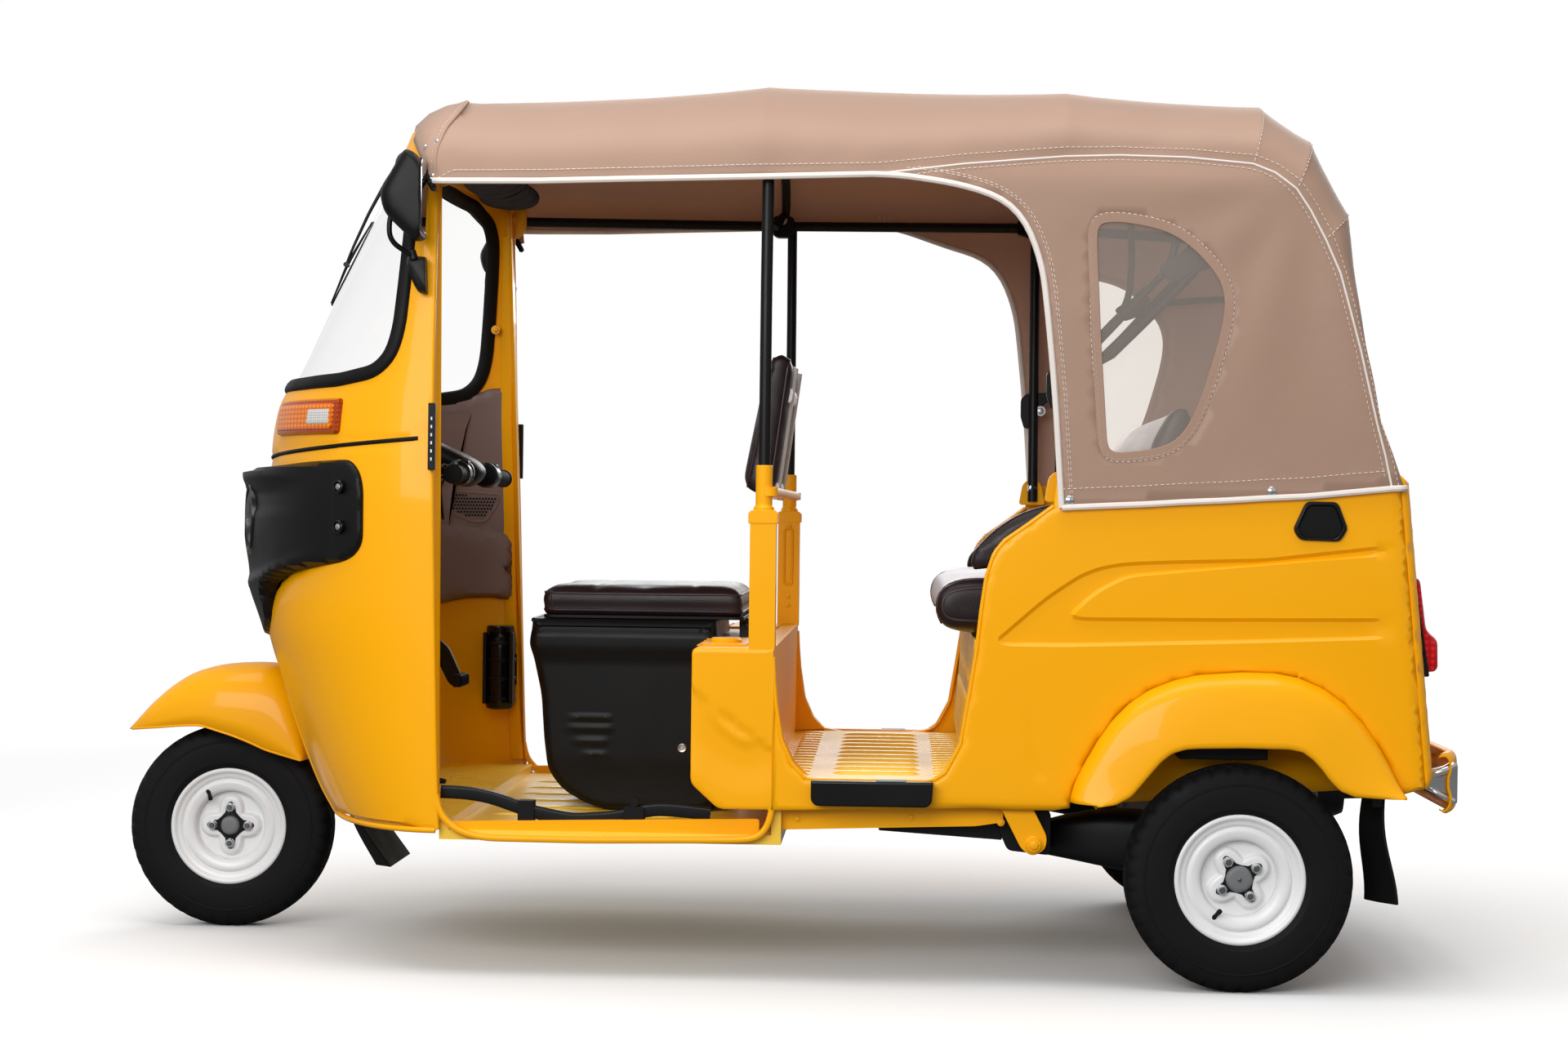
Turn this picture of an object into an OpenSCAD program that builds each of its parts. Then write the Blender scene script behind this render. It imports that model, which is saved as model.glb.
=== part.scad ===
// Three-wheeled auto rickshaw with a canvas hood.
// Frame: +X forward, +Y left, +Z up, ground at Z = 0,
// origin under the middle of the overall length.

/* [Overall] */
// Distance between front and rear axles
wheelbase = 2000; // [1850:10:2200]
// Mudguard tip ahead of the front axle
front_overhang = 219; // [215:1:260]
// Bumper behind the rear axle
rear_overhang = 420; // [415:5:480]
// Half width of the body sides
body_half_w = 600; // [560:5:650]
// How far a wheel flare stands out of the body side
flare_out = 50; // [20:5:80]
// Height of the hood above the highest bow
roof_z = 1716; // [1690:2:1800]

/* [Wheels] */
// Tyre outer radius
tyre_r = 208; // [195:1:215]
// Tyre width
tyre_w = 100; // [80:2:110]
// Rim radius at the bead
rim_r = 108; // [100:1:120]
// Rim width over the flanges
rim_w = 84; // [70:2:90]
// Distance between the rear wheel centres
track = 1150; // [1100:10:1180]

/* [Steering] */
// Rake of the steering axis from upright
rake = 24; // [20:1:28]
// Steering axis ahead of (+) or behind (-) the front axle at axle height
trail_x = -20; // [-30:5:10]
// Steering column radius
column_r = 17; // [14:1:20]
// Half width of the handlebar over the grips
bar_half_w = 345; // [300:5:380]

/* [Body] */
// Thickness of a body wall with its trim
wall = 18; // [14:1:24]
// Driver floor, upper face
floor_z = 271; // [255:1:285]
// Passenger floor, upper face
deck_z = 376; // [360:1:390]
// Width of the driver's seat box
seat_w = 430; // [380:10:480]
// Top of the driver's seat box
seat_z = 652; // [620:2:690]
// Hood cloth thickness
cloth = 5; // [3:1:8]
// Roof tube radius
tube_r = 11; // [8:1:14]

/* [Fits] */
// Running gap of a pin or shaft
run_gap = 0.08; // [0.02:0.01:0.1]
// Gap of a seated soft piece
soft_gap = 0.3; // [0.2:0.1:0.5]

/* [Hidden] */

yellow = "#ffb400";
black = "#202022";
silver = "#d8d8d6";
canvas = "#b5977f";
vinyl = "#2c2326";
trim = "#5b4a4b";

front_axle_x = (wheelbase + rear_overhang - front_overhang) / 2;
rear_axle_x = front_axle_x - wheelbase;
nose_x = front_axle_x + front_overhang;
tail_x = rear_axle_x - rear_overhang;
eps = 0.01;
axle_r = 14;

// Body stations, measured from the axles
cab_x = front_axle_x - 520;
post_x = front_axle_x - 1122;
tank_front_x = front_axle_x - 993;
tank_rear_x = front_axle_x - 1143;
door_rear_x = rear_axle_x + 540;
cowl_top_z = 1600;
tail_top_x = tail_x + 116;
tail_low_x = tail_x + 62;
cowl_low_z = 271;
sill_z = 318;
inner_w = body_half_w - wall;
post_w = 48;
post_top_z = 863;
rail_y = body_half_w - 44;
rail_z = 1514;

// Steering axis
axis_foot = [front_axle_x + trail_x, 0, tyre_r];
function on_axis(h) = axis_foot + h * [-sin(rake), 0, cos(rake)];
head_low_h = 395;
head_high_h = 560;
head_r = column_r + 9;
// Handlebar above the axle and behind the steering axis
bar_h = 858;
bar_back = 138;

// Wheel well behind and around the steered wheel
well_x = front_axle_x - 236;
well_half_w = 250;
well_top_z = 592;

// ---- Helpers -------------------------------------------------------------

// A side view outline (x, z) drawn between two y planes
module side(points, y0, y1) {
    translate([0, y1, 0]) rotate([90, 0, 0]) linear_extrude(y1 - y0) polygon(points);
}

// A cross section outline (y, z) drawn between two x planes
module section(points, x0, x1) {
    translate([x0, 0, 0]) rotate([90, 0, 90]) linear_extrude(x1 - x0) polygon(points);
}

// A box between two corners
module span(a, b) {
    translate(a) cube(b - a);
}

// A round bar from one point to another
module bar(a, b, r) {
    d = b - a;
    length = norm(d);
    translate(a) rotate([0, acos(d[2] / length), atan2(d[1], d[0])])
        cylinder(h = length, r = r, $fn = 32);
}

// A disc or tube along Y
module across(x, y0, y1, z, r, fn = 48) {
    translate([x, y0, z]) rotate([-90, 0, 0]) cylinder(h = y1 - y0, r = r, $fn = fn);
}

// The same thing on both sides
module pair() {
    children();
    mirror([0, 1, 0]) children();
}

// Something drawn about the steering axis
module on_steering(h) {
    translate(on_axis(h)) rotate([0, -rake, 0]) children();
}

// Points of a circle arc in a plane
function arc(cx, cy, r, a0, a1, n = 6) =
    [for (i = [0:n]) let (a = a0 + (a1 - a0) * i / n) [cx + r * cos(a), cy + r * sin(a)]];

// ---- Front cowl ----------------------------------------------------------

// Nose of the cowl on the centre line, ahead of the cab's rear edge
cowl_reach = [[250, 268], [300, 307], [380, 345], [483, 385], [563, 410], [635, 430],
    [1000, 428], [1090, 412], [1287, 322], [1475, 226], [1600, 160]];
// Half width at the cab's rear edge
cowl_side = [[250, 0], [400, 0], [900, -10], [1130, -40], [1461, -80], [1600, -110]];
// Rear edge of the cab
cowl_rear = [[250, -8], [388, -2], [1130, 19], [1461, 23], [1600, 25]];
function cowl_tip(z) = cab_x + lookup(z, cowl_reach);
function cowl_w(z) = body_half_w + lookup(z, cowl_side);
function cab_rear(z) = cab_x + lookup(z, cowl_rear);

function cowl_x(y, z) = let (xr = cab_rear(z)) xr + (cowl_tip(z) - xr) * sqrt(1 - pow(y / cowl_w(z), 2));

cowl_steps = 16;
cowl_levels = [cowl_low_z, 300, 340, 400, 483, 563, 635, 800, 1000, 1095, 1190, 1287, 1380, 1475, cowl_top_z];

// A solid nose: half ellipses stacked level by level, drawn in by an inset
module nose_form(levels, inset, back) {
    n = cowl_steps;
    ring = 2 * n + 3;
    points = [for (z = levels) let (
            xr = cab_rear(z), rx = cowl_tip(z) - xr - inset, ry = cowl_w(z) - inset)
        each concat(
            [[xr - back, -ry, z]],
            [for (i = [-n:n]) let (a = 90 * i / n) [xr + rx * cos(a), ry * sin(a), z]],
            [[xr - back, ry, z]])];
    last = len(levels) - 1;
    polyhedron(points, concat(
        [[for (i = [0:ring - 1]) i]],
        [for (k = [0:last - 1], i = [0:ring - 1]) let (j = (i + 1) % ring)
            each [[k * ring + i, (k + 1) * ring + i, (k + 1) * ring + j],
                  [k * ring + i, (k + 1) * ring + j, k * ring + j]]],
        [[for (i = [ring - 1:-1:0]) last * ring + i]]), convexity = 6);
}

// Space inside the cowl
module cab_space(inset) {
    nose_form(cowl_levels, inset, 60);
}

// Side view of the glass area, wrapping round to the pillars
screen_edge = [[415, 1108], [250, 1112], [168, 1124], [136, 1150], [118, 1200],
    [104, 1290], [96, 1390], [84, 1490], [88, 1530], [104, 1545], [210, 1552]];
function screen_outline(grow) = concat(
    [for (p = screen_edge) [cab_x + p[0] - grow * (p[0] < 150 ? 1 : 0),
        p[1] + (p[1] < 1130 ? -grow : p[1] > 1500 ? grow : 0)]],
    [[cab_x + 500, 1552 + grow], [cab_x + 500, 1108 - grow]]);

seal_w = 22;
module screen_cut(grow) {
    side(screen_outline(grow), -body_half_w, body_half_w);
}

module front_cowl() {
    color(yellow) difference() {
        nose_form(cowl_levels, 0, 0);
        translate([0, 0, -1]) nose_form(concat([cowl_low_z], [for (i = [1:12]) cowl_levels[i]],
            [1475, cowl_top_z - wall]), wall, 60);
        span([well_x - 80, -well_half_w, 0], [nose_x, well_half_w, well_top_z]);
        screen_cut(0);
    }
    // ears that hold the roof rails
    color(yellow) pair() side([[cab_x - 10, rail_z + 25], [cab_x + 46, rail_z + 25],
        [cab_x + 46, rail_z - 58], [cab_x - 2, rail_z - 54]],
        cowl_w(rail_z) - 22, cowl_w(rail_z) - 3 - soft_gap);
}

// The part of the cowl's wall that lies between two insets
module cowl_layer(outer, inner, z0, z1) {
    levels = concat([z0], [for (z = cowl_levels) if (z > z0 + 5 && z < z1 - 5) z], [z1]);
    difference() {
        nose_form(levels, outer, 0);
        translate([0, 0, -1]) nose_form(levels, inner, 60);
        translate([0, 0, 1]) nose_form(levels, inner, 60);
    }
}

module windscreen() {
    color("#cfe0e0") difference() {
        intersection() {
            cowl_layer(7, 12, 1060, 1590);
            side(screen_outline(-seal_w), -body_half_w, body_half_w);
        }
        span([cab_x - 40, -body_half_w, 1000], [cab_x + 96, body_half_w, 1600]);
    }
}

module windscreen_seal() {
    color(black) intersection() {
        difference() {
            cowl_layer(0, wall, 1060, 1590);
            side(screen_outline(-seal_w), -body_half_w, body_half_w);
        }
        screen_cut(0);
    }
}

// ---- Front lamps and trim --------------------------------------------------

mask_low_z = 620;
mask_high_z = 948;
mask_proud = 60;
module headlamp_mask() {
    color(black) difference() {
        intersection() {
            nose_form([mask_low_z, 635, 800, mask_high_z], -mask_proud, 0);
            side([[cab_x + 180, 770], [cab_x + 196, 748], [cab_x + 320, 730], [cab_x + 365, 690],
                [cab_x + 385, mask_low_z], [cab_x + 520, mask_low_z], [cab_x + 520, mask_high_z],
                [cab_x + 320, mask_high_z - 4], [cab_x + 196, mask_high_z + 4],
                [cab_x + 180, mask_high_z - 20]], -470, 470);
        }
        nose_form(cowl_levels, -soft_gap, 60);
        pair() lamp_bore(0);
    }
}

lamp_y = 250;
lamp_z = 845;
lamp_r = 78;
module lamp_bore(gap) {
    translate([cab_x + 250, lamp_y, lamp_z]) rotate([0, 90, 0])
        cylinder(h = 240, r = lamp_r - gap, $fn = 48);
}

module headlamps() {
    color(silver) pair() intersection() {
        lamp_bore(run_gap);
        difference() {
            nose_form([mask_low_z, 800, mask_high_z], -mask_proud + 8, 0);
            nose_form(cowl_levels, -soft_gap, 60);
        }
    }
}

turn_z = [1008, 1068];
module turn_lamps() {
    color("#e06a10") intersection() {
        difference() {
            nose_form([turn_z[0], turn_z[1]], -14, 0);
            nose_form(cowl_levels, -soft_gap, 60);
        }
        pair() side([[cab_x + 196, turn_z[0]], [cab_x + 350, turn_z[0]],
            [cab_x + 350, turn_z[1]], [cab_x + 196, turn_z[1]]], 200, body_half_w);
    }
}

dash_low_z = 770;
dash_high_z = 1085;
dash_x = cab_x + 300;
module dashboard() {
    color(trim) difference() {
        intersection() {
            difference() {
                cab_space(wall + soft_gap);
                translate([0, 0, -1]) cab_space(wall + 26);
                translate([0, 0, 1]) cab_space(wall + 26);
            }
            span([cab_x - 5, -body_half_w, 700], [nose_x, body_half_w, dash_high_z]);
        }
        span([cab_x + 100, -body_half_w, 600], [nose_x, body_half_w, dash_low_z]);
    }
    color(trim) intersection() {
        cab_space(wall + 26 + soft_gap);
        side([[dash_x, dash_low_z + 40], [dash_x + 20, dash_low_z + 20], [dash_x + 30, dash_low_z + 20],
            [dash_x + 30, dash_high_z - 30], [dash_x + 200, dash_high_z - 30],
            [dash_x + 200, dash_high_z], [dash_x, dash_high_z]], -body_half_w, body_half_w);
    }
}

// The wiper hangs from a boss above the glass
wiper_y = 150;
wiper_z = [1285, 1572];
module wiper() {
    top_x = cowl_x(wiper_y, wiper_z[1]);
    color(black) difference() {
        union() {
            bar([top_x - 10, wiper_y, wiper_z[1]], [top_x + 16, wiper_y, wiper_z[1]], 9);
            bar([top_x + 11, wiper_y, wiper_z[1]],
                [cowl_x(wiper_y, wiper_z[0]) + 11, wiper_y, wiper_z[0]], 5);
        }
        nose_form(cowl_levels, -soft_gap, 60);
    }
}

mirror_y = body_half_w - 20;
module mirrors() {
    color(black) pair() {
        side([[cab_x + 88, 1508], [cab_x + 52, 1508], [cab_x + 40, 1370], [cab_x + 65, 1360],
            [cab_x + 115, 1440]], mirror_y - 20, mirror_y + 20);
        bar([cab_x + 60, mirror_y, 1362], [cab_x + 52, mirror_y - 28, 1312], 6);
        difference() {
            side([[cab_x + 66, 1345], [cab_x + 66, 1262], [cab_x + 40, 1262], [cab_x + 40, 1345]],
                body_half_w - 100, mirror_y - 20);
            nose_form(cowl_levels, -soft_gap, 60);
        }
    }
}

// ---- Wheel housing, head tube and floor -----------------------------------

housing_wall = 6;
module wheel_housing() {
    color(yellow) difference() {
        union() {
            intersection() {
                cab_space(wall + soft_gap);
                difference() {
                    span([well_x - housing_wall, -well_half_w - housing_wall, cowl_low_z],
                        [nose_x, well_half_w + housing_wall, well_top_z + housing_wall]);
                    span([well_x, -well_half_w, 0], [nose_x, well_half_w, well_top_z]);
                }
            }
            on_steering(head_low_h) cylinder(h = head_high_h - head_low_h, r = head_r, $fn = 48);
        }
        on_steering(head_low_h - 60)
            cylinder(h = head_high_h - head_low_h + 120, r = column_r + run_gap, $fn = 48);
    }
}

floor_t = wall;
deck_end_x = door_rear_x - 240;
rail_in = [212, 250];
module floor_pan() {
    color(yellow) {
        // driver floor with the step up to the passenger floor
        side([[cab_x - 6, floor_z - floor_t], [cab_x - 6, floor_z], [tank_rear_x, floor_z],
            [tank_rear_x, deck_z], [deck_end_x, deck_z], [deck_end_x, deck_z - floor_t],
            [tank_rear_x - floor_t, deck_z - floor_t], [tank_rear_x - floor_t, floor_z - floor_t]],
            -inner_w + eps, inner_w - eps);
        // chassis rails under the engine bay
        pair() span([tail_low_x + wall + 1, rail_in[0], deck_z - 36], [deck_end_x + 40, rail_in[1], deck_z]);
        // toe board inside the cowl
        intersection() {
            cab_space(wall + soft_gap);
            side([[cab_x - 24, floor_z], [well_x - housing_wall - soft_gap, floor_z],
                [well_x - housing_wall - soft_gap, floor_z + floor_t], [cab_x - 24, floor_z + floor_t]],
                -body_half_w, body_half_w);
        }
    }
}

module brake_pedal() {
    color(black) {
        span([cab_x + 78, -125, floor_z + floor_t], [cab_x + 102, -95, floor_z + floor_t + 8]);
        bar([cab_x + 90, -110, floor_z + floor_t + 3], [cab_x + 120, -110, 560], 8);
        span([cab_x + 96, -150, 560], [cab_x + 124, -70, 572]);
    }
}

bottle_r = 34;
module bottle() {
    color(black) {
        translate([cab_x + 47, -(inner_w - 12 - bottle_r), 416]) cylinder(h = 184, r = bottle_r, $fn = 40);
        // strap that holds it on the cowl's inner wall
        intersection() {
            cab_space(wall + soft_gap);
            span([cab_x + 37, -body_half_w, 480], [cab_x + 57, bottle_r / 2 - inner_w, 520]);
        }
    }
}

module floor_rail() {
    color(black) {
        side([[cab_x - 10, 351], [cab_x - 97, 343], [cab_x - 250, 312], [cab_x - 345, 312],
            [cab_x - 402, 327], [tank_front_x + soft_gap, 322], [tank_front_x + soft_gap, 302],
            [cab_x - 402, 305], [cab_x - 345, 290], [cab_x - 250, 290], [cab_x - 97, 319],
            [cab_x - 10, 327]], body_half_w - 50, body_half_w - 32);
        side([[cab_x - 183, floor_z], [cab_x - 146, floor_z], [cab_x - 146, 322], [cab_x - 183, 322]],
            body_half_w - 49, body_half_w - 33);
    }
}

// ---- Middle of the body ----------------------------------------------------

post_y = body_half_w - post_w / 2;
post_tube_top = 951;
module post_tube(gap) {
    translate([post_x, post_y, post_top_z - 5]) cylinder(h = post_tube_top - post_top_z + 5, r = 13 + gap, $fn = 48);
}

module tank_box() {
    color(yellow) {
        side([[tank_front_x, 365], [tank_front_x - 53, sill_z], [tank_rear_x, sill_z],
            [tank_rear_x, 616], [tank_front_x, 616]], -body_half_w, body_half_w);
        pair() span([post_x - post_w / 2, body_half_w - post_w, 616],
            [post_x + post_w / 2, body_half_w, post_top_z]);
        pair() post_tube(0);
        // hinge lugs and pins of the driver's seat
        for (y = seat_ear_y) {
            for (t = [-12, ear_w + 2]) side(concat(arc(hinge_x, hinge_z, 8, 0, 180, 8),
                [[hinge_x - 8, 610], [hinge_x + 8, 610]]), y + t, y + t + 10);
            across(hinge_x, y - 8, y + ear_w + 8, hinge_z, 4, 32);
        }
    }
}

seat_front_x = tank_front_x + 355;
module seat_box() {
    color(black) side([[seat_front_x - 24, seat_z], [seat_front_x, 605], [seat_front_x - 4, 565],
        [seat_front_x - 49, 330], [seat_front_x - 72, 316], [seat_front_x - 150, floor_z],
        [tank_front_x, floor_z], [tank_front_x, seat_z]], -seat_w / 2, seat_w / 2);
}

cushion_t = 66;
cushion_rear_x = tank_front_x - 83;
hinge_x = cushion_rear_x + 14;
hinge_z = seat_z - 16;
seat_ear_y = [-120, 90];
ear_w = 30;
module driver_seat() {
    color(vinyl) difference() {
        union() {
            span([cushion_rear_x, -seat_w / 2, seat_z + soft_gap],
                [seat_front_x - 15, seat_w / 2, seat_z + cushion_t]);
            for (y = seat_ear_y) side(concat(arc(hinge_x, hinge_z, 10, 180, 360, 8),
                [[hinge_x + 10, seat_z + 2], [hinge_x - 10, seat_z + 2]]), y, y + ear_w);
        }
        across(hinge_x, -200, 200, hinge_z, 4 + run_gap);
    }
}

back_low = [tank_front_x - 62, 893];
module driver_backrest() {
    color(vinyl) side([[back_low[0], 912], [back_low[0] - 28, 893], [back_low[0] - 60, 896],
        [back_low[0] - 106, 1180], [back_low[0] - 90, 1194], [back_low[0] - 56, 1190]], -190, 190);
}

module backrest_frame() {
    color(silver) {
        difference() {
            across(post_x - 16, -post_y, post_y, 905, 9);
            pair() post_tube(soft_gap);
        }
        for (y = [-120, 90]) side([[back_low[0] - 60.5, 896], [back_low[0] - 84, 896],
            [back_low[0] - 124, 1160], [back_low[0] - 104.2, 1166]], y, y + 30);
    }
}

// ---- Rear body ---------------------------------------------------------------

top_z = 935;
arch_top_z = 452;
// Wheel opening, seen from the side, from front to back
arch_edge = [[261, 341], [203, 361], [166, 406], [130, 441], [79, 450], [-83, arch_top_z],
    [-127, 433], [-157, 397], [-201, 368], [-292, 365]];
quarter_rear = [[tail_top_x + 17, top_z + 15], [tail_low_x + 17, 376]];

module quarter_panels() {
    a = rear_axle_x;
    color(yellow) pair() side(concat(
        [[tank_rear_x, sill_z], [tank_rear_x, 620], [tank_rear_x - 7, 517], [tank_rear_x - 17, 450],
         [tank_rear_x - 37, 405], [tank_rear_x - 60, 378], [door_rear_x + 17, 379],
         [door_rear_x - 3, 393], [door_rear_x - 29, 445], [door_rear_x - 57, 621],
         [door_rear_x - 73, 755], [door_rear_x - 87, 798], [door_rear_x - 106, 821],
         [door_rear_x - 194, 885], [door_rear_x - 200, top_z]],
        quarter_rear,
        [for (i = [len(arch_edge) - 1:-1:0]) [a + arch_edge[i][0], arch_edge[i][1]]],
        [[door_rear_x - 66, 329]]), inner_w, body_half_w);
}

flare_edge = [[309, 344], [284, 411], [233, 493], [167, 549], [79, 577], [-2, 584], [-97, 577],
    [-186, 529], [-245, 456], [-279, 390], [-293, 364]];
house_depth = 87;
module wheel_arches() {
    a = rear_axle_x;
    color(yellow) pair() {
        side(concat([for (p = flare_edge) [a + p[0], p[1]]],
            [for (i = [len(arch_edge) - 1:-1:0]) [a + arch_edge[i][0], arch_edge[i][1]]]),
            body_half_w, body_half_w + flare_out);
        // inner wheel house
        span([a - 10, arm_y[0] - 4, 440], [a + 50, inner_w - house_depth + 5, 470]);
        difference() {
            side([[a + 255, 300], [a + 255, 470], [a - 255, 470], [a - 255, 300]],
                inner_w - house_depth, inner_w);
            side([[a + 245, 290], [a + 245, 460], [a - 245, 460], [a - 245, 290]],
                inner_w - house_depth + 10, body_half_w);
        }
    }
}

// Plan of the rear corner: flat middle, rounded corners
function tail_plan(x, inset) = let (w = body_half_w - inset)
    [[x + 200, -w], [x + 17 + inset, -w], [x + 5 + inset, -w + 12], [x + inset, -w + 40],
     [x + inset, w - 40], [x + 5 + inset, w - 12], [x + 17 + inset, w], [x + 200, w]];
module tail_form(inset, cut) {
    hull() {
        translate([0, 0, top_z + 15 + cut]) linear_extrude(eps) polygon(tail_plan(tail_top_x, inset));
        translate([0, 0, 376 - cut]) linear_extrude(eps) polygon(tail_plan(tail_low_x, inset));
    }
}

hatch_half_w = 380;
hatch_z = [500, 850];
hatch_gap = 6;
module hatch_zone(gap) {
    span([tail_x - 50, -hatch_half_w + gap, hatch_z[0] + gap],
        [tail_x + 160, hatch_half_w - gap, hatch_z[1] - gap]);
}

function tail_skin(z) = tail_top_x + (tail_low_x - tail_top_x) * (top_z + 15 - z) / (top_z + 15 - 376);
hatch_axis = [tail_skin(hatch_z[1]) - 13, hatch_z[1]];
hatch_ear_y = [-270, 230];
ear_r = 8;
plate_z = 440;
plate_pitch = 180;
plate_hole_r = 3.5;

module rear_panel() {
    a = rear_axle_x;
    color(yellow) difference() {
        union() {
            difference() {
                tail_form(0, 0);
                tail_form(wall, 2);
                side([[a + 400, 370], [tail_low_x + 17, 370], [tail_low_x + 17, 376],
                    [tail_top_x + 17, top_z + 15], [tail_top_x + 17, top_z + 20],
                    [a + 400, top_z + 20]], -body_half_w - 1, body_half_w + 1);
                hatch_zone(0);
            }
            // hinge lugs and pins of the hatch
            for (y = hatch_ear_y) {
                for (t = [-11, 41]) side(concat(arc(hatch_axis[0], hatch_axis[1], 7, 180, 360, 8),
                    [[tail_skin(hatch_z[1]) + 2, hatch_axis[1] + 3], [tail_skin(hatch_z[1]) + 2, hatch_axis[1] + 30],
                     [hatch_axis[0] - 7, hatch_axis[1] + 12]]), y + t, y + t + 10);
                across(hatch_axis[0], y - 5, y + 45, hatch_axis[1], 4, 32);
            }
        }
        for (y = [-plate_pitch / 2, plate_pitch / 2]) translate([tail_x - 10, y, plate_z])
            rotate([0, 90, 0]) cylinder(h = 100, r = plate_hole_r, $fn = 24);
    }
}

module rear_hatch() {
    color(yellow) difference() {
        union() {
            intersection() {
                difference() {
                    tail_form(0, 0);
                    tail_form(wall, 2);
                }
                hatch_zone(hatch_gap);
            }
            for (y = hatch_ear_y) side(concat(arc(hatch_axis[0], hatch_axis[1], ear_r, 0, 180, 8),
                [[hatch_axis[0] - ear_r, hatch_axis[1] - 60], [tail_skin(hatch_axis[1] - 60) + 3, hatch_axis[1] - 60],
                 [tail_skin(hatch_axis[1] - 8) + 3, hatch_axis[1] - 8]]), y, y + 40);
        }
        across(hatch_axis[0], -body_half_w, body_half_w, hatch_axis[1], 4 + run_gap, 32);
    }
}

seat_wall_top = 655;
module seat_base() {
    color(yellow) {
        side([[door_rear_x - 61, deck_z + soft_gap], [door_rear_x - 61 + wall, deck_z + soft_gap],
            [door_rear_x - 72 + wall, seat_wall_top - wall], [door_rear_x - 430, seat_wall_top - wall],
            [door_rear_x - 430, 900], [door_rear_x - 430 - wall, 900],
            [door_rear_x - 430 - wall, seat_wall_top - 2 * wall],
            [door_rear_x - 90, seat_wall_top - 2 * wall]], -inner_w + eps, inner_w - eps);
    }
}

module rear_cushion() {
    color(vinyl) span([door_rear_x - 428, -inner_w + 40, seat_wall_top - wall + soft_gap],
        [door_rear_x + 30, inner_w - 40, 762]);
}

module rear_backrest() {
    color(vinyl) side([[door_rear_x - 429, 762.3], [door_rear_x - 330, 762.3],
        [door_rear_x - 385, 1180], [door_rear_x - 440, 1190], [door_rear_x - 460, 1180],
        [door_rear_x - 449, 902], [door_rear_x - 429, 902]], -inner_w + 60, inner_w - 60);
}

module armrest_pads() {
    color(vinyl) pair() side([[door_rear_x - 43, 763], [door_rear_x - 50, 792], [door_rear_x - 77, 823],
        [door_rear_x - 122, 861], [door_rear_x - 189, 890], [door_rear_x - 320, 895],
        [door_rear_x - 320, 763]], inner_w - 38, inner_w - soft_gap);
}

// ---- Drive and suspension ------------------------------------------------------

module engine() {
    a = rear_axle_x;
    color("#77797a") {
        span([a - 220, -190, tyre_r - 18], [a + 170, 190, 600]);
        // mounting feet on the chassis rails
        for (x = [a - 150, a + 90]) pair() span([x, 180, deck_z + soft_gap], [x + 40, rail_in[1], deck_z + 14]);
    }
}

pivot_x = rear_axle_x + 372;
pivot_z = 256;
bracket_top_z = deck_z - floor_t - soft_gap;
arm_y = [body_half_w - 200, body_half_w - 160];
arm_mid_y = body_half_w - 180;
module trailing_arms() {
    a = rear_axle_x;
    color(black) pair() difference() {
        side([[pivot_x + 24, pivot_z - 24], [pivot_x + 24, pivot_z + 24], [pivot_x - 10, pivot_z + 30],
                [a + 50, tyre_r + 52], [a - 50, tyre_r + 52], [a - 50, tyre_r - 48],
                [a + 50, tyre_r - 48]], arm_y[0], arm_y[1]);
        across(pivot_x, arm_y[0] - 10, arm_y[1] + 10, pivot_z, 10 + run_gap);
        across(a, arm_y[0] - 10, arm_y[1] + 10, tyre_r, 20 + run_gap);
    }
    color(yellow) pair() {
        for (y = [arm_y[0] - 12, arm_y[1] + 2]) side([[pivot_x + 70, bracket_top_z], [pivot_x - 20, bracket_top_z],
            [pivot_x - 24, pivot_z - 10], [pivot_x, pivot_z - 28], [pivot_x + 24, pivot_z - 10]], y, y + 10);
        across(pivot_x, arm_y[0] - 18, arm_y[1] + 18, pivot_z, 9.5);
    }
}

module shock_absorbers() {
    a = rear_axle_x;
    color(black) pair() {
        bar([a + 36, arm_mid_y, tyre_r + 62], [a + 24, arm_mid_y, 420], 18);
        span([a + 24, arm_mid_y - 12, tyre_r + 52 + soft_gap], [a + 48, arm_mid_y + 12, tyre_r + 80]);
        span([a + 8, arm_mid_y - 12, 400], [a + 36, arm_mid_y + 12, 440 - soft_gap]);
    }
}

module drive_shafts() {
    a = rear_axle_x;
    color("#8a8c8e") pair() {
        across(a, 190, track / 2 + 28, tyre_r, axle_r);
        across(a, arm_y[0] - 8, arm_y[1] + 8, tyre_r, 20);
    }
}

// ---- Rear and side fittings ------------------------------------------------------

module tail_lamps() {
    color("#c8101c") pair() difference() {
        side([[tail_x + 120, 766], [tail_x + 88, 757], [tail_x + 76, 650], [tail_x + 52, 644],
            [tail_x + 54, 590], [tail_x + 120, 586]], 470, 550);
        tail_form(-soft_gap, 2);
    }
}

module rear_bumper() {
    color(silver) difference() {
        union() {
            span([tail_x, -500, 330], [tail_x + 14, 500, 430]);
            pair() span([tail_x + 10, 300, 384], [tail_x + 80, 320, 404]);
            // plate with the tow eye
            span([tail_x + 10, -6, 336], [tail_x + 60, 6, 384]);
        }
        tail_form(-soft_gap, 0);
        across(tail_x + 37, -20, 20, 360, 11);
    }
}

module mudflaps() {
    a = rear_axle_x;
    color(black) {
        pair() side([[a - 255 - soft_gap, 400], [a - 262, 400], [a - 276, 160], [a - 264, 160]],
            inner_w - 72, inner_w - 4);
        side([[well_x - 12, floor_z - soft_gap], [well_x - 22, floor_z - soft_gap],
            [well_x - 94, 140], [well_x - 80, 136]], -110, 110);
    }
}

module side_vents() {
    a = rear_axle_x;
    color(black) pair() side([[a - 112, 898], [a - 170, 899], [a - 188, 850], [a - 174, 826],
        [a - 102, 828], [a - 90, 845]], body_half_w, body_half_w + 3);
}

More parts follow.
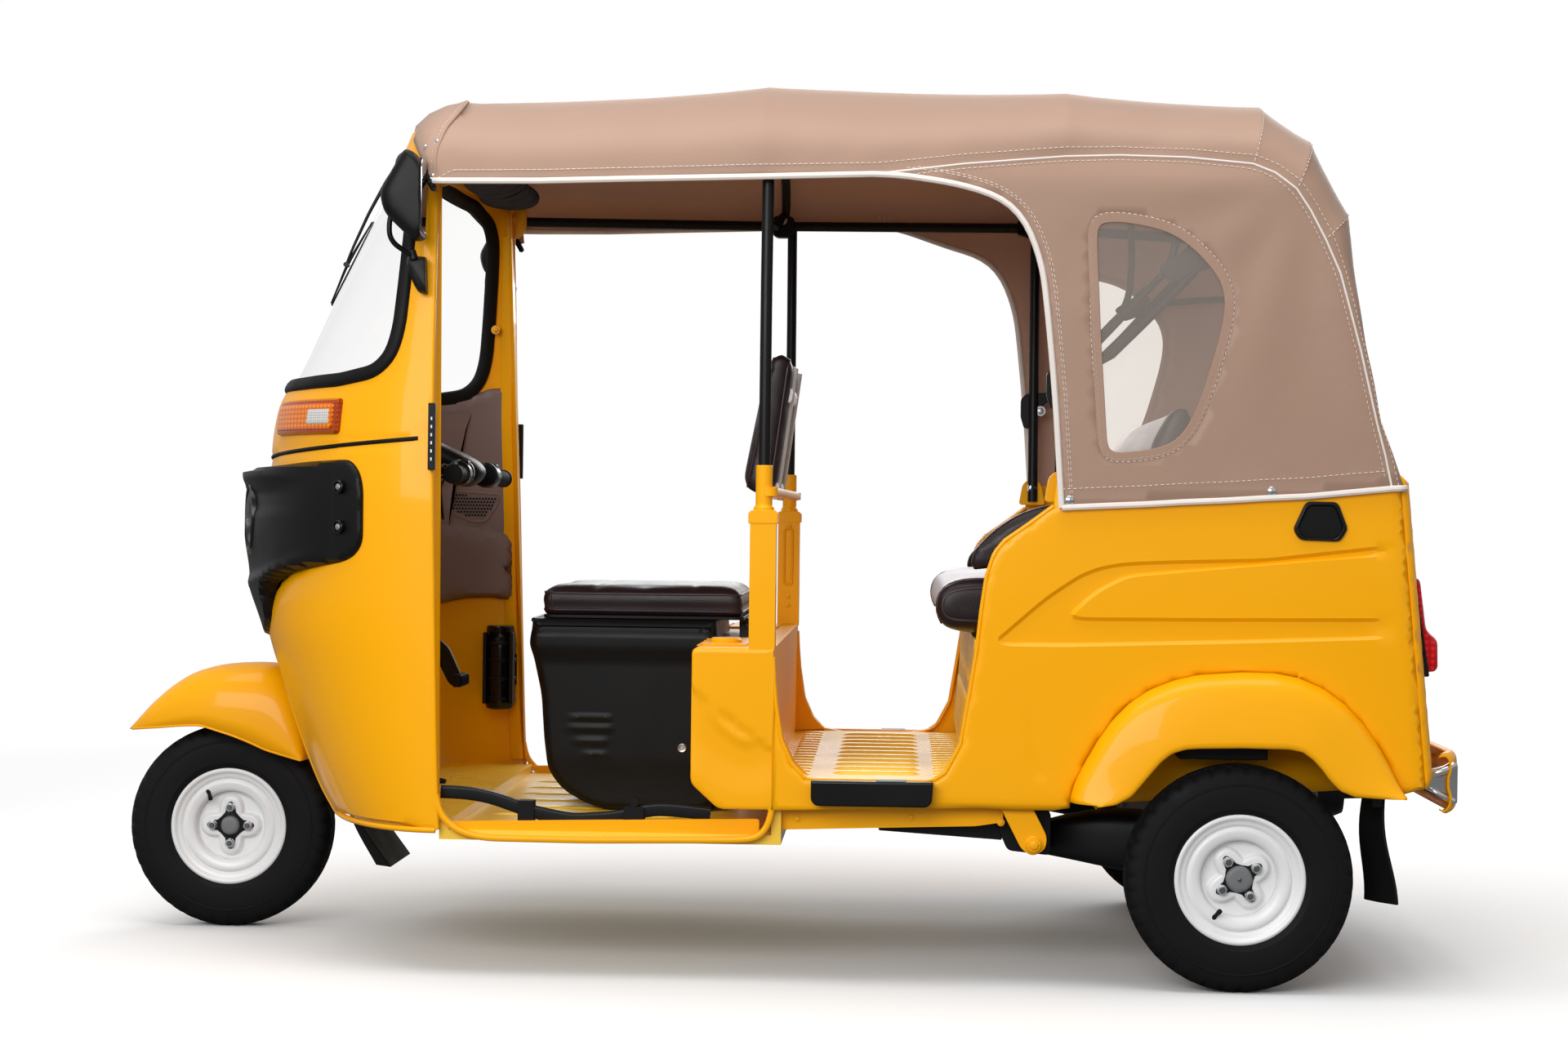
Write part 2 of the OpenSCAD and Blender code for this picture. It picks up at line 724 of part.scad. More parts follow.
module step_blocks() {
    color(black) pair() side([[tank_rear_x - 73, 375], [tank_rear_x - 73, 340], [tank_rear_x - 80, 331],
        [door_rear_x + 30, 331], [door_rear_x + 20, 375]], body_half_w, body_half_w + 30);
}

// ---- Hood and its frame -----------------------------------------------------------

bow_x = [post_x + 14, rear_axle_x + 314, rear_axle_x - 56, rear_axle_x - 149, rear_axle_x - 218];
// Crown line of the hood, seen from the side
crown = [[front_axle_x - 354, 1606], [front_axle_x - 364, 1640], [front_axle_x - 400, roof_z - 54],
    [front_axle_x - 500, roof_z - 38], [front_axle_x - 872, roof_z - 18], [bow_x[0], roof_z],
    [bow_x[1], roof_z - 12], [rear_axle_x + 140, roof_z - 24], [bow_x[2], roof_z - 40],
    [bow_x[3], roof_z - 112], [bow_x[4], roof_z - 266], [bow_x[4] - 5, 1345],
    [rear_axle_x - 240, 1199], [rear_axle_x - 266, 1055],
    [tail_skin(950) - cloth - soft_gap, 950], [tail_skin(870) - cloth - soft_gap, 870],
    [front_axle_x - 354, 870]];
// Plan of the hood's front, following the cowl, and of its rear corner
front_plan = [[176, body_half_w - 400], [160, body_half_w - 270], [120, body_half_w - 150],
    [60, body_half_w - 40], [10, body_half_w + 20]];
rear_plan = [[14, body_half_w + 20], [10, body_half_w + 2], [-3, body_half_w - 14], [-9, body_half_w - 50]];
// Half cross section of the hood
function hood_half(inset) = [[0, roof_z - inset + 1], [body_half_w - 380, roof_z - 10 - inset],
    [body_half_w - 220, roof_z - 38 - inset], [body_half_w - 120 - inset * 0.5, roof_z - 80 - inset],
    [body_half_w - 55 - inset, 1580], [body_half_w - 22 - inset, 1520],
    [body_half_w - 8 - inset, 1475], [body_half_w + 3 - inset, 1250], [body_half_w + cloth + soft_gap - inset, 960],
    [body_half_w + cloth + soft_gap - inset, 860]];
function both(half) = concat(half, [for (i = [len(half) - 1:-1:1]) [-half[i][0], half[i][1]]]);

module hood_form(inset) {
    intersection() {
        translate([0, body_half_w + 50, 0]) rotate([90, 0, 0]) linear_extrude(2 * body_half_w + 100)
            offset(delta = -inset) polygon(crown);
        section(both(hood_half(inset)), tail_x - 10, nose_x);
        translate([0, 0, 800]) linear_extrude(1000) polygon(concat(
            [for (p = front_plan) [cab_x + p[0] - inset, p[1]]],
            [for (p = rear_plan) [tail_top_x + p[0] + inset, p[1]]],
            [for (i = [3:-1:0]) [tail_top_x + rear_plan[i][0] + inset, -rear_plan[i][1]]],
            [for (i = [4:-1:0]) [cab_x + front_plan[i][0] - inset, -front_plan[i][1]]]));
    }
}

// Doorway under the hood's hem, from the cowl to the rear corner
door_edge = [[front_axle_x - 200, 1640], [cab_x + 168, 1612], [cab_x + 100, 1560], [cab_x + 33, 1501],
    [cab_x + 8, 1473],
    [tank_rear_x - 171, 1489], [tank_rear_x - 264, 1484], [door_rear_x - 52, 1464], [door_rear_x - 112, 1437],
    [door_rear_x - 145, 1393], [door_rear_x - 169, 1318], [door_rear_x - 182, 1214],
    [door_rear_x - 196, 1064], [door_rear_x - 208, 800], [front_axle_x - 200, 800]];
// The hem round the rear, over the top edge of the body
hem_edge = [[door_rear_x - 150, 879], [door_rear_x - 208, 879], [rear_axle_x - 115, 908],
    [tail_x - 20, 926], [tail_x - 20, 800], [door_rear_x - 150, 800]];
window_edge = [[239, 1399], [190, 1404], [130, 1387], [72, 1338], [38, 1291], [36, 1246], [53, 1157],
    [89, 1052], [125, 999], [184, 990], [232, 988]];

module hood_shell() {
    difference() {
        hood_form(0);
        hood_form(cloth);
        tail_form(-soft_gap, 2);
        side(door_edge, -body_half_w - 60, body_half_w + 60);
        side(hem_edge, -body_half_w - 60, body_half_w + 60);
    }
}

module window_zone() {
    side([for (p = window_edge) [rear_axle_x + p[0], p[1]]], -body_half_w - 60, body_half_w + 60);
    span([tail_x - 20, -300, 1120], [rear_axle_x - 200, 300, 1300]);
}

module hood() {
    color(canvas) difference() {
        hood_shell();
        window_zone();
    }
}

module hood_windows() {
    color("#dfe6e6") intersection() {
        hood_shell();
        window_zone();
    }
}

// Hoops under the cloth, standing on the side rails
module bows() {
    intersection() {
        difference() {
            hood_form(cloth + soft_gap);
            hood_form(cloth + soft_gap + 2 * tube_r);
        }
        for (x = bow_x)
            span([x - tube_r, -body_half_w, rail_z - 4], [x + tube_r, body_half_w, roof_z]);
    }
}

rear_post_x = rear_axle_x + 331;
rail_front = [cab_x + 20, cowl_w(rail_z) + tube_r - 3, rail_z];
module roof_frame() {
    color(black) {
        bows();
        pair() {
            bar(rail_front, [bow_x[0], rail_y, rail_z], tube_r);
            bar([bow_x[0], rail_y, rail_z], [rear_post_x, rail_y, rail_z], tube_r);
            bar([rear_post_x, rail_y, rail_z], [bow_x[2], rail_y, rail_z], tube_r);
            bar([post_x, post_y, post_tube_top + 0.6], [post_x, rail_y, rail_z], tube_r);
            for (p = [[bow_x[0], rail_y, rail_z], [rear_post_x, rail_y, rail_z], [post_x, rail_y, rail_z]])
                translate(p) sphere(r = tube_r + 3, $fn = 32);
            bar([rear_post_x, rail_y - 12, top_z - 20], [rear_post_x, rail_y, rail_z], tube_r);
            span([rear_post_x - 14, rail_y - 20, top_z - 38], [rear_post_x + 14, inner_w, top_z - 8]);
        }
    }
}

// ---- Steered parts --------------------------------------------------------------------

fork_y = -(tyre_w / 2 + 28);
module fork() {
    a = front_axle_x;
    color(black) {
        on_steering(250) cylinder(h = head_low_h - 250 - 5, r = 24, $fn = 48);
        on_steering(head_low_h - 10) cylinder(h = bar_h - head_low_h, r = column_r, $fn = 48);
        on_steering(250) translate([-13, fork_y - 12, 0]) cube([33, 12 - fork_y, 34]);
        bar(on_axis(270) + [0, fork_y, 0], [a - 120, fork_y, tyre_r + 20], 16);
        side([[a - 140, tyre_r + 4], [a - 140, tyre_r + 36], [a, tyre_r + 30], [a + 26, tyre_r],
            [a, tyre_r - 30]], fork_y - 14, fork_y + 6);
        across(a, fork_y, 28, tyre_r, axle_r);
    }
}

module front_mudguard() {
    a = front_axle_x;
    guard = [[219, 404], [169, 457], [127, 496], [76, 525], [31, 539], [-33, 545], [-93, 543],
        [-150, 500], [-172, 420], [-172, 350], [-141, 358], [-86, 370], [16, 409], [67, 418]];
    plan_edge = [[219, 10], [150, 62], [80, 94], [20, 105], [-180, 105]];
    color(yellow) difference() {
        intersection() {
            side([for (p = guard) [a + p[0], p[1]]], -120, 120);
            linear_extrude(800) polygon(concat([for (p = plan_edge) [a + p[0], p[1]]],
                [for (i = [len(plan_edge) - 1:-1:0]) [a + plan_edge[i][0], -plan_edge[i][1]]]));
        }
        intersection() {
            side([[a + 200, 350], [a + 200, 404], [a + 163, 450], [a + 124, 488], [a + 74, 519],
                [a + 30, 533], [a - 33, 539], [a - 90, 537], [a - 144, 497], [a - 166, 419],
                [a - 166, 300]], -120, 120);
            linear_extrude(800) polygon(concat([for (p = plan_edge) [a + p[0] - 8, p[1] - 4]],
                [for (i = [len(plan_edge) - 1:-1:0]) [a + plan_edge[i][0] - 8, 4 - plan_edge[i][1]]]));
        }
        on_steering(200) cylinder(h = 300, r = 24 + soft_gap, $fn = 48);
    }
}

bar_at = on_axis(bar_h) - bar_back * [cos(rake), 0, sin(rake)];
module handlebar() {
    color(black) difference() {
        union() {
            on_steering(bar_h - 23) translate([-bar_back - 20, -45, 0]) cube([bar_back + 50, 90, 46]);
            across(bar_at[0], -bar_half_w, bar_half_w, bar_at[2], 16);
        }
        on_steering(bar_h - 60) cylinder(h = 50 + eps, r = column_r + soft_gap, $fn = 48);
    }
}

// ---- Wheels -------------------------------------------------------------------------------

// A pressed rim: outline turned about the axle
module rim_form(hub_r) {
    rotate([-90, 0, 0]) rotate_extrude($fn = 72) polygon([[hub_r, -12], [hub_r, 30], [62, 30], [70, 16],
        [rim_r - 20, 16], [rim_r - 14, rim_w / 2 - 10], [rim_r, rim_w / 2 - 8], [rim_r + 8, rim_w / 2],
        [rim_r + 8, rim_w / 2 - 4], [rim_r, rim_w / 2 - 14], [rim_r, -rim_w / 2 + 14],
        [rim_r + 8, -rim_w / 2 + 4], [rim_r + 8, -rim_w / 2], [rim_r, -rim_w / 2 + 6],
        [rim_r - 8, -rim_w / 2 + 14], [rim_r - 20, 8], [62, 8], [56, -12]]);
}

module tyre_form() {
    w = tyre_w / 2;
    rotate([-90, 0, 0]) rotate_extrude($fn = 96) polygon([[rim_r + 0.3, -rim_w / 2 + 15],
        [rim_r + 0.3, rim_w / 2 - 15], [rim_r + 8.5, rim_w / 2 - 4.6], [rim_r + 20, w - 4], [tyre_r - 55, w],
        [tyre_r - 22, w - 4], [tyre_r - 8, w - 14], [tyre_r, w - 32], [tyre_r, 32 - w], [tyre_r - 8, 14 - w],
        [tyre_r - 22, 4 - w], [tyre_r - 55, -w], [rim_r + 20, 4 - w], [rim_r + 8.5, 4.6 - rim_w / 2]]);
}

module at_front() { translate([front_axle_x, 0, tyre_r]) children(); }
module at_left() { translate([rear_axle_x, track / 2, tyre_r]) children(); }
module at_right() { mirror([0, 1, 0]) at_left() children(); }

module front_rim() { color(silver) at_front() rim_form(axle_r + run_gap); }
module front_tyre() { color(black) at_front() tyre_form(); }
module rear_left_rim() { color(silver) at_left() rim_form(axle_r + run_gap); }
module rear_left_tyre() { color(black) at_left() tyre_form(); }
module rear_right_rim() { color(silver) at_right() rim_form(axle_r + run_gap); }
module rear_right_tyre() { color(black) at_right() tyre_form(); }

floor_pan();
front_cowl();
wheel_housing();
windscreen();
windscreen_seal();
headlamp_mask();
headlamps();
turn_lamps();
dashboard();
wiper();
mirrors();
tank_box();
quarter_panels();
wheel_arches();
rear_panel();
rear_hatch();
seat_base();
rear_cushion();
rear_backrest();
armrest_pads();
engine();
trailing_arms();
shock_absorbers();
drive_shafts();
tail_lamps();
rear_bumper();
mudflaps();
side_vents();
step_blocks();
roof_frame();
hood();
hood_windows();
seat_box();
driver_seat();
driver_backrest();
backrest_frame();
floor_rail();
brake_pedal();
bottle();
fork();
front_mudguard();
handlebar();
front_rim();
front_tyre();
rear_left_rim();
rear_left_tyre();
rear_right_rim();
rear_right_tyre();
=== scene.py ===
"""Looks of a three-wheeled auto rickshaw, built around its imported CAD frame."""

import math

import bmesh
import bpy
import numpy as np
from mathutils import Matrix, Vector
from mathutils.geometry import delaunay_2d_cdt


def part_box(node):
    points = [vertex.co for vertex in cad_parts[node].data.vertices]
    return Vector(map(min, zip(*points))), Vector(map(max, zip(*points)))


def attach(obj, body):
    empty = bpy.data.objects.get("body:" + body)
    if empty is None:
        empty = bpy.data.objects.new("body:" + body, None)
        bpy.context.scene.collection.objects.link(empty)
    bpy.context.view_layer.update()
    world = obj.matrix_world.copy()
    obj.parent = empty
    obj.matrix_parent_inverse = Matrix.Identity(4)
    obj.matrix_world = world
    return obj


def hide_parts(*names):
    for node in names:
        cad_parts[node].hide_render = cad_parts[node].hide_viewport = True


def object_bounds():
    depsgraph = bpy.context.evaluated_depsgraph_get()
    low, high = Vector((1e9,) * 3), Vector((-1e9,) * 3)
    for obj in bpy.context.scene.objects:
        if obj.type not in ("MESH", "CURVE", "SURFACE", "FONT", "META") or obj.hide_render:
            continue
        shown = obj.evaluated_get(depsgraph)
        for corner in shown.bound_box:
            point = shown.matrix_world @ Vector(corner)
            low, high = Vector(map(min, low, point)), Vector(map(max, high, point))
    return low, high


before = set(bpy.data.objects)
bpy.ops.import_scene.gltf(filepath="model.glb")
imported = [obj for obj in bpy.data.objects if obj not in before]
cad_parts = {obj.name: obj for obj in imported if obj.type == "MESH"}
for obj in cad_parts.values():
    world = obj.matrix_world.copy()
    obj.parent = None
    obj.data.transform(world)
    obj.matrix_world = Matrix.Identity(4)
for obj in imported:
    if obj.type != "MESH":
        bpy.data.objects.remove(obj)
cad_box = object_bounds()
MM = 0.001


def corner(node):
    """Lowest and highest corner of a CAD node in millimetres."""
    low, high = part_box(node)
    return [c / MM for c in low], [c / MM for c in high]


# ---- Finishes ---------------------------------------------------------------

def linear(colour):
    """An sRGB hex colour as linear light."""
    parts = [int(colour[i:i + 2], 16) / 255 for i in (1, 3, 5)]
    return [p / 12.92 if p <= 0.04045 else ((p + 0.055) / 1.055) ** 2.4 for p in parts] + [1.0]


def add(tree, kind, links=None, **settings):
    """A node with its settings, and its sockets set to a value or fed by another socket."""
    node = tree.nodes.new(kind)
    for key, value in settings.items():
        setattr(node, key, value)
    for socket, value in (links or {}).items():
        if isinstance(value, bpy.types.NodeSocket):
            tree.links.new(value, node.inputs[socket])
        else:
            node.inputs[socket].default_value = value
    return node


def blank(name):
    """An empty node material and its tree."""
    material = bpy.data.materials.new(name)
    material.use_nodes = True
    material.node_tree.nodes.clear()
    return material, material.node_tree


def surface(name, colour, shade, patch_mm, grain_mm, depth_mm, rough, pebbled=False, **sockets):
    """A finish with soft patches of two near colours, varied gloss and a fine grain in relief."""
    material, tree = blank(name)
    place = add(tree, "ShaderNodeTexCoord").outputs["Object"]
    patches = add(tree, "ShaderNodeTexNoise", {"Vector": place, "Scale": 1000 / patch_mm, "Detail": 4.0})
    colours = add(tree, "ShaderNodeMix", {0: patches.outputs["Fac"], 6: linear(colour), 7: linear(shade)},
                  data_type="RGBA")
    gloss = add(tree, "ShaderNodeMapRange", {"Value": patches.outputs["Fac"], "From Min": 0.3,
                                             "From Max": 0.7, "To Min": rough[0], "To Max": rough[1]})
    if pebbled:
        grain = add(tree, "ShaderNodeTexVoronoi", {"Vector": place, "Scale": 1000 / grain_mm})
        height = grain.outputs["Distance"]
    else:
        grain = add(tree, "ShaderNodeTexNoise", {"Vector": place, "Scale": 1000 / grain_mm, "Detail": 2.0})
        height = grain.outputs["Fac"]
    relief = add(tree, "ShaderNodeBump", {"Height": height, "Strength": 1.0, "Distance": depth_mm * MM})
    shader = add(tree, "ShaderNodeBsdfPrincipled", {"Base Color": colours.outputs[2],
                                                    "Roughness": gloss.outputs["Result"],
                                                    "Normal": relief.outputs["Normal"], **sockets})
    add(tree, "ShaderNodeOutputMaterial", {"Surface": shader.outputs["BSDF"]})
    return material


# Two-pack enamel, sprayed and baked: deep gloss clear coat over a warm yellow, slight orange peel
ENAMEL = surface("sprayed_enamel_yellow", "#ffb200", "#fdad00", 260, 9, 0.05, (0.34, 0.40),
                 **{"Specular IOR Level": 0.15, "Coat Weight": 0.2, "Coat Roughness": 0.06})
# The same enamel inside the body, painted a little darker and browner: painted shade; duller as well
SHADED_INNER_ENAMEL = surface("sprayed_enamel_yellow_inner_painted_shade", "#f8ae00", "#eda400", 180, 8, 0.06, (0.38, 0.5),
                       **{"Specular IOR Level": 0.15, "Coat Weight": 0.15, "Coat Roughness": 0.12})
# The same enamel where feet polish it: glossier, and painted paler, a painted light where the lamps strike it
# at a low angle
LIT_FLOOR_ENAMEL = surface("sprayed_enamel_yellow_floor_painted_light", "#ffd650", "#ffcb34", 180, 8, 0.06, (0.2, 0.3))
# Moulded ABS with a fine spark-eroded grain: satin black
ABS = surface("moulded_abs_black", "#0c0c0d", "#111112", 120, 1.6, 0.03, (0.36, 0.44),
              **{"Specular IOR Level": 0.18})
# The same ABS from a polished tool: glossier
ABS_GLOSS = surface("moulded_abs_black_polished", "#0b0b0c", "#101011", 150, 6, 0.02, (0.18, 0.24),
                    **{"Specular IOR Level": 0.3})
# Grained ABS of the inner trim: matt brown with a hint of mauve
TRIM = surface("moulded_abs_brown_trim", "#7d6966", "#73605d", 140, 1.2, 0.06, (0.5, 0.62), pebbled=True)
# Extruded EPDM rubber: matt black, slightly grey
EPDM = surface("extruded_epdm_rubber", "#0e0e0f", "#141414", 60, 2.0, 0.03, (0.48, 0.6),
               **{"Specular IOR Level": 0.15})
# Moulded tyre rubber: dry black with faint dust
TYRE = surface("moulded_tyre_rubber", "#0e0e0f", "#161617", 45, 1.5, 0.05, (0.55, 0.7),
               **{"Specular IOR Level": 0.14})
# Stoved black enamel on steel tube: an even black with soft highlights
BLACK_STEEL = surface("stoved_enamel_black_steel", "#0b0b0c", "#111112", 90, 5, 0.03, (0.32, 0.42),
                      **{"Specular IOR Level": 0.22})
# Silver-white powder coat on pressed wheels: bright, with a satin sheen
WHEEL_COAT = surface("powder_coat_silver_white", "#f2f2f2", "#e8e8e8", 70, 1.8, 0.03, (0.3, 0.4),
                     **{"Coat Weight": 0.25, "Coat Roughness": 0.12})
# Zinc plated steel fasteners: pale grey, half bright
ZINC = surface("zinc_plated_steel", "#c9ccce", "#aeb1b4", 12, 1.2, 0.02, (0.28, 0.4), **{"Metallic": 1.0})
# Chromed steel: a mirror with faint waves
CHROME = surface("chrome_plated_steel", "#dfe1e3", "#c8cacd", 60, 30, 0.02, (0.06, 0.12), **{"Metallic": 1.0})
# Sand cast aluminium alloy: rough, dull grey
CAST = surface("sand_cast_aluminium", "#8b8d8e", "#76787a", 50, 2.2, 0.25, (0.5, 0.65), **{"Metallic": 0.7})
# Turned steel shafts and hubs: dark grey with fine marks
TURNED = surface("turned_steel_dark", "#6f7173", "#5c5e60", 20, 1.0, 0.02, (0.35, 0.5), **{"Metallic": 0.9})
# Moulded grey wheel cap: flat grey plastic
CAP_GREY = surface("moulded_grey_cap", "#77797b", "#6d6f71", 20, 0.8, 0.03, (0.45, 0.55))
# Leather-grain PVC seat cover, thermoformed: dark aubergine brown
SEAT_VINYL = surface("leather_grain_vinyl_brown", "#1d1316", "#26191c", 90, 2.4, 0.22, (0.3, 0.42),
                     pebbled=True, **{"Specular IOR Level": 0.3})
# The same cover painted pale grey on the bench's upward and forward faces: a painted reflection of the lamps
# on the dark vinyl
SEAT_PAINTED_SHEEN = surface("leather_grain_vinyl_painted_sheen", "#d6d2da", "#c8c4cd", 90, 2.4, 0.2, (0.38, 0.5), pebbled=True)
# Welting cord of the seats: a thin reddish line
WELT = surface("vinyl_welt_dark", "#3a2429", "#2c1b1f", 30, 1.5, 0.05, (0.35, 0.45))
# White PVC piping of the hood: a clean pale line
PIPING = surface("extruded_pvc_piping_white", "#efe8e2", "#e6ddd5", 60, 2.0, 0.04, (0.4, 0.5))
# Spun polyester thread: pale, fuzzy stitches
THREAD = surface("polyester_thread_pale", "#e9dccf", "#dccdbf", 20, 0.8, 0.1, (0.6, 0.7))
# Woven black bag cloth: matt, with a coarse weave
BAG_CLOTH = surface("woven_black_bag_cloth", "#19191b", "#242427", 40, 1.6, 0.3, (0.75, 0.9), pebbled=True)
# Plate enamel: plain white
PLATE = surface("plate_enamel_white", "#e9e9e4", "#dfdfda", 80, 4, 0.02, (0.3, 0.36))
# Painted shade: black for the mouth of a grille or duct, standing in for its shadow; lets no light back
SHADE = surface("painted_shade_recess", "#070707", "#0b0b0b", 30, 3, 0.05, (0.7, 0.8),
                **{"Specular IOR Level": 0.2})


def coated_canvas(name, colour, shade, glow):
    """PVC-coated polyester canvas: a fine plain weave under the coating, and low soft ripples."""
    material, tree = blank(name)
    place = add(tree, "ShaderNodeTexCoord").outputs["Object"]
    patches = add(tree, "ShaderNodeTexNoise", {"Vector": place, "Scale": 3.2, "Detail": 5.0})
    colours = add(tree, "ShaderNodeMix", {0: patches.outputs["Fac"], 6: linear(colour), 7: linear(shade)},
                  data_type="RGBA")
    # threads 2 mm apart, coarser than the real 0.7 mm so that the weave shows
    warp = add(tree, "ShaderNodeTexWave", {"Vector": place, "Scale": 80.0, "Distortion": 0.6},
               bands_direction="DIAGONAL")
    weft = add(tree, "ShaderNodeTexWave", {"Vector": place, "Scale": 80.0, "Distortion": 0.6},
               bands_direction="Z")
    weave = add(tree, "ShaderNodeMath", {0: warp.outputs["Fac"], 1: weft.outputs["Fac"]},
                operation="MULTIPLY")
    ripple = add(tree, "ShaderNodeTexNoise", {"Vector": place, "Scale": 7.0, "Detail": 3.0})
    fine = add(tree, "ShaderNodeBump", {"Height": weave.outputs[0], "Strength": 0.5, "Distance": 0.12 * MM})
    soft = add(tree, "ShaderNodeBump", {"Height": ripple.outputs["Fac"], "Strength": 0.35,
                                        "Distance": 6 * MM, "Normal": fine.outputs["Normal"]})
    shader = add(tree, "ShaderNodeBsdfPrincipled", {
        "Base Color": colours.outputs[2], "Roughness": 0.46, "Normal": soft.outputs["Normal"],
        "Sheen Weight": 0.12, "Sheen Roughness": 0.4, "Specular IOR Level": 0.35})
    through = add(tree, "ShaderNodeBsdfTranslucent", {"Color": colours.outputs[2]})
    mixed = add(tree, "ShaderNodeMixShader", {0: glow, 1: shader.outputs["BSDF"], 2: through.outputs["BSDF"]})
    add(tree, "ShaderNodeOutputMaterial", {"Surface": mixed.outputs["Shader"]})
    return material


def clear(name, colour, tint, haze, rough):
    """A clear sheet: mostly see-through, with a reflection that grows at low angles and a little haze."""
    material, tree = blank(name)
    place = add(tree, "ShaderNodeTexCoord").outputs["Object"]
    waves = add(tree, "ShaderNodeTexNoise", {"Vector": place, "Scale": 5.0, "Detail": 2.0})
    relief = add(tree, "ShaderNodeBump", {"Height": waves.outputs["Fac"], "Strength": 0.3,
                                          "Distance": 3 * MM})
    facing = add(tree, "ShaderNodeLayerWeight", {"Blend": 0.5, "Normal": relief.outputs["Normal"]})
    glancing = add(tree, "ShaderNodeMath", {0: facing.outputs["Facing"], 1: 4.0}, operation="POWER")
    mirrored = add(tree, "ShaderNodeMapRange", {"Value": glancing.outputs[0], "To Min": 0.02, "To Max": 0.2})
    gloss = add(tree, "ShaderNodeBsdfGlossy", {"Color": (1, 1, 1, 1), "Roughness": rough,
                                               "Normal": relief.outputs["Normal"]})
    body = add(tree, "ShaderNodeBsdfDiffuse", {"Color": linear(colour)})
    through = add(tree, "ShaderNodeBsdfTransparent", {"Color": linear(tint)})
    hazy = add(tree, "ShaderNodeMixShader", {0: haze, 1: through.outputs["BSDF"], 2: body.outputs["BSDF"]})
    mixed = add(tree, "ShaderNodeMixShader", {0: mirrored.outputs["Result"], 1: hazy.outputs["Shader"],
                                              2: gloss.outputs["BSDF"]})
    add(tree, "ShaderNodeOutputMaterial", {"Surface": mixed.outputs["Shader"]})
    return material


def lens(name, colour, deep, flute_mm):
    """Injection moulded lens plastic: coloured through, with flutes inside that break up the light."""
    material, tree = blank(name)
    place = add(tree, "ShaderNodeTexCoord").outputs["Object"]
    flutes = add(tree, "ShaderNodeTexWave", {"Vector": place, "Scale": 314 / flute_mm, "Distortion": 0.0},
                 bands_direction="Z")
    columns = add(tree, "ShaderNodeTexWave", {"Vector": place, "Scale": 314 / flute_mm, "Distortion": 0.0},
                  bands_direction="X")
    cells = add(tree, "ShaderNodeMath", {0: flutes.outputs["Fac"], 1: columns.outputs["Fac"]},
                operation="MULTIPLY")
    colours = add(tree, "ShaderNodeMix", {0: cells.outputs[0], 6: linear(deep), 7: linear(colour)},
                  data_type="RGBA")
    relief = add(tree, "ShaderNodeBump", {"Height": cells.outputs[0], "Strength": 0.4, "Distance": 0.8 * MM})
    shader = add(tree, "ShaderNodeBsdfPrincipled", {
        "Base Color": colours.outputs[2], "Roughness": 0.12, "Normal": relief.outputs["Normal"],
        "Specular IOR Level": 0.3, "Coat Weight": 0.2, "Coat Roughness": 0.03,
        "Subsurface Weight": 0.2, "Subsurface Scale": 0.008})
    add(tree, "ShaderNodeOutputMaterial", {"Surface": shader.outputs["BSDF"]})
    return material


# Tan coated canvas: soft ripples, and a little daylight comes through
CANVAS = coated_canvas("coated_canvas_tan", "#c6a590", "#bb9985", 0.3)
# Laminated glass is nearly invisible against a pale wall
GLASS = clear("laminated_glass_clear", "#f8fafa", "#fefefe", 0.01, 0.02)
# Clear PVC sheet is a little milky
PVC_SHEET = clear("clear_pvc_sheet", "#f4e6da", "#fdfbf8", 0.2, 0.06)
# Amber lens plastic, brighter on its flutes
AMBER = lens("moulded_amber_lens", "#ff9c08", "#d46200", 9)
# The rim moulded in one with the amber lens, thicker and so deeper in colour
AMBER_RIM = lens("moulded_amber_rim", "#b84a04", "#9a3602", 9)
# Clear lens plastic over a white bulb: pale, with a grid of flutes
CLEAR_LENS = lens("moulded_clear_lens", "#f4f2ee", "#b9b6b2", 5)
# Red lens plastic of the tail lamps
RED = lens("moulded_red_lens", "#f0141c", "#b80912", 12)
# Silvered mirror glass
GREY_GLASS = surface("mirror_glass", "#c4c8ca", "#bcc0c2", 80, 40, 0.01, (0.02, 0.05), **{"Metallic": 1.0})


# ---- Shapes ------------------------------------------------------------------

def unit(vector):
    vector = np.asarray(vector, float)
    return vector / (np.linalg.norm(vector) or 1.0)


def resample(points, step, closed=False):
    """Points at an even step along a line through the given ones."""
    line = np.asarray(points, float)
    if closed:
        line = np.vstack([line, line[:1]])
    length = np.concatenate([[0], np.cumsum(np.linalg.norm(np.diff(line, axis=0), axis=1))])
    count = max(2, int(round(length[-1] / step)))
    at = np.linspace(0, length[-1], count + 1)
    if closed:
        at = at[:-1]
    return np.stack([np.interp(at, length, line[:, k]) for k in range(line.shape[1])], 1)


def smooth(points, step, closed=False, passes=6):
    """A line through the given points with its corners eased."""
    line = resample(points, step, closed)
    for _ in range(passes):
        before, after = np.roll(line, 1, 0), np.roll(line, -1, 0)
        eased = (before + 2 * line + after) / 4
        if not closed:
            eased[0], eased[-1] = line[0], line[-1]
        line = eased
    return line


def rounded(points, radius, steps=5):
    """A closed outline whose corners are arcs; radius is one number or one for each corner."""
    points = [np.asarray(p, float) for p in points]
    radii = radius if isinstance(radius, (list, tuple)) else [radius] * len(points)
    line = []
    for i, point in enumerate(points):
        to_last, to_next = points[i - 1] - point, points[(i + 1) % len(points)] - point
        reach = min(radii[i], 0.45 * np.linalg.norm(to_last), 0.45 * np.linalg.norm(to_next))
        start, end = point + unit(to_last) * reach, point + unit(to_next) * reach
        if reach < 0.1:
            line.append(point)
            continue
        for k in range(steps + 1):
            t = k / steps
            line.append((1 - t) ** 2 * start + 2 * t * (1 - t) * point + t ** 2 * end)
    return np.array(line)


def inside(points, outline):
    """Which 2-D points lie in a closed outline."""
    x, y = points[:, 0], points[:, 1]
    hit = np.zeros(len(points), bool)
    ax, ay = outline[-1]
    for bx, by in outline:
        crosses = (ay > y) != (by > y)
        with np.errstate(divide="ignore", invalid="ignore"):
            at = (bx - ax) * (y - ay) / (by - ay) + ax
        hit ^= crosses & (x < at)
        ax, ay = bx, by
    return hit


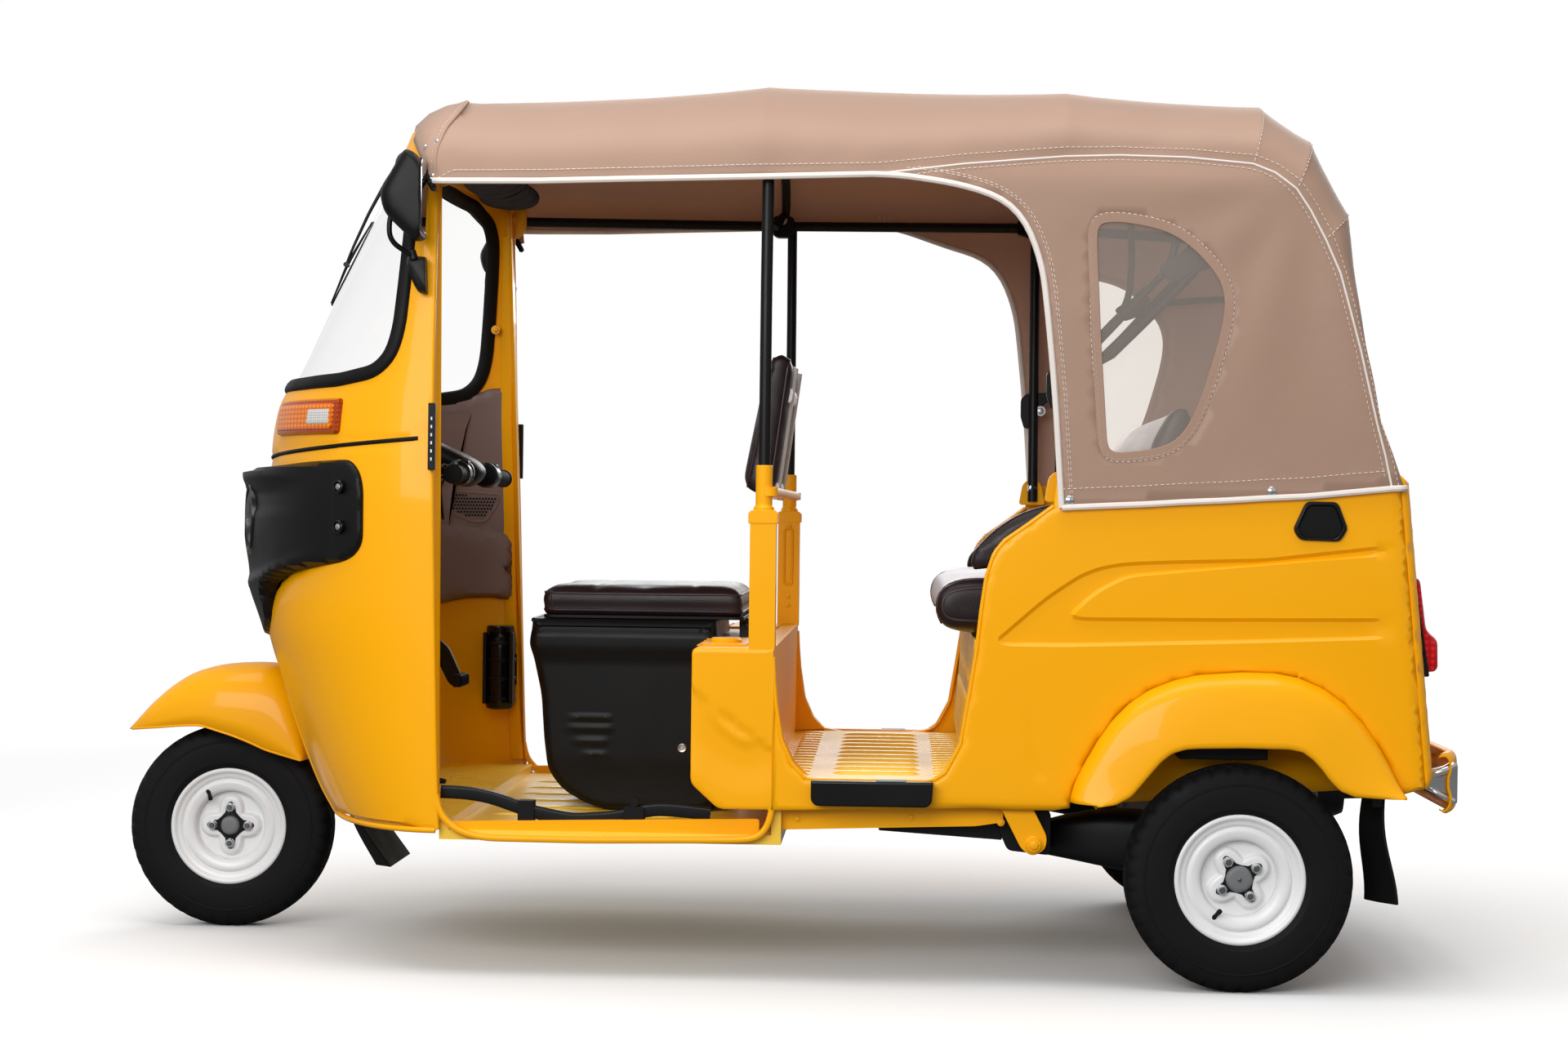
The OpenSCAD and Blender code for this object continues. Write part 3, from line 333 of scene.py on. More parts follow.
def distance(points, line, closed=True):
    """How far each 2-D point is from a line."""
    best = np.full(len(points), 1e9)
    ends = np.roll(line, -1, 0) if closed else line[1:]
    for a, b in zip(line if closed else line[:-1], ends):
        d = b - a
        t = np.clip(((points - a) @ d) / max(d @ d, 1e-9), 0, 1)
        best = np.minimum(best, np.hypot(*(points - a - t[:, None] * d).T))
    return best


def fill(outline, spacing, holes=(), lines=()):
    """Even triangles over an outline less its holes, with edges along the lines."""
    edges_of = [(np.asarray(outline), True)]
    edges_of += [(np.asarray(h), True) for h in holes] + [(np.asarray(l), False) for l in lines]
    low, high = np.min(outline, 0), np.max(outline, 0)
    rows = np.arange(low[1], high[1] + spacing, spacing * 0.87)
    grid = []
    for k, v in enumerate(rows):
        start = low[0] + (spacing / 2 if k % 2 else 0)
        grid += [(u, v) for u in np.arange(start, high[0] + spacing, spacing)]
    grid = np.array(grid)
    keep = inside(grid, outline)
    for hole in holes:
        keep &= ~inside(grid, hole)
    for line, closed in edges_of:
        keep &= distance(grid, line, closed) > spacing * 0.45
    points, edges = [tuple(p) for p in grid[keep]], []
    for line, closed in edges_of:
        first = len(points)
        points += [tuple(p) for p in line]
        edges += [(first + k, first + k + 1) for k in range(len(line) - 1)]
        if closed:
            edges.append((first + len(line) - 1, first))
    found = delaunay_2d_cdt([Vector(p) for p in points], edges, [], 0, 0.01)
    flat = np.array([tuple(p) for p in found[0]])
    faces = np.array(found[2])
    middles = flat[faces].mean(1)
    keep = inside(middles, np.asarray(outline))
    for hole in holes:
        keep &= ~inside(middles, np.asarray(hole))
    return flat, faces[keep]


class Form:
    """The points, in millimetres, and faces of one piece."""

    def __init__(self):
        self.points = []
        self.faces = []

    def take(self, points, faces):
        first = len(self.points)
        self.points += [tuple(p) for p in points]
        self.faces += [tuple(first + int(i) for i in f) for f in faces]
        return self

    def loft(self, rings, closed=True, caps=True):
        """Skin over rings of as many points each."""
        count = len(rings[0])
        last = count if closed else count - 1
        faces = []
        for r in range(len(rings) - 1):
            for k in range(last):
                a, b = r * count + k, r * count + (k + 1) % count
                faces.append((a, b, b + count, a + count))
        if caps and closed:
            faces.append(tuple(range(count))[::-1])
            end = (len(rings) - 1) * count
            faces.append(tuple(range(end, end + count)))
        return self.take([p for ring in rings for p in ring], faces)

    def tube(self, path, radius, sides=12, closed=False, caps=True, flat=1.0):
        """A round bar along a path; radius is one number or one for each point."""
        path = np.asarray(path, float)
        radii = np.broadcast_to(np.asarray(radius, float), (len(path),))
        ahead = np.roll(path, -1, 0) - np.roll(path, 1, 0) if closed else np.gradient(path, axis=0)
        side = unit(np.cross(unit(ahead[0]), (0.13, 0.21, 0.97)))
        rings = []
        for point, direction, r in zip(path, ahead, radii):
            direction = unit(direction)
            side = unit(side - direction * (side @ direction))
            up = np.cross(direction, side)
            turn = [2 * math.pi * k / sides for k in range(sides)]
            rings.append([point + r * (math.cos(t) * side + flat * math.sin(t) * up) for t in turn])
        if closed:
            rings.append(rings[0])
        return self.loft(rings, caps=caps and not closed)

    def strip(self, path, across, section, closed=False):
        """A section of (across, out) offsets carried along a path; across and out come per point."""
        path = np.asarray(path, float)
        rings = []
        for point, (side, out) in zip(path, across):
            rings.append([point + s * side + o * out for s, o in section])
        if closed:
            rings.append(rings[0])
        return self.loft(rings, caps=not closed)

    def prism(self, outline, low, high, axis="y"):
        """An outline carried straight between two planes of an axis."""
        place = {"y": lambda a, b, t: (a, t, b), "x": lambda a, b, t: (t, a, b), "z": lambda a, b,
                 t: (a, b, t)}[axis]
        return self.loft([[place(a, b, t) for a, b in outline] for t in (low, high)])

    def span(self, low, high):
        """A box between two corners."""
        (x0, y0, z0), (x1, y1, z1) = low, high
        return self.prism([(x0, z0), (x1, z0), (x1, z1), (x0, z1)], y0, y1)

    def turn(self, profile, centre, direction=(0, 1, 0), sides=32, caps=True):
        """A profile of (along, radius) turned about a line."""
        along = unit(direction)
        side = unit(np.cross(along, (0.2, 0.1, 0.97)))
        up = np.cross(along, side)
        centre = np.asarray(centre, float)
        rings = []
        for a, r in profile:
            angles = [2 * math.pi * k / sides for k in range(sides)]
            rings.append([centre + a * along + r * (math.cos(t) * side + math.sin(t) * up) for t in angles])
        return self.loft(rings, caps=caps)

    def bolt(self, centre, direction, size, height=None):
        """A hexagon head on its washer."""
        height = height or size * 0.35
        self.turn([(0, size * 0.72), (height * 0.25, size * 0.72)], centre, direction, 24)
        self.turn([(height * 0.25, size * 0.5), (height * 0.85, size * 0.5), (height, size * 0.4)],
                  centre, direction, 6)
        return self

    def make(self, name, material, body="chassis", bevel=0.0, thick=0.0, smoothing=0, pair=False,
             sharp=38, replaces=(), slot=None, weld=0.0):
        """The finished Blender piece, riding on its body."""
        points, faces = list(self.points), list(self.faces)
        if pair:
            first = len(points)
            points += [(x, -y, z) for x, y, z in self.points]
            faces += [tuple(first + i for i in f[::-1]) for f in self.faces]
        mesh = bpy.data.meshes.new(name)
        mesh.from_pydata([(x * MM, y * MM, z * MM) for x, y, z in points], [], faces)
        mesh.validate()
        if weld:
            work = bmesh.new()
            work.from_mesh(mesh)
            bmesh.ops.remove_doubles(work, verts=work.verts, dist=weld * MM)
            bmesh.ops.recalc_face_normals(work, faces=work.faces)
            work.to_mesh(mesh)
            work.free()
        piece = bpy.data.objects.new(name, mesh)
        bpy.context.scene.collection.objects.link(piece)
        mesh.shade_smooth()
        mesh.set_sharp_from_angle(angle=math.radians(sharp))
        mesh.materials.append(material)
        if thick:
            wall = piece.modifiers.new("wall", "SOLIDIFY")
            wall.thickness = thick * MM
            wall.offset = -1.0
            wall.use_even_offset = True
        if bevel:
            edge = piece.modifiers.new("edge", "BEVEL")
            edge.width = bevel * MM
            edge.segments = 3
            edge.limit_method = "ANGLE"
            edge.angle_limit = math.radians(38)
        if smoothing:
            divide = piece.modifiers.new("divide", "SUBSURF")
            divide.levels = divide.render_levels = smoothing
        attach(piece, body)
        if replaces:
            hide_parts(*replaces)
        return piece


def repaint(node, material):
    """A CAD node that keeps its shape takes a finish."""
    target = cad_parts[node]
    target.data.materials.clear()
    target.data.materials.append(material)


def follow(path, out_of, closed=False):
    """Along-the-surface side and outward directions for each point of a path."""
    path = np.asarray(path, float)
    ahead = np.roll(path, -1, 0) - np.roll(path, 1, 0) if closed else np.gradient(path, axis=0)
    found = []
    for direction, out in zip(ahead, out_of):
        out = unit(out)
        found.append((unit(np.cross(unit(direction), out)), out))
    return found


def bead(width, height, sink=2.0, steps=6):
    """Half-round section of a trim or piping."""
    line = [(width / 2 * math.cos(math.pi * k / steps), height * math.sin(math.pi * k / steps))
            for k in range(steps + 1)]
    return line + [(-width / 2, -sink), (width / 2, -sink)]


# ---- Camera, lights and floor -------------------------------------------------

def studio():
    scene = bpy.context.scene
    scene.view_settings.view_transform = "Standard"
    camera = bpy.data.objects.new("camera", bpy.data.cameras.new("camera"))
    scene.collection.objects.link(camera)
    camera.data.lens = 63.41
    camera.data.sensor_width = 36.0
    camera.data.clip_end = 100.0
    # solved axes of the camera: right, down and ahead
    right = Vector((-0.99900, -0.04295, 0.01239))
    down = Vector((-0.01249, 0.00208, -0.99992))
    ahead = Vector((0.04292, -0.99908, -0.00262))
    turn = camera.matrix_world.to_3x3()
    for row in range(3):
        turn[row] = (right[row], -down[row], -ahead[row])
    camera.matrix_world = turn.to_4x4()
    camera.location = (-0.278, 5.674, 0.862)
    scene.camera = camera

    world = bpy.data.worlds.new("studio")
    scene.world = world
    world.use_nodes = True
    tree = world.node_tree
    tree.nodes.clear()
    path = add(tree, "ShaderNodeLightPath")
    seen = add(tree, "ShaderNodeMath", {0: path.outputs["Is Camera Ray"],
                                        1: path.outputs["Is Transmission Ray"]},
               operation="MAXIMUM")
    strength = add(tree, "ShaderNodeMapRange", {"Value": seen.outputs[0], "To Min": 0.55, "To Max": 1.0})
    sky = add(tree, "ShaderNodeBackground", {"Color": (1, 1, 1, 1), "Strength": strength.outputs["Result"]})
    add(tree, "ShaderNodeOutputWorld", {"Surface": sky.outputs["Background"]})

    # a large soft lamp overhead, a broad one on each side
    for name, place, aim, size, power in (
            ("top_softbox", (0.2, 0.9, 4.6), (0, 0, 0.6), (4.6, 2.4), 112),
            ("side_softbox", (1.6, 5.2, 2.6), (0, 0, 0.8), (4.0, 2.4), 172),
            ("far_softbox", (-0.9, -4.4, 2.5), (-0.3, 0, 0.5), (4.2, 2.0), 100)):
        lamp = bpy.data.objects.new(name, bpy.data.lights.new(name, "AREA"))
        scene.collection.objects.link(lamp)
        lamp.data.shape = "RECTANGLE"
        lamp.data.size, lamp.data.size_y = size
        lamp.data.energy = power
        lamp.location = place
        lamp.rotation_euler = (Vector(aim) - Vector(place)).to_track_quat("-Z", "Y").to_euler()

    floor_mesh = bpy.data.meshes.new("studio_floor")
    floor_mesh.from_pydata([(-30, -30, 0), (30, -30, 0), (30, 30, 0), (-30, 30, 0)], [], [(0, 1, 2, 3)])
    floor = bpy.data.objects.new("studio_floor", floor_mesh)
    scene.collection.objects.link(floor)
    material, tree = blank("studio_paper_white")
    place = add(tree, "ShaderNodeTexCoord").outputs["Object"]
    far = add(tree, "ShaderNodeVectorMath", {0: place}, operation="LENGTH")
    fade = add(tree, "ShaderNodeMapRange", {"Value": far.outputs["Value"], "From Min": 2.6, "From Max": 5.0,
                                            "To Min": 0.0, "To Max": 1.0})
    path = add(tree, "ShaderNodeLightPath")
    # the paper throws little light back up, so that its shadow keeps no cast from the paint
    paper = add(tree, "ShaderNodeMix", {0: path.outputs["Is Camera Ray"], 6: (0.22, 0.22, 0.22, 1),
                                        7: (0.93, 0.93, 0.93, 1)}, data_type="RGBA")
    lit = add(tree, "ShaderNodeBsdfDiffuse", {"Color": paper.outputs[2]})
    white = add(tree, "ShaderNodeEmission", {"Color": (1, 1, 1, 1), "Strength": 1.0})
    shown = add(tree, "ShaderNodeMath", {0: fade.outputs["Result"], 1: path.outputs["Is Camera Ray"]},
                operation="MULTIPLY")
    mixed = add(tree, "ShaderNodeMixShader", {0: shown.outputs[0], 1: lit.outputs["BSDF"],
                                              2: white.outputs["Emission"]})
    add(tree, "ShaderNodeOutputMaterial", {"Surface": mixed.outputs["Shader"]})
    floor_mesh.materials.append(material)


studio()


# ---- Stations, read from the CAD boxes ------------------------------------------

def middle(node, axis):
    low, high = corner(node)
    return (low[axis] + high[axis]) / 2


FRONT_AXLE = middle("front_tyre", 0)
REAR_AXLE = middle("rear_left_tyre", 0)
AXLE_Z = middle("front_tyre", 2)
TRACK_Y = middle("rear_left_tyre", 1)
HALF_W = corner("quarter_panels")[1][1]
CAB = FRONT_AXLE - 520
TAIL = cad_box[0][0] / MM
RAIL_Y, RAIL_Z = HALF_W - 44, 1514
MIDDLE_POST, REAR_POST = -21.5, -568.5


def step(value, low, high):
    """0 to 1, eased, as a value goes from low to high."""
    t = np.clip((np.asarray(value, float) - low) / (high - low), 0, 1)
    return t * t * (3 - 2 * t)


def eased(table, width=50):
    """A table of (height, value) read as a soft curve."""
    heights = np.arange(150, 1800, 5.0)
    values = np.interp(heights, [t[0] for t in table], [t[1] for t in table])
    half = int(width / 5)
    kernel = np.hanning(2 * half + 3)
    padded_values = np.pad(values, half + 1, mode="edge")
    return heights, np.convolve(padded_values, kernel / kernel.sum(), "valid")


REACH = eased([(250, 268), (300, 307), (380, 345), (483, 385), (563, 410), (635, 430), (1000, 428),
               (1085, 412), (1120, 378), (1287, 298), (1475, 201), (1600, 128), (1700, 82)])
SIDE = eased([(250, 0), (400, 0), (900, -10), (1130, -40), (1461, -80), (1600, -110)], 90)
REAR = eased([(250, -8), (388, -2), (1130, 19), (1461, 23), (1600, 25)], 90)


def cowl(angle, z, out=0.0):
    """Point of the cowl at an angle in degrees from the centre line and a height, raised off it."""
    angle, z = np.radians(np.asarray(angle, float)), np.asarray(z, float)
    rear = CAB + np.interp(z, *REAR)
    tip = CAB + np.interp(z, *REACH)
    half = HALF_W + np.interp(z, *SIDE)
    return np.stack(np.broadcast_arrays(rear + (tip - rear + out) * np.cos(angle),
                                        (half + out) * np.sin(angle), z), -1)


def cowl_out(angle, z):
    """Outward direction of the cowl."""
    across = cowl(np.asarray(angle) + 0.5, z) - cowl(np.asarray(angle) - 0.5, z)
    up = cowl(angle, np.asarray(z) + 4) - cowl(angle, np.asarray(z) - 4)
    out = np.cross(across, up)
    return out / np.linalg.norm(out, axis=-1, keepdims=True)


def angle_at(x, z):
    """The cowl angle whose side view is at x, at a height."""
    rear = CAB + np.interp(z, *REAR)
    tip = CAB + np.interp(z, *REACH)
    return math.degrees(math.acos(min(1, max(0, (x - rear) / (tip - rear)))))


# flat patterns of the cowl: millimetres for each degree round it
ROUND = 9.0


def round_line(side_view):
    """Side-view points (x, z) as flat (round, height) points, carried over the centre line."""
    half = [(ROUND * angle_at(x, z), z) for x, z in side_view]
    return half + [(-u, z) for u, z in half[::-1]]


def cowl_sheet(outline, spacing, raised, holes=(), lines=()):
    """A flat pattern laid on the cowl, raised off it."""
    flat, faces = fill(outline, spacing, holes, lines)
    angle, z = flat[:, 0] / ROUND, flat[:, 1]
    return Form().take(cowl(angle, z, raised(angle, z, flat)), faces)


SCREEN_EDGE = [(CAB + x, z) for x, z in (
    (409, 1106), (300, 1105), (210, 1108), (134, 1122), (101, 1154), (87, 1206), (79, 1300), (73, 1389),
    (69, 1465), (76, 1505), (104, 1537), (142, 1553), (176, 1558))]
SCREEN = smooth(round_line(SCREEN_EDGE), 14, closed=True, passes=3)
ARCH_HALF = 221.0
COWL_EDGE = rounded([(-810, 271), (-ARCH_HALF - 6, 271), (-ARCH_HALF, 592), (ARCH_HALF, 592),
                     (ARCH_HALF + 6, 271), (810, 271), (810, 1600), (-810, 1600)],
                    [8, 62, 95, 95, 62, 8, 3, 3], 10)
# crest of the front lobe under the lamp mask
CREST = [(960, 690), (930, 712), (896, 733), (850, 745), (818, 753), (772, 768), (740, 790)]
CREST_LINE = sorted((ROUND * angle_at(x, z), z) for x, z in CREST)


def cowl_relief(angle, z, flat):
    """The body falls back above the lobe's crest, towards the mask."""
    crest = np.interp(np.abs(flat[:, 0]), [c[0] for c in CREST_LINE], [c[1] for c in CREST_LINE])
    above = z - crest
    under_mask = step(above, -3, 16) * (1 - step(above, 40, 120)) * (1 - step(np.abs(angle), 52, 66))
    lobe = 5 * step(-above, -2, 40) * (1 - step(-above, 60, 260)) * (1 - step(np.abs(angle), 40, 70))
    gutter = 3.0 * (1 - step(np.abs(z - belt_height(angle)), 0, 9)) * (z < 1010)
    return lobe - 11 * under_mask - gutter


def belt_height(angle):
    return 999 - 35 * np.cos(np.radians(angle))


def front_body():
    """Cowl, pillars, windscreen and the strips on them."""
    u = np.linspace(-800, 800, 90)
    belt = [(v, float(belt_height(v / ROUND))) for v in u]
    crest = [(c[0], c[1]) for c in CREST_LINE]
    sheet = cowl_sheet(COWL_EDGE, 15, cowl_relief, holes=[SCREEN],
                       lines=[belt, crest, [(-c[0], c[1]) for c in crest[::-1]]])
    sheet.make("front_cowl_shell", ENAMEL, thick=13, bevel=1.2, replaces=["front_cowl"], slot="body_paint")

    # rolled edges: round the wheel opening and down both rear edges of the cab
    rolled = Form()
    opening = resample([(-800, 271), (-330, 271)] + [tuple(p) for p in COWL_EDGE
                       if abs(p[0]) < 320 and p[1] < 600] + [(330, 271), (800, 271)], 12)
    path = cowl(opening[:, 0] / ROUND, opening[:, 1], -3)
    rolled.tube(path, 5.5, 10)
    for side in (-1, 1):
        z = np.arange(275, 1470, 15.0)
        rolled.tube(cowl(side * 89.4, z, -5), 5.5, 10)
    rolled.make("front_cowl_rolled_edges", ENAMEL, slot="body_paint")

    # pillar inner pressings: a flange behind each rear edge, with a plate and two bolts
    inner = Form()
    z = np.arange(300, 1500, 20.0)
    for side in (-1, 1):
        edge = cowl(side * 86.5, z, -21)
        inner.strip(edge, follow(edge, [(0.25, -side, 0)] * len(z)), rounded(
            [(-16, -5), (16, -5), (14, 5), (-14, 5)], 4, 2))
        inner.bolt((642, side * 505, 1271), (0, -side, 0), 14)
        inner.prism(rounded([(618, 1560), (573, 1557), (573, 1496), (587, 1475), (617, 1475)], 12),
                    side * 492 - 4, side * 492 + 4)
        inner.bolt((601, side * 486, 1518), (0, -side, 0), 14)
    # the darker inner enamel on these pressings is painted shade
    inner.make("pillar_inner_pressings", SHADED_INNER_ENAMEL, bevel=1.0, slot="body_paint")
    # header over the windscreen
    header = Form()
    turn = np.linspace(-74, 74, 60)
    path = cowl(turn, 1578, -16)
    header.strip(path, follow(path, -cowl_out(turn, 1578)), rounded([(-20, 0), (20, 0), (16, 14), (-16, 14)],
                                                                    5, 3))
    # the darker inner enamel on the header is painted shade
    header.make("windscreen_header", SHADED_INNER_ENAMEL, slot="body_paint")

    # windscreen and its moulded seal
    loop = resample(SCREEN, 12, closed=True)
    turn, z = loop[:, 0] / ROUND, loop[:, 1]
    out = cowl_out(turn, z)
    seal = Form()
    path = cowl(turn, z, 0)
    seal.strip(path, follow(path, out, True), [(-14, -6), (-13.5, 3), (-10, 7.5), (-3, 9), (5, 8.5), (11, 6),
                                               (14, 1.5), (14, -6)], closed=True)
    path = cowl(turn, z, -13)
    seal.strip(path, follow(path, out, True), [(-15, 4), (-14, -4), (-8, -8), (8, -8), (14, -4), (15, 4)],
               closed=True)
    seal.make("windscreen_rubber_seal", EPDM, replaces=["windscreen_seal"], slot="rubber_trim")
    pane = cowl_sheet(loop, 34, lambda a, z, flat: -4.0 + 0 * a)
    pane.make("windscreen_glass", GLASS, replaces=["windscreen"], slot="clear_glass")

    # black strip in the belt gutter
    turn = np.linspace(-86, 86, 150)
    path = cowl(turn, belt_height(turn), -2.5)
    Form().strip(path, follow(path, cowl_out(turn, belt_height(turn))), bead(8.5, 4)).make(
        "belt_strip", EPDM, slot="rubber_trim")
    # slotted hinge strips on the cab's rear edges
    hinges = Form()
    slots = Form()
    for side in (-1, 1):
        y = side * (HALF_W - 11)
        hinges.span((CAB + 8, y - 4 if side > 0 else y - 9, 938),
                    (CAB + 21, y + 9 if side > 0 else y + 4, 1062))
        for k in range(6):
            z0 = 955 + 15 * k
            slots.span((CAB + 13, y + side * 8.6 - 0.6, z0), (CAB + 16, y + side * 8.6 + 1.4, z0 + 6))
    hinges.make("door_chain_strips", ABS, bevel=1.5, slot="black_plastic")
    slots.make("door_chain_slots", ZINC, bevel=0.4)


# ---- Lamp mask, lamps and mirrors ---------------------------------------------------

MASK_HALF = [(727, 800), (728, 905), (736, 935), (756, 957), (850, 953), (915, 948), (970, 946),
             (1008, 946)]
MASK_LOW = [(1010, 604), (985, 606), (965, 620), (950, 650), (948, 692), (935, 718), (900, 737), (850, 750),
            (770, 764), (744, 776), (731, 794)]
RIDGE = [(0, 706), (20, 708), (35, 722), (48, 752), (60, 782), (70, 790)]


def lamp_mask():
    """The black moulding across the nose, its screws and the two headlamps."""
    outline = smooth(round_line(MASK_LOW[1:] + MASK_HALF[:-1]), 9, closed=True, passes=3)
    lamps = []
    for y in (-250, 250):
        ring = [(y + 66 * math.cos(t), 845 + 66 * math.sin(t)) for t in np.linspace(0, 2 * math.pi, 40)[:-1]]
        lamps.append(np.array([(ROUND * math.degrees(math.asin(py / (HALF_W + 32))), pz) for py, pz in ring]))

    def raised(angle, z, flat):
        turn = np.abs(angle)
        full = 8 + 46 * np.cos(np.radians(np.clip(turn / 63 * 90, 0, 90))) ** 0.75
        lip = 6 * step(z, 908, 926) * (1 - step(turn, 34, 58))
        hollow = -5 * (1 - step(np.abs(z - 880), 12, 30)) * (1 - step(turn, 30, 56))
        ridge = np.interp(turn, [r[0] for r in RIDGE], [r[1] for r in RIDGE])
        roll = 3 * (1 - step(np.abs(z - ridge - 8), 0, 16)) * (1 - step(turn, 40, 62))
        full = full - 11 * (1 - step(z - ridge, 20, 110)) * (1 - step(turn, 22, 44))
        down = step(ridge - z, 0, 95) ** 0.7
        shell = (full + lip + hollow + roll) * (1 - down) + 15 * down
        rim = np.clip(distance(flat, outline) / 11, 0, 1)
        return 1.6 + (shell - 1.6) * np.sqrt(1 - (1 - rim) ** 2)

    sheet = cowl_sheet(outline, 9, raised, holes=lamps)
    sheet.make("headlamp_mask_moulding", ABS, thick=3, replaces=["headlamp_mask"], slot="black_plastic")

    # screws in their pockets
    pockets, screws = Form(), Form()
    for side_of in (-1, 1):
        for x, z in ((784, 905), (783, 830)):
            a = side_of * angle_at(x - 12, z)
            at = cowl(a, z, 14)
            out = cowl_out(a, z)
            pockets.turn([(-4, 13), (3, 13), (4.5, 11.5), (4.5, 9.5), (0, 8), (0, 0.1)], at, out, 24,
                         caps=False)
            screws.turn([(0.2, 6), (2.6, 6), (3.4, 4.2)], at, out, 20)
            screws.turn([(2.5, 2.0), (3.7, 2.0)], at, out, 6)
    pockets.make("mask_screw_pockets", ABS_GLOSS, slot="black_plastic")
    screws.make("mask_screws", ZINC, slot="chrome")

    bowls, rings, lenses = Form(), Form(), Form()
    for y in (-250, 250):
        aim = unit((1.0, 0.34 * np.sign(y), 0.0))
        a = math.degrees(math.asin(y / (HALF_W + 20)))
        at = cowl(a, 845, 33)
        rings.turn([(-42, 71), (8, 71), (13, 69), (14, 65), (10, 62), (2, 61), (-42, 61)], at, aim, 56,
                   caps=False)
        bowls.turn([(2, 61), (-8, 55), (-22, 42), (-32, 26), (-38, 12), (-38, 0.1)], at, aim, 48, caps=False)
        bowls.turn([(-36, 9), (-14, 9), (-10, 6), (-9, 0.1)], at, aim, 24, caps=False)
        lenses.turn([(4, 62), (9, 58), (13, 47), (16, 32), (18, 15), (18.5, 0.1)], at, aim, 56, caps=False)
    rings.make("headlamp_rims", ABS_GLOSS, replaces=["headlamps"], slot="black_plastic")
    bowls.make("headlamp_reflectors", CHROME, slot="chrome")
    lenses.make("headlamp_lenses", GLASS, slot="clear_glass")


def turn_lamps():
    """Wrap-round turn lamps with a clear side lamp at their rear end."""
    low, high = 1009, 1068

    def patch(x0, x1, z0, z1, radius, raised, spacing):
        u0, u1 = ROUND * angle_at(x1, 1040), ROUND * angle_at(x0, 1040)
        outline = rounded([(u0, z0), (u1, z0), (u1, z1), (u0, z1)], radius, 6)
        outline = resample(outline, spacing * 0.7, True)
        sheets = Form()
        for flip in (1, -1):
            flat, faces = fill(outline, spacing)
            rim = np.clip(distance(flat, outline) / 6, 0, 1)
            lift = raised * np.sqrt(1 - (1 - rim) ** 2)
            sheets.take(cowl(flip * flat[:, 0] / ROUND, flat[:, 1], lift),
                        [f if flip > 0 else f[::-1] for f in faces])
        return sheets
    patch(781, 936, low - 5, high + 5, 12, 11, 5).make(
        "turn_lamp_bezels", AMBER_RIM, replaces=["turn_lamps"], slot="lamp_amber")
    patch(790, 931, low + 2, high - 2, 9, 15, 5).make("turn_lamp_lenses", AMBER, slot="lamp_amber")
    patch(796, 850, low + 12, high - 12, 5, 17, 4).make("side_lamp_windows", CLEAR_LENS, slot="clear_glass")


def mirrors():
    """Mirrors on looped arms."""
    shells, arms, blocks, glasses = Form(), Form(), Form(), Form()
    outline = rounded([(647, 1531), (631, 1525), (615, 1503), (613, 1364), (625, 1359), (643, 1370),
                       (686, 1411),
                       (695, 1448), (668, 1497)], [14, 8, 8, 6, 6, 12, 16, 14, 20], 4)
    for side in (-1, 1):
        rings = []
        for y, grow in ((553, 0.55), (556, 0.78), (564, 0.92), (585, 0.99), (600, 1.0), (618, 0.985),
                        (632, 0.95),
                        (641, 0.86), (645, 0.68), (646, 0.4)):
            rings.append([(613 + (x - 613) * grow, side * y, 1446 + (z - 1446) * (0.35 + 0.65 * grow))
                          for x, z in outline])
        shells.loft(rings if side > 0 else [r[::-1] for r in rings])
        face = rounded([(y, z) for y, z in ((566, 1372), (634, 1378), (638, 1500), (620, 1516), (576, 1512),
                                            (562, 1490))], 12, 4)
        glasses.loft([[(x, side * y, z) for y, z in (face if side > 0 else face[::-1])] for x in (611.4,
                                                                                                  613.4)])
        loop = smooth([(664, side * 600, 1430), (677, side * 600, 1404), (678, side * 600, 1372),
                       (670, side * 596, 1356), (650, side * 584, 1343), (636, side * 572, 1335)], 6,
                       passes=4)
        arms.tube(loop, 5, 12)
        arms.turn([(-8, 8), (8, 8), (9, 6)], (638, side * 572, 1337), (0.3, 0, 1), 20)
        base = rounded([(650, 1338), (616, 1336), (613, 1266), (629, 1268), (641, 1289), (653, 1326)],
                       [6, 4, 3, 6, 10, 6], 4)
        blocks.loft([[(618 + (x - 618) * s, side * y, 1302 + (z - 1302) * s) for x, z in
                      (base if side > 0 else base[::-1])]
                     for y, s in ((546, 0.96), (550, 1.0), (562, 0.98), (570, 0.86), (573, 0.6))])
    shells.make("mirror_shells", ABS, replaces=["mirrors"], smoothing=1, slot="black_plastic")
    glasses.make("mirror_glasses", GREY_GLASS, bevel=0.6, slot="chrome")
    arms.make("mirror_arms", BLACK_STEEL, slot="black_steel")
    blocks.make("mirror_bases", ABS, bevel=1.5, slot="black_plastic")


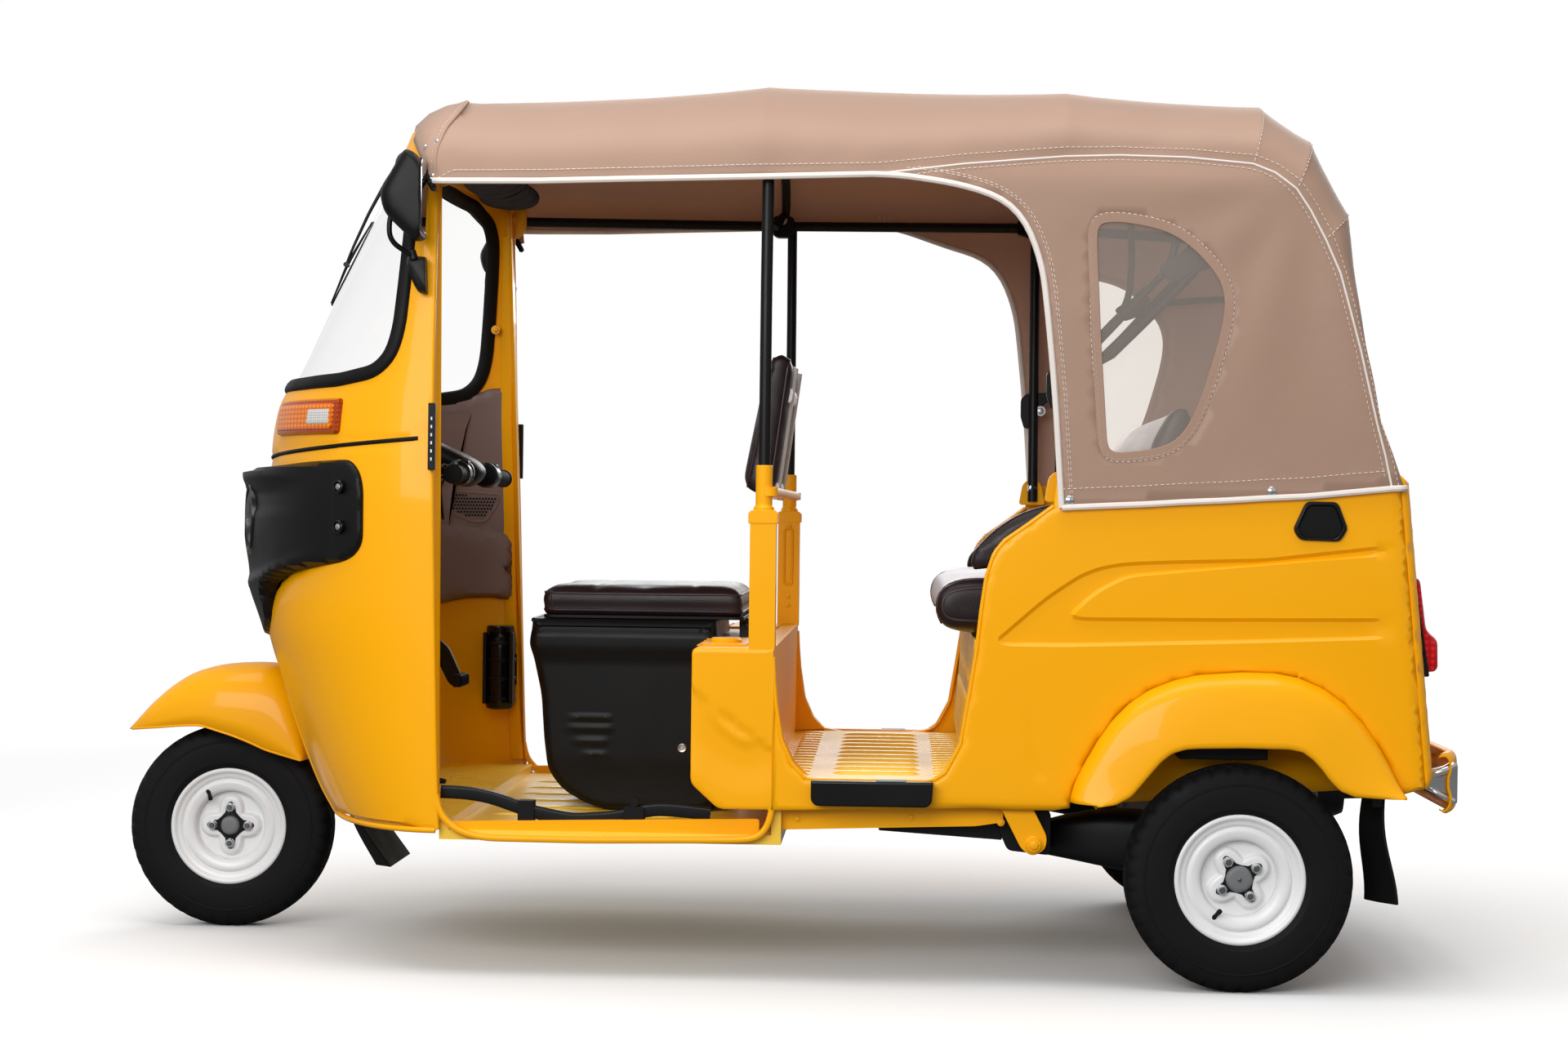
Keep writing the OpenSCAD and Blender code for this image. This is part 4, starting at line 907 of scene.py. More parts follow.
def wiper():
    """Wiper hung from the windscreen's header."""
    y = 150
    arm, blade = Form(), Form()

    def on_glass(z, out):
        turn = math.degrees(math.asin(y / (HALF_W + np.interp(z, *SIDE))))
        return cowl(turn, z, 0) + out * cowl_out(turn, z)
    arm.turn([(-16, 13), (4, 13), (9, 11), (14, 7), (15, 4)], on_glass(1572, 2), cowl_out(15, 1572), 24)
    path = smooth([on_glass(1572, 12), on_glass(1520, 20), on_glass(1450, 20), on_glass(1380, 17),
                   on_glass(1352, 14)], 8, passes=3)
    arm.tube(path, np.linspace(4.4, 2.6, len(path)), 10)
    arm.turn([(-9, 5), (9, 5)], on_glass(1350, 13), (0, 1, 0), 16)
    rail = smooth([on_glass(z, o) for z, o in ((1440, 6), (1400, 9), (1350, 12), (1310, 8), (1275, 6))], 8)
    blade.tube(rail, np.concatenate([np.linspace(1.5, 3.2, len(rail) // 2),
                                     np.linspace(3.2, 1.5, len(rail) - len(rail) // 2)]), 8)
    edge = [on_glass(z, 3) for z in np.linspace(1442, 1272, 24)]
    blade.tube(edge, 2.0, 6)
    arm.make("wiper_arm", BLACK_STEEL, replaces=["wiper"], slot="black_plastic")
    blade.make("wiper_blade", EPDM, slot="rubber_trim")


# ---- Inside the cab --------------------------------------------------------------------

def cab_lining():
    """Brown lining of the cab with its speakers, shelf and instrument."""
    top = [(608, 1144), (661, 1140), (698, 1126), (736, 1112), (782, 1104), (850, 1100), (960, 1098),
           (985, 1098)]
    low = [(985, 655), (900, 655), (777, 655), (712, 668), (656, 670), (606, 662)]
    half = [(ROUND * angle_at(x, z), z) for x, z in top] + [(0.0, 1098)]
    lower = [(0.0, 655)] + [(ROUND * angle_at(x, z), z) for x, z in low]
    right = half[::-1][1:] + lower[::-1][:-1]
    outline = np.array(right + [(-u, z) for u, z in right[::-1]])
    outline = resample(outline, 14, True)

    def shelf(angle):
        return np.interp(np.abs(angle), [30, 60, 88], [845, 836, 800])

    def raised(angle, z, flat):
        lower_part = 13 * step(shelf(angle) - z, -6, 10)
        groove = 3 * (1 - step(np.abs(shelf(angle) + 12 - z), 0, 5))
        rim = 10 * (1 - step(distance(flat, outline), 0, 12))
        return -(18 + lower_part - groove) + rim

    sheet = cowl_sheet(outline, 14, raised)
    sheet.make("cab_lining", TRIM, thick=4, replaces=["dashboard"], slot="trim_plastic")

    holes, frame_line = Form(), Form()
    grille = [(754, 908), (641, 901), (641, 884), (672, 839), (707, 839), (761, 864)]
    flat = np.array([(ROUND * angle_at(x, z), z) for x, z in grille])
    for side_of in (-1, 1):
        loop = resample(rounded(flat, 10), 8, True)
        path = cowl(side_of * loop[:, 0] / ROUND, loop[:, 1], -21.5)
        frame_line.tube(path, 3, 6, closed=True)
        for row, z in enumerate(np.arange(846, 902, 7.5)):
            for u in np.arange(flat[:, 0].min(), flat[:, 0].max(), 9.0):
                spot = np.array([[u + (4.5 if row % 2 else 0), z]])
                if inside(spot, flat)[0] and distance(spot, flat)[0] > 7:
                    turn = side_of * spot[0, 0] / ROUND
                    holes.turn([(0, 2.5), (1.4, 2.5)], cowl(turn, z, -22.6), -cowl_out(turn, z), 8)
    # black discs in the speaker holes: painted shade
    holes.make("speaker_holes", SHADE)
    frame_line.make("speaker_frames", TRIM, slot="trim_plastic")

    # shelf across the cab with a round instrument
    shelf_form = Form()
    rings = []
    for y in np.linspace(-520, 520, 41):
        section = []
        for x, z in ((926, 812), (910, 822), (904, 850), (902, 960), (896, 1030), (898, 1058), (910, 1072),
                     (940, 1080), (1000, 1082), (1000, 1062), (925, 1050), (924, 900), (928, 830)):
            half = HALF_W + np.interp(z, *SIDE) - 26
            rear, tip = CAB + np.interp(z, *REAR), CAB + np.interp(z, *REACH) - 26
            reach = rear + (tip - rear) * math.sqrt(max(0, 1 - (y / half) ** 2))
            section.append((min(x, reach), y, z))
        rings.append(section)
    shelf_form.loft(rings)
    shelf_form.make("dashboard_shelf", TRIM, bevel=2, slot="trim_plastic")
    pod, face, needle = Form(), Form(), Form()
    aim = unit((-0.86, 0, 0.5))
    at = np.array((868, 0, 1072.0))
    pod.turn([(-40, 70), (8, 66), (14, 62), (14, 56), (4, 54), (2, 0.1)], at, aim, 48, caps=False)
    face.turn([(5, 50), (6, 48), (6, 0.1)], at, aim, 40, caps=False)
    side_dir = np.array((0.0, 1.0, 0.0))
    up_dir = np.cross(aim, side_dir)
    for k in range(19):
        t = math.radians(225 - 15 * k)
        direction = math.cos(t) * side_dir + math.sin(t) * up_dir
        needle.tube([at + 6.6 * aim + 40 * direction, at + 6.6 * aim + 47 * direction], 0.8, 4)
    needle.tube([at + 7 * aim, at + 7 * aim + 34 * (0.6 * side_dir - 0.8 * up_dir)], 1.0, 6)
    pod.make("instrument_pod", ABS, slot="black_plastic")
    face.make("instrument_face", ABS_GLOSS, slot="black_plastic")
    needle.make("instrument_marks", PLATE)


def foot_controls():
    """Brake pedal and the canister in its cage."""
    arm = Form()
    arm.prism(rounded([(701, 600), (672, 575), (648, 523), (646, 497), (660, 492), (672, 501), (692, 540),
                       (716, 590)], 8), -108, -94)
    arm.tube([(690, -101, 575), (712, -101, 470), (700, -101, 300), (676, -101, 290)], 8, 12)
    arm.turn([(-6, 15), (6, 15)], (654, -101, 508), (0, 1, 0), 24)
    arm.make("brake_pedal_arm", BLACK_STEEL, bevel=2.5, replaces=["brake_pedal"], slot="black_steel")
    pad = Form()
    pad.span((640, -150, 494), (656, -60, 520))
    for k in range(6):
        pad.tube([(638.5, -146 + 16 * k, 497), (638.5, -146 + 16 * k, 517)], 3, 8)
    pad.make("brake_pedal_pad", EPDM, bevel=3, slot="rubber_trim")

    canister, straps = Form(), Form()
    centre = (CAB + 47, -(HALF_W - 64), 416)
    canister.turn([(0, 22), (3, 29), (12, 33), (20, 34), (140, 34), (152, 33), (160, 28), (168, 25),
                   (172, 25),
                   (174, 31), (186, 31), (189, 28), (190, 0.1)], centre, (0, 0, 1), 40)
    for z in (26, 70, 112, 150):
        straps.turn([(z - 4, 34), (z - 4, 36.5), (z + 4, 36.5), (z + 4, 34)], centre, (0, 0, 1), 40,
                    caps=False)
    for side_x in (-30, 30):
        straps.span((centre[0] + side_x - 4, centre[1] - 2, 430),
                    (centre[0] + side_x + 4, centre[1] + 36, 590))
    straps.span((centre[0] - 34, centre[1] - 36, 470), (centre[0] + 34, centre[1] - 26, 540))
    canister.make("bottle_body", ABS_GLOSS, replaces=["bottle"], slot="black_plastic")
    straps.make("bottle_cage", BLACK_STEEL, bevel=1.0, slot="black_steel")


front_body()
lamp_mask()
turn_lamps()
mirrors()
wiper()
cab_lining()
foot_controls()


# ---- Hood --------------------------------------------------------------------------------

# crown on the centre line and side seam, station by station from the front; bows at the marked ones
CROWN = [(560, 1681), (400, 1689), (228, 1698), (110, 1706), (-7.5, 1716), (-150, 1715), (-300, 1711),
         (-440, 1707),
         (-585.5, 1704), (-700, 1697), (-830, 1688), (-955.5, 1676), (-1002, 1642), (-1048.5, 1604),
         (-1084, 1530),
         (-1117.5, 1452), (-1124, 1345), (-1140, 1199), (-1168, 1055), (-1192, 990), (-1206, 926)]
SEAM = [(560, 1474), (400, 1475), (228, 1480), (110, 1483), (-7.5, 1486), (-110, 1489), (-214, 1492),
        (-382, 1513),
        (-568, 1529), (-668, 1532), (-790, 1529), (-912, 1517), (-952, 1500), (-990, 1470), (-1016, 1430),
        (-1043, 1378), (-1070, 1316), (-1108, 1175), (-1139, 1041), (-1154, 985), (-1167, 924)]
BOWS = (4, 8, 11, 13, 15)
ROUNDING = [2.35] * 11 + [2.4, 2.5, 2.6, 2.8, 3.0, 3.3, 3.8, 4.4, 4.8, 5.0]
WALL_Y = [(880, 606), (926, 606), (960, 605), (1250, 602), (1475, 591), (1492, 588), (1520, 577), (1580, 545)]
# front edge over the cowl, by distance from the centre line: the rim, then the cap up to its seam
CAP_Y = [0, 200, 300, 400, 480, 540, 572, 588]
CAP = [
    [(745, 1630), (708, 1604), (690, 1589), (672, 1576), (655, 1560), (638, 1536), (618, 1500), (596, 1460)],
    [(737, 1650), (702, 1630), (682, 1612), (664, 1596), (651, 1578), (636, 1550), (619, 1512), (599, 1464)],
    [(705, 1664), (676, 1653), (658, 1640), (640, 1622), (630, 1600), (624, 1566), (617, 1522), (602, 1468)],
    [(655, 1671), (640, 1664), (624, 1656), (606, 1640), (602, 1614), (606, 1576), (612, 1528), (604, 1472)],
    [(604, 1677), (600, 1671), (590, 1664), (574, 1648), (572, 1622), (590, 1580), (604, 1530), (600, 1474)]]


def wall_y(z):
    """How far out the hood's side wall lies at a height."""
    return np.interp(z, [w[0] for w in WALL_Y], [w[1] for w in WALL_Y])


def arc_of(count):
    """Even parameters over half a section, closer together at the seam."""
    t = np.linspace(0, 1, count)
    return 90 * (1 - (1 - t) ** 1.25)


HALF_STEPS = 27


def band_ring(crown, seam, power):
    """Half a section of the roof band, from the crown to the side seam."""
    angle = np.radians(arc_of(HALF_STEPS))
    power = 2 / power
    across = np.sin(angle) ** power
    rise = np.cos(angle) ** power
    rise[-1] = 0.0
    side = wall_y(seam[1])
    return np.stack([seam[0] + (crown[0] - seam[0]) * rise, side * across,
                     seam[1] + (crown[1] - seam[1]) * rise], -1)


def band_rings():
    """Rings of half sections, from the front rim to the rear hem, with extra rings close beside each bow."""
    lead = []
    share = band_ring(CROWN[0], SEAM[0], 2.35)[:, 1]
    for row in CAP:
        lead.append(np.stack([np.interp(share, CAP_Y, [p[0] for p in row]), np.minimum(share, 589),
                              np.interp(share, CAP_Y, [p[1] for p in row])], -1))
    rings = lead
    for k in range(len(CROWN) - 1):
        gap = np.linalg.norm(np.subtract(CROWN[k + 1], CROWN[k]))
        parts = max(2, int(gap / 22))
        ts = np.linspace(0, 1, parts + 1)[:-1]
        if k in BOWS:
            ts = np.insert(ts, 1, 5 / gap)
        if k + 1 in BOWS:
            ts = np.append(ts, 1 - 5 / gap)
        for t in ts:
            crown = np.array(CROWN[k]) * (1 - t) + np.array(CROWN[k + 1]) * t
            seam = np.array(SEAM[k]) * (1 - t) + np.array(SEAM[k + 1]) * t
            rings.append(band_ring(crown, seam, ROUNDING[k] * (1 - t) + ROUNDING[k + 1] * t))
    rings.append(band_ring(CROWN[-1], SEAM[-1], ROUNDING[-1]))
    return np.array(rings)


def hood_band():
    """The roof band: taut over its bows, hollow between them, with soft drag lines off the bow ends."""
    rings = band_rings()
    spots = [np.array([CROWN[b][0], 0, CROWN[b][1]]) for b in BOWS]
    along = np.concatenate([[0], np.cumsum(np.linalg.norm(np.diff(rings[:, 0], axis=0), axis=1))])
    bow_at = [along[np.argmin(np.linalg.norm(rings[:, 0] - s, axis=1))] for s in spots]
    first, last = along[5], along[-1]
    ends = [first - 60] + bow_at + [last + 320]
    deep = [7, 8, 8, 6, 5, 9]
    across = np.linspace(0, 1, HALF_STEPS)
    out = np.zeros_like(rings)
    for r in range(len(rings)):
        ahead = rings[min(r + 1, len(rings) - 1)] - rings[max(r - 1, 0)]
        aside = np.gradient(rings[r], axis=0)
        normal = np.cross(aside, ahead)
        normal[0] = np.cross((0, 1, 0), ahead[0])
        out[r] = normal / np.maximum(np.linalg.norm(normal, axis=1, keepdims=True), 1e-9)
    sag = np.zeros((len(rings), HALF_STEPS))
    for k in range(len(ends) - 1):
        t = (along - ends[k]) / (ends[k + 1] - ends[k])
        inside_gap = (t > 0) & (t < 1)
        hollow = deep[k] * np.sin(np.pi * np.clip(t, 0, 1)) ** 0.8
        sag[inside_gap] = hollow[inside_gap, None] * (0.35 + 0.65 * np.sin(np.pi * np.clip(across * 1.05, 0,
                                                                                           1)))
    # drag lines: gentle folds that run down from the crown to the seam
    fold = 1.6 * np.sin(along[:, None] / 31 + 3.1 * across[None]) * np.sin(along[:, None] / 83 + 1.3)
    fold *= step(across, 0.3, 0.9)[None] * step(along, first - 60, first + 40)[:, None]
    edge = step(1 - across, 0.0, 0.1)[None] * step(along, 0, 60)[:, None] * step(last - along, 0, 60)[:, None]
    wanted = out[:, :, :] * (-(sag + fold) * edge)[:, :, None]
    wanted[:, 0, 1] = 0
    return rings + wanted


DOOR_HEM = smooth([(-214, 1492), (-262, 1491), (-307, 1485), (-360, 1477), (-412, 1464), (-450, 1450),
                   (-476, 1432),
                   (-495, 1408), (-509, 1380), (-521, 1345), (-530, 1314), (-541, 1218), (-549, 1140),
                   (-556, 1060),
                   (-562, 970), (-568, 882)], 22, passes=2)
LOW_HEM = [(-568, 882), (-640, 886), (-720, 890), (-791, 895), (-870, 899), (-940, 904), (-1014, 908),
           (-1090, 916), (-1167, 924)]
WINDOW = smooth([(-622, 1410), (-656, 1417), (-705, 1411), (-742, 1403), (-778, 1389), (-815, 1360),
                 (-841, 1332),
                 (-862, 1302), (-870, 1272), (-870, 1246), (-862, 1200), (-850, 1156), (-833, 1098),
                 (-815, 1050),
                 (-797, 1018), (-778, 998), (-750, 986), (-716, 979), (-656, 974), (-642, 982), (-640, 1010),
                 (-627, 1200), (-618, 1380)], 14, closed=True, passes=2)
REAR_WINDOW = [300, 1130, 1300]


def side_wall_points(flat):
    """Wall points at their width, with low folds fanning out from the seam's bend."""
    x, z = flat[:, 0], flat[:, 1]
    y = wall_y(z)
    # low, wide folds that fan out from the seam's bend towards the lower front corner
    reach = np.hypot(x + 1010, z - 1500)
    fan = np.degrees(np.arctan2(1500 - z, x + 1010))
    folds = 2.2 * np.sin(fan / 5.2) * step(reach, 60, 220) * (1 - step(reach, 300, 620))
    calm = step(distance(flat, WINDOW), 0, 50)
    return np.stack([x, y + folds * calm, z], -1)


def raise_right_hem(piece):
    """The cloth over the right doorway is pulled up to just under the rail."""
    for vertex in piece.data.vertices:
        x, y, z = (c / MM for c in vertex.co)
        if y < 0 and x > -420 and z < 1610:
            vertex.co.z += 27 * MM * float((1 - step(z, 1505, 1610)) * step(x, -400, -200) * step(z, 1380,
                                                                                                  1460))


def hood():
    """The hood: band and side walls in one cloth, with its windows, piping, thread and snaps."""
    rings = hood_band()
    count = len(rings)
    cloth = Form()
    points, faces, index = [], [], {}
    for side in (1, -1):
        for r in range(count):
            for k in range(HALF_STEPS):
                if side < 0 and k == 0:
                    index[side, r, 0] = index[1, r, 0]
                    continue
                index[side, r, k] = len(points)
                points.append((rings[r, k, 0], side * rings[r, k, 1], rings[r, k, 2]))
    for side in (1, -1):
        for r in range(count - 1):
            for k in range(HALF_STEPS - 1):
                centre = (rings[r, k] + rings[r + 1, k + 1]) / 2
                if centre[0] < -1100 and abs(centre[1]) < REAR_WINDOW[0] and \
                        REAR_WINDOW[1] < centre[2] < REAR_WINDOW[2]:
                    continue
                quad = [index[side, r, k], index[side, r + 1, k], index[side, r + 1, k + 1],
                        index[side, r, k + 1]]
                faces.append(quad if side > 0 else quad[::-1])
    cloth.take(points, faces)
    # side walls share the band's seam points
    start = int(np.argmin(np.abs(rings[:, -1, 0] + 214) + 10 * (rings[:, -1, 2] < 1400)))
    seam = rings[start:, -1]
    hem = [(seam[0, 0], seam[0, 2])] + [tuple(p) for p in DOOR_HEM[1:]]
    low = [tuple(p) for p in resample(LOW_HEM, 22)][1:-1]
    outline = hem + low + [(p[0], p[2]) for p in seam[:0:-1]]
    # a row of points beside the seam keeps the triangles there from growing too thin
    seam_flat = np.stack([seam[:, 0], seam[:, 2]], -1)
    ahead = np.gradient(seam_flat, axis=0)
    beside = np.stack([-ahead[:, 1], ahead[:, 0]], -1)
    beside = seam_flat + 12 * beside / np.linalg.norm(beside, axis=1, keepdims=True)
    beside = beside[inside(beside, np.array(outline)) & (distance(beside, np.array(outline)) > 8)]
    flat, wall_faces = fill(np.array(outline), 22, holes=[WINDOW], lines=[beside])
    wall = side_wall_points(flat)
    on_seam = {(round(p[0], 2), round(p[2], 2)): p for p in seam}
    matched = np.zeros(len(flat), bool)
    for i, (x, z) in enumerate(flat):
        match = on_seam.get((round(x, 2), round(z, 2)))
        if match is not None:
            wall[i] = match
            matched[i] = True
    wall_faces = wall_faces[~matched[wall_faces].all(1)]
    for side in (1, -1):
        cloth.take([(x, side * y, z) for x, y, z in wall],
                   [f if side < 0 else f[::-1] for f in wall_faces])
    sheet = cloth.make("hood_cloth", CANVAS, thick=2.5, weld=0.6, sharp=60, replaces=["hood"],
                       slot="hood_canvas")

    panes = Form()
    flat, pane_faces = fill(WINDOW, 30)
    pane = side_wall_points(flat)
    for side in (1, -1):
        panes.take([(x, side * (y - 1.2), z) for x, y, z in pane],
                   [f if side < 0 else f[::-1] for f in pane_faces])
    rear = [(r, k) for r in range(count - 1) for k in range(HALF_STEPS - 1)
            if (rings[r, k] + rings[r + 1, k + 1])[0] / 2 < -1100
            and (rings[r, k] + rings[r + 1, k + 1])[1] / 2 < REAR_WINDOW[0]
            and REAR_WINDOW[1] < (rings[r, k] + rings[r + 1, k + 1])[2] / 2 < REAR_WINDOW[2]]
    for side in (1, -1):
        panes.take([(p[0] + 1.2, side * p[1], p[2]) for p in rings.reshape(-1, 3)],
                   [[r * HALF_STEPS + k, (r + 1) * HALF_STEPS + k, (r + 1) * HALF_STEPS + k + 1,
                     r * HALF_STEPS + k + 1] for r, k in rear])
    window_panes = panes.make("hood_window_panes", PVC_SHEET, replaces=["hood_windows"], slot="clear_sheet")

    # seam lines in space
    def wall_line(line, off):
        placed = side_wall_points(np.asarray(line, float))
        placed[:, 1] += off
        return placed
    front_edge = rings[0][::-1]
    band_low = rings[:start + 1, -1]
    door = wall_line(DOOR_HEM, 0)
    bottom = wall_line(resample(LOW_HEM, 20), 1)
    rear_hem = rings[-1][::-1]
    piping, fine_piping, thread = Form(), Form(), Form()
    for side in (1, -1):
        def mirror(path):
            return np.asarray(path) * (1, side, 1)
        edge_line = np.vstack([band_low[4:-1], door])
        piping.tube(mirror(edge_line), 5.8, 8)
        piping.tube(mirror(np.vstack([bottom, rear_hem[1:]])), 5.8, 8)
        piping.tube(mirror(front_edge), 3.4, 8)
        fine_piping.tube(mirror(seam + (0, 0.5, 0)), 2.1, 6)

        def stitches(path, length=6.0, gap=4.5, thick=0.75):
            fine = resample(mirror(path), length + gap)
            for a, b in zip(fine[:-1], fine[1:]):
                d = unit(b - a)
                thread.tube([a, a + d * length], thick, 4, caps=False)

        def inset_line(line, amount):
            """A wall line moved within the wall."""
            line = np.asarray(line, float)
            ahead = np.gradient(line, axis=0)
            across_line = np.stack([-ahead[:, 1], ahead[:, 0]], -1)
            across_line /= np.linalg.norm(across_line, axis=1, keepdims=True)
            return line + amount * across_line
        stitches(wall_line(inset_line(DOOR_HEM, -17), 1.0))
        stitches(wall_line(inset_line(DOOR_HEM, -21), 1.0))
        low_line = resample([(x, z + 34) for x, z in LOW_HEM[:-1]] + [(-1158, 956)], 20)
        stitches(wall_line(low_line, 1.2))
        stitches(wall_line(smooth(inset_line(seam_flat, 9), 20, passes=1)[2:-1], 1.0))
        for grow in (9, 21):
            ring = resample(WINDOW, 12, True)
            middle_point = ring.mean(0)
            away = ring - middle_point
            ring = ring + away / np.linalg.norm(away, axis=1, keepdims=True) * (grow * 0.45)
            stitches(wall_line(np.vstack([ring, ring[:1]]), 1.0))
        stitches(rings[5:, -3] + (0, 0.9, 0.4))
        stitches(rings[4:start, -3] + (0, 1.0, 0.5))
        for b in (11, 13, 15):
            r = int(np.argmin(np.linalg.norm(rings[:, 0] - (CROWN[b][0], 0, CROWN[b][1]), axis=1)))
            stitches(rings[r, 12:] + (-1.5, 0.6, 0.6), thick=0.8)
        stitches(rings[4] + (1.5, 0.4, 0.8))
    corner_strips = Form()
    for side in (1, -1):
        corner_strips.tube(rings[0][-9:] * (1, side, 1) + (2, side * 1.5, 0), 6.5, 8)
    corner_strips.make("hood_corner_strips", EPDM, slot="rubber_trim")
    band_piping = piping.make("hood_hem_piping", PIPING, slot="hood_canvas")
    seam_piping = fine_piping.make("hood_seam_piping", PIPING, slot="hood_canvas")
    stitching = thread.make("hood_stitching", THREAD, slot="hood_canvas")

    # doubled welts: round the windows and along the front seam
    welts = Form()
    frame_section = [(-9, 0), (-8, 1.6), (8, 1.6), (9, 0)]
    loop = resample(WINDOW, 12, True)
    for side in (1, -1):
        placed = side_wall_points(loop) * (1, side, 1)
        welts.strip(placed, follow(placed, [(0, side, 0)] * len(placed), True), frame_section, closed=True)
        welts.strip(rings[4][:-1] * (1, side, 1), follow(rings[4][:-1] * (1, side, 1),
                    [(0.3, side * p[1] / 500, 1) for p in rings[4][:-1]]),
                    [(-9, -1), (-8, 1.5), (8, 1.5), (9, -1)])
    window_welts = welts.make("hood_window_welts", CANVAS, slot="hood_canvas")
    snaps = Form()
    for x, z in ((-582, 896), (-949, 917)):
        for side in (1, -1):
            snaps.turn([(0, 8), (2, 8), (3.6, 6), (4.2, 0.1)], (x, side * (wall_y(z) + 0.5), z), (0, side, 0),
                       20)
    for y in (-480, -160, 160, 480):
        r = rings[-3]
        x = np.interp(abs(y), r[:, 1], r[:, 0])
        snaps.turn([(0, 8), (2, 8), (3.6, 6), (4.2, 0.1)], (x - 0.5, y, r[0, 2]), (-1, 0, 0), 20)
    for r in (0, 2, 4):
        for k in (-5, -9):
            p = rings[r, k]
            for side in (1, -1):
                snaps.turn([(0, 4.5), (2, 4.2), (2.6, 2.5)], p * (1, side, 1), (0.4, side * 0.8, 0.45), 12)
    hood_snaps = snaps.make("hood_snaps", CHROME, slot="chrome")
    for piece in (sheet, band_piping, seam_piping, stitching):
        raise_right_hem(piece)
    return rings


HOOD_RINGS = hood()


# ---- Roof frame details -----------------------------------------------------------------

def roof_details():
    """Brackets and stays of the hood's frame, and the rolled curtain."""
    blocks, stays, bolts, ends = Form(), Form(), Form(), Form()
    for side in (1, -1):
        y = side * RAIL_Y
        blocks.prism(rounded([(26, 1532), (8, 1538), (-8, 1538), (-26, 1532), (-28, 1500), (-14, 1488),
                              (14, 1488),
                              (28, 1500)], 7), y - 17, y + 17)
        blocks.prism(rounded([(-528, 1534), (-600, 1530), (-604, 1500), (-584, 1490), (-556, 1492),
                              (-526, 1500)], 9),
                     y - 15, y + 15)
        bolts.bolt((-566, y - side * 15, 1514), (0, -side, 0), 15)
        bolts.bolt((0, y - side * 17, 1526), (0, -side, 0), 14)
        blocks.prism(rounded([(-540, 1130), (-552, 1142), (-618, 1146), (-616, 1132), (-592, 1118),
                              (-580, 1088),
                              (-566, 1064), (-548, 1064), (-540, 1090)], 6), y - 10, y + 8)
        bolts.bolt((-584, y - side * 10, 1103), (0, -side, 0), 16)
        stays.tube([(-610, y, 1138), (-660, y - side * 8, 1166), (-760, y - side * 24, 1266),
                    (-925, y - side * 40, 1446)], 8, 12)
        stays.tube([(-606, y, 1158), (-740, y - side * 30, 1302), (-815, y - side * 40, 1378)], 7, 12)
        for path in ([(-758, y - side * 30, 1320), (-776, y - side * 34, 1352), (-782, y - side * 38, 1430),
                      (-776, y - side * 60, 1560)],
                     [(-800, y - side * 36, 1322), (-850, y - side * 38, 1345), (-930, y - side * 40, 1352),
                      (-1052, y - side * 30, 1358)]):
            stays.tube(smooth(path, 14, passes=4), 8, 10)
        blocks.prism(rounded([(-744, 1330), (-772, 1350), (-812, 1368), (-826, 1352), (-806, 1318),
                              (-766, 1304)], 8),
                     y - side * 44 - 5, y - side * 24 + 5)
        ends.prism(rounded([(-546, 938), (-538, 892), (-598, 892), (-588, 938), (-576, 950), (-560, 950)], 9),
                   y - side * 2 - 3, y - side * 2 + 22 * side if side > 0 else y - side * 2 + 3)
        bolts.bolt((-567, y - side * 12, 930), (0, -side, 0), 16)
    blocks.make("roof_joint_brackets", BLACK_STEEL, bevel=2, slot="black_steel")
    stays.make("hood_stays", BLACK_STEEL, slot="black_steel")
    bolts.make("roof_bolts", ZINC, bevel=0.5, slot="chrome")
    # the darker inner enamel on the ears is painted shade
    ends.make("roof_post_ears", SHADED_INNER_ENAMEL, bevel=1.5, slot="body_paint")

    # rolled side curtain strapped up under the front of the roof
    roll, straps = Form(), Form()
    rings = []
    for y in np.linspace(-470, 470, 60):
        swell = 1 + 0.05 * math.sin(y / 37) + 0.03 * math.sin(y / 13 + 1)
        taper = min(1.0, (480 - abs(y)) / 26) ** 0.5
        strap = 1 - 0.12 * math.exp(-((abs(y) - 220) / 9) ** 2)
        ring = []
        for k in range(24):
            t = 2 * math.pi * k / 24
            radius = swell * taper * strap * (1 + 0.05 * math.cos(3 * t + y / 90))
            ring.append((600 + 62 * radius * math.cos(t), y, 1562 + 30 * radius * math.sin(t)))
        rings.append(ring)
    roll.loft(rings)
    pouch = roll.make("rolled_curtain", BAG_CLOTH, smoothing=1, sharp=80)
    for y in (-220, 220):
        loop = [(600 + 58 * math.cos(t), y, 1562 + 28.5 * math.sin(t)) for t in np.linspace(0, 2 * math.pi,
                                                                                            33)[:-1]]
        straps.strip(loop, [(np.array((0.0, 1.0, 0.0)), unit(np.subtract(p, (600, y, 1562)))) for p in loop],
                     [(-9, 0), (-9, 1.6), (9, 1.6), (9, 0)], closed=True)
    straps.make("curtain_straps", BAG_CLOTH)


roof_details()


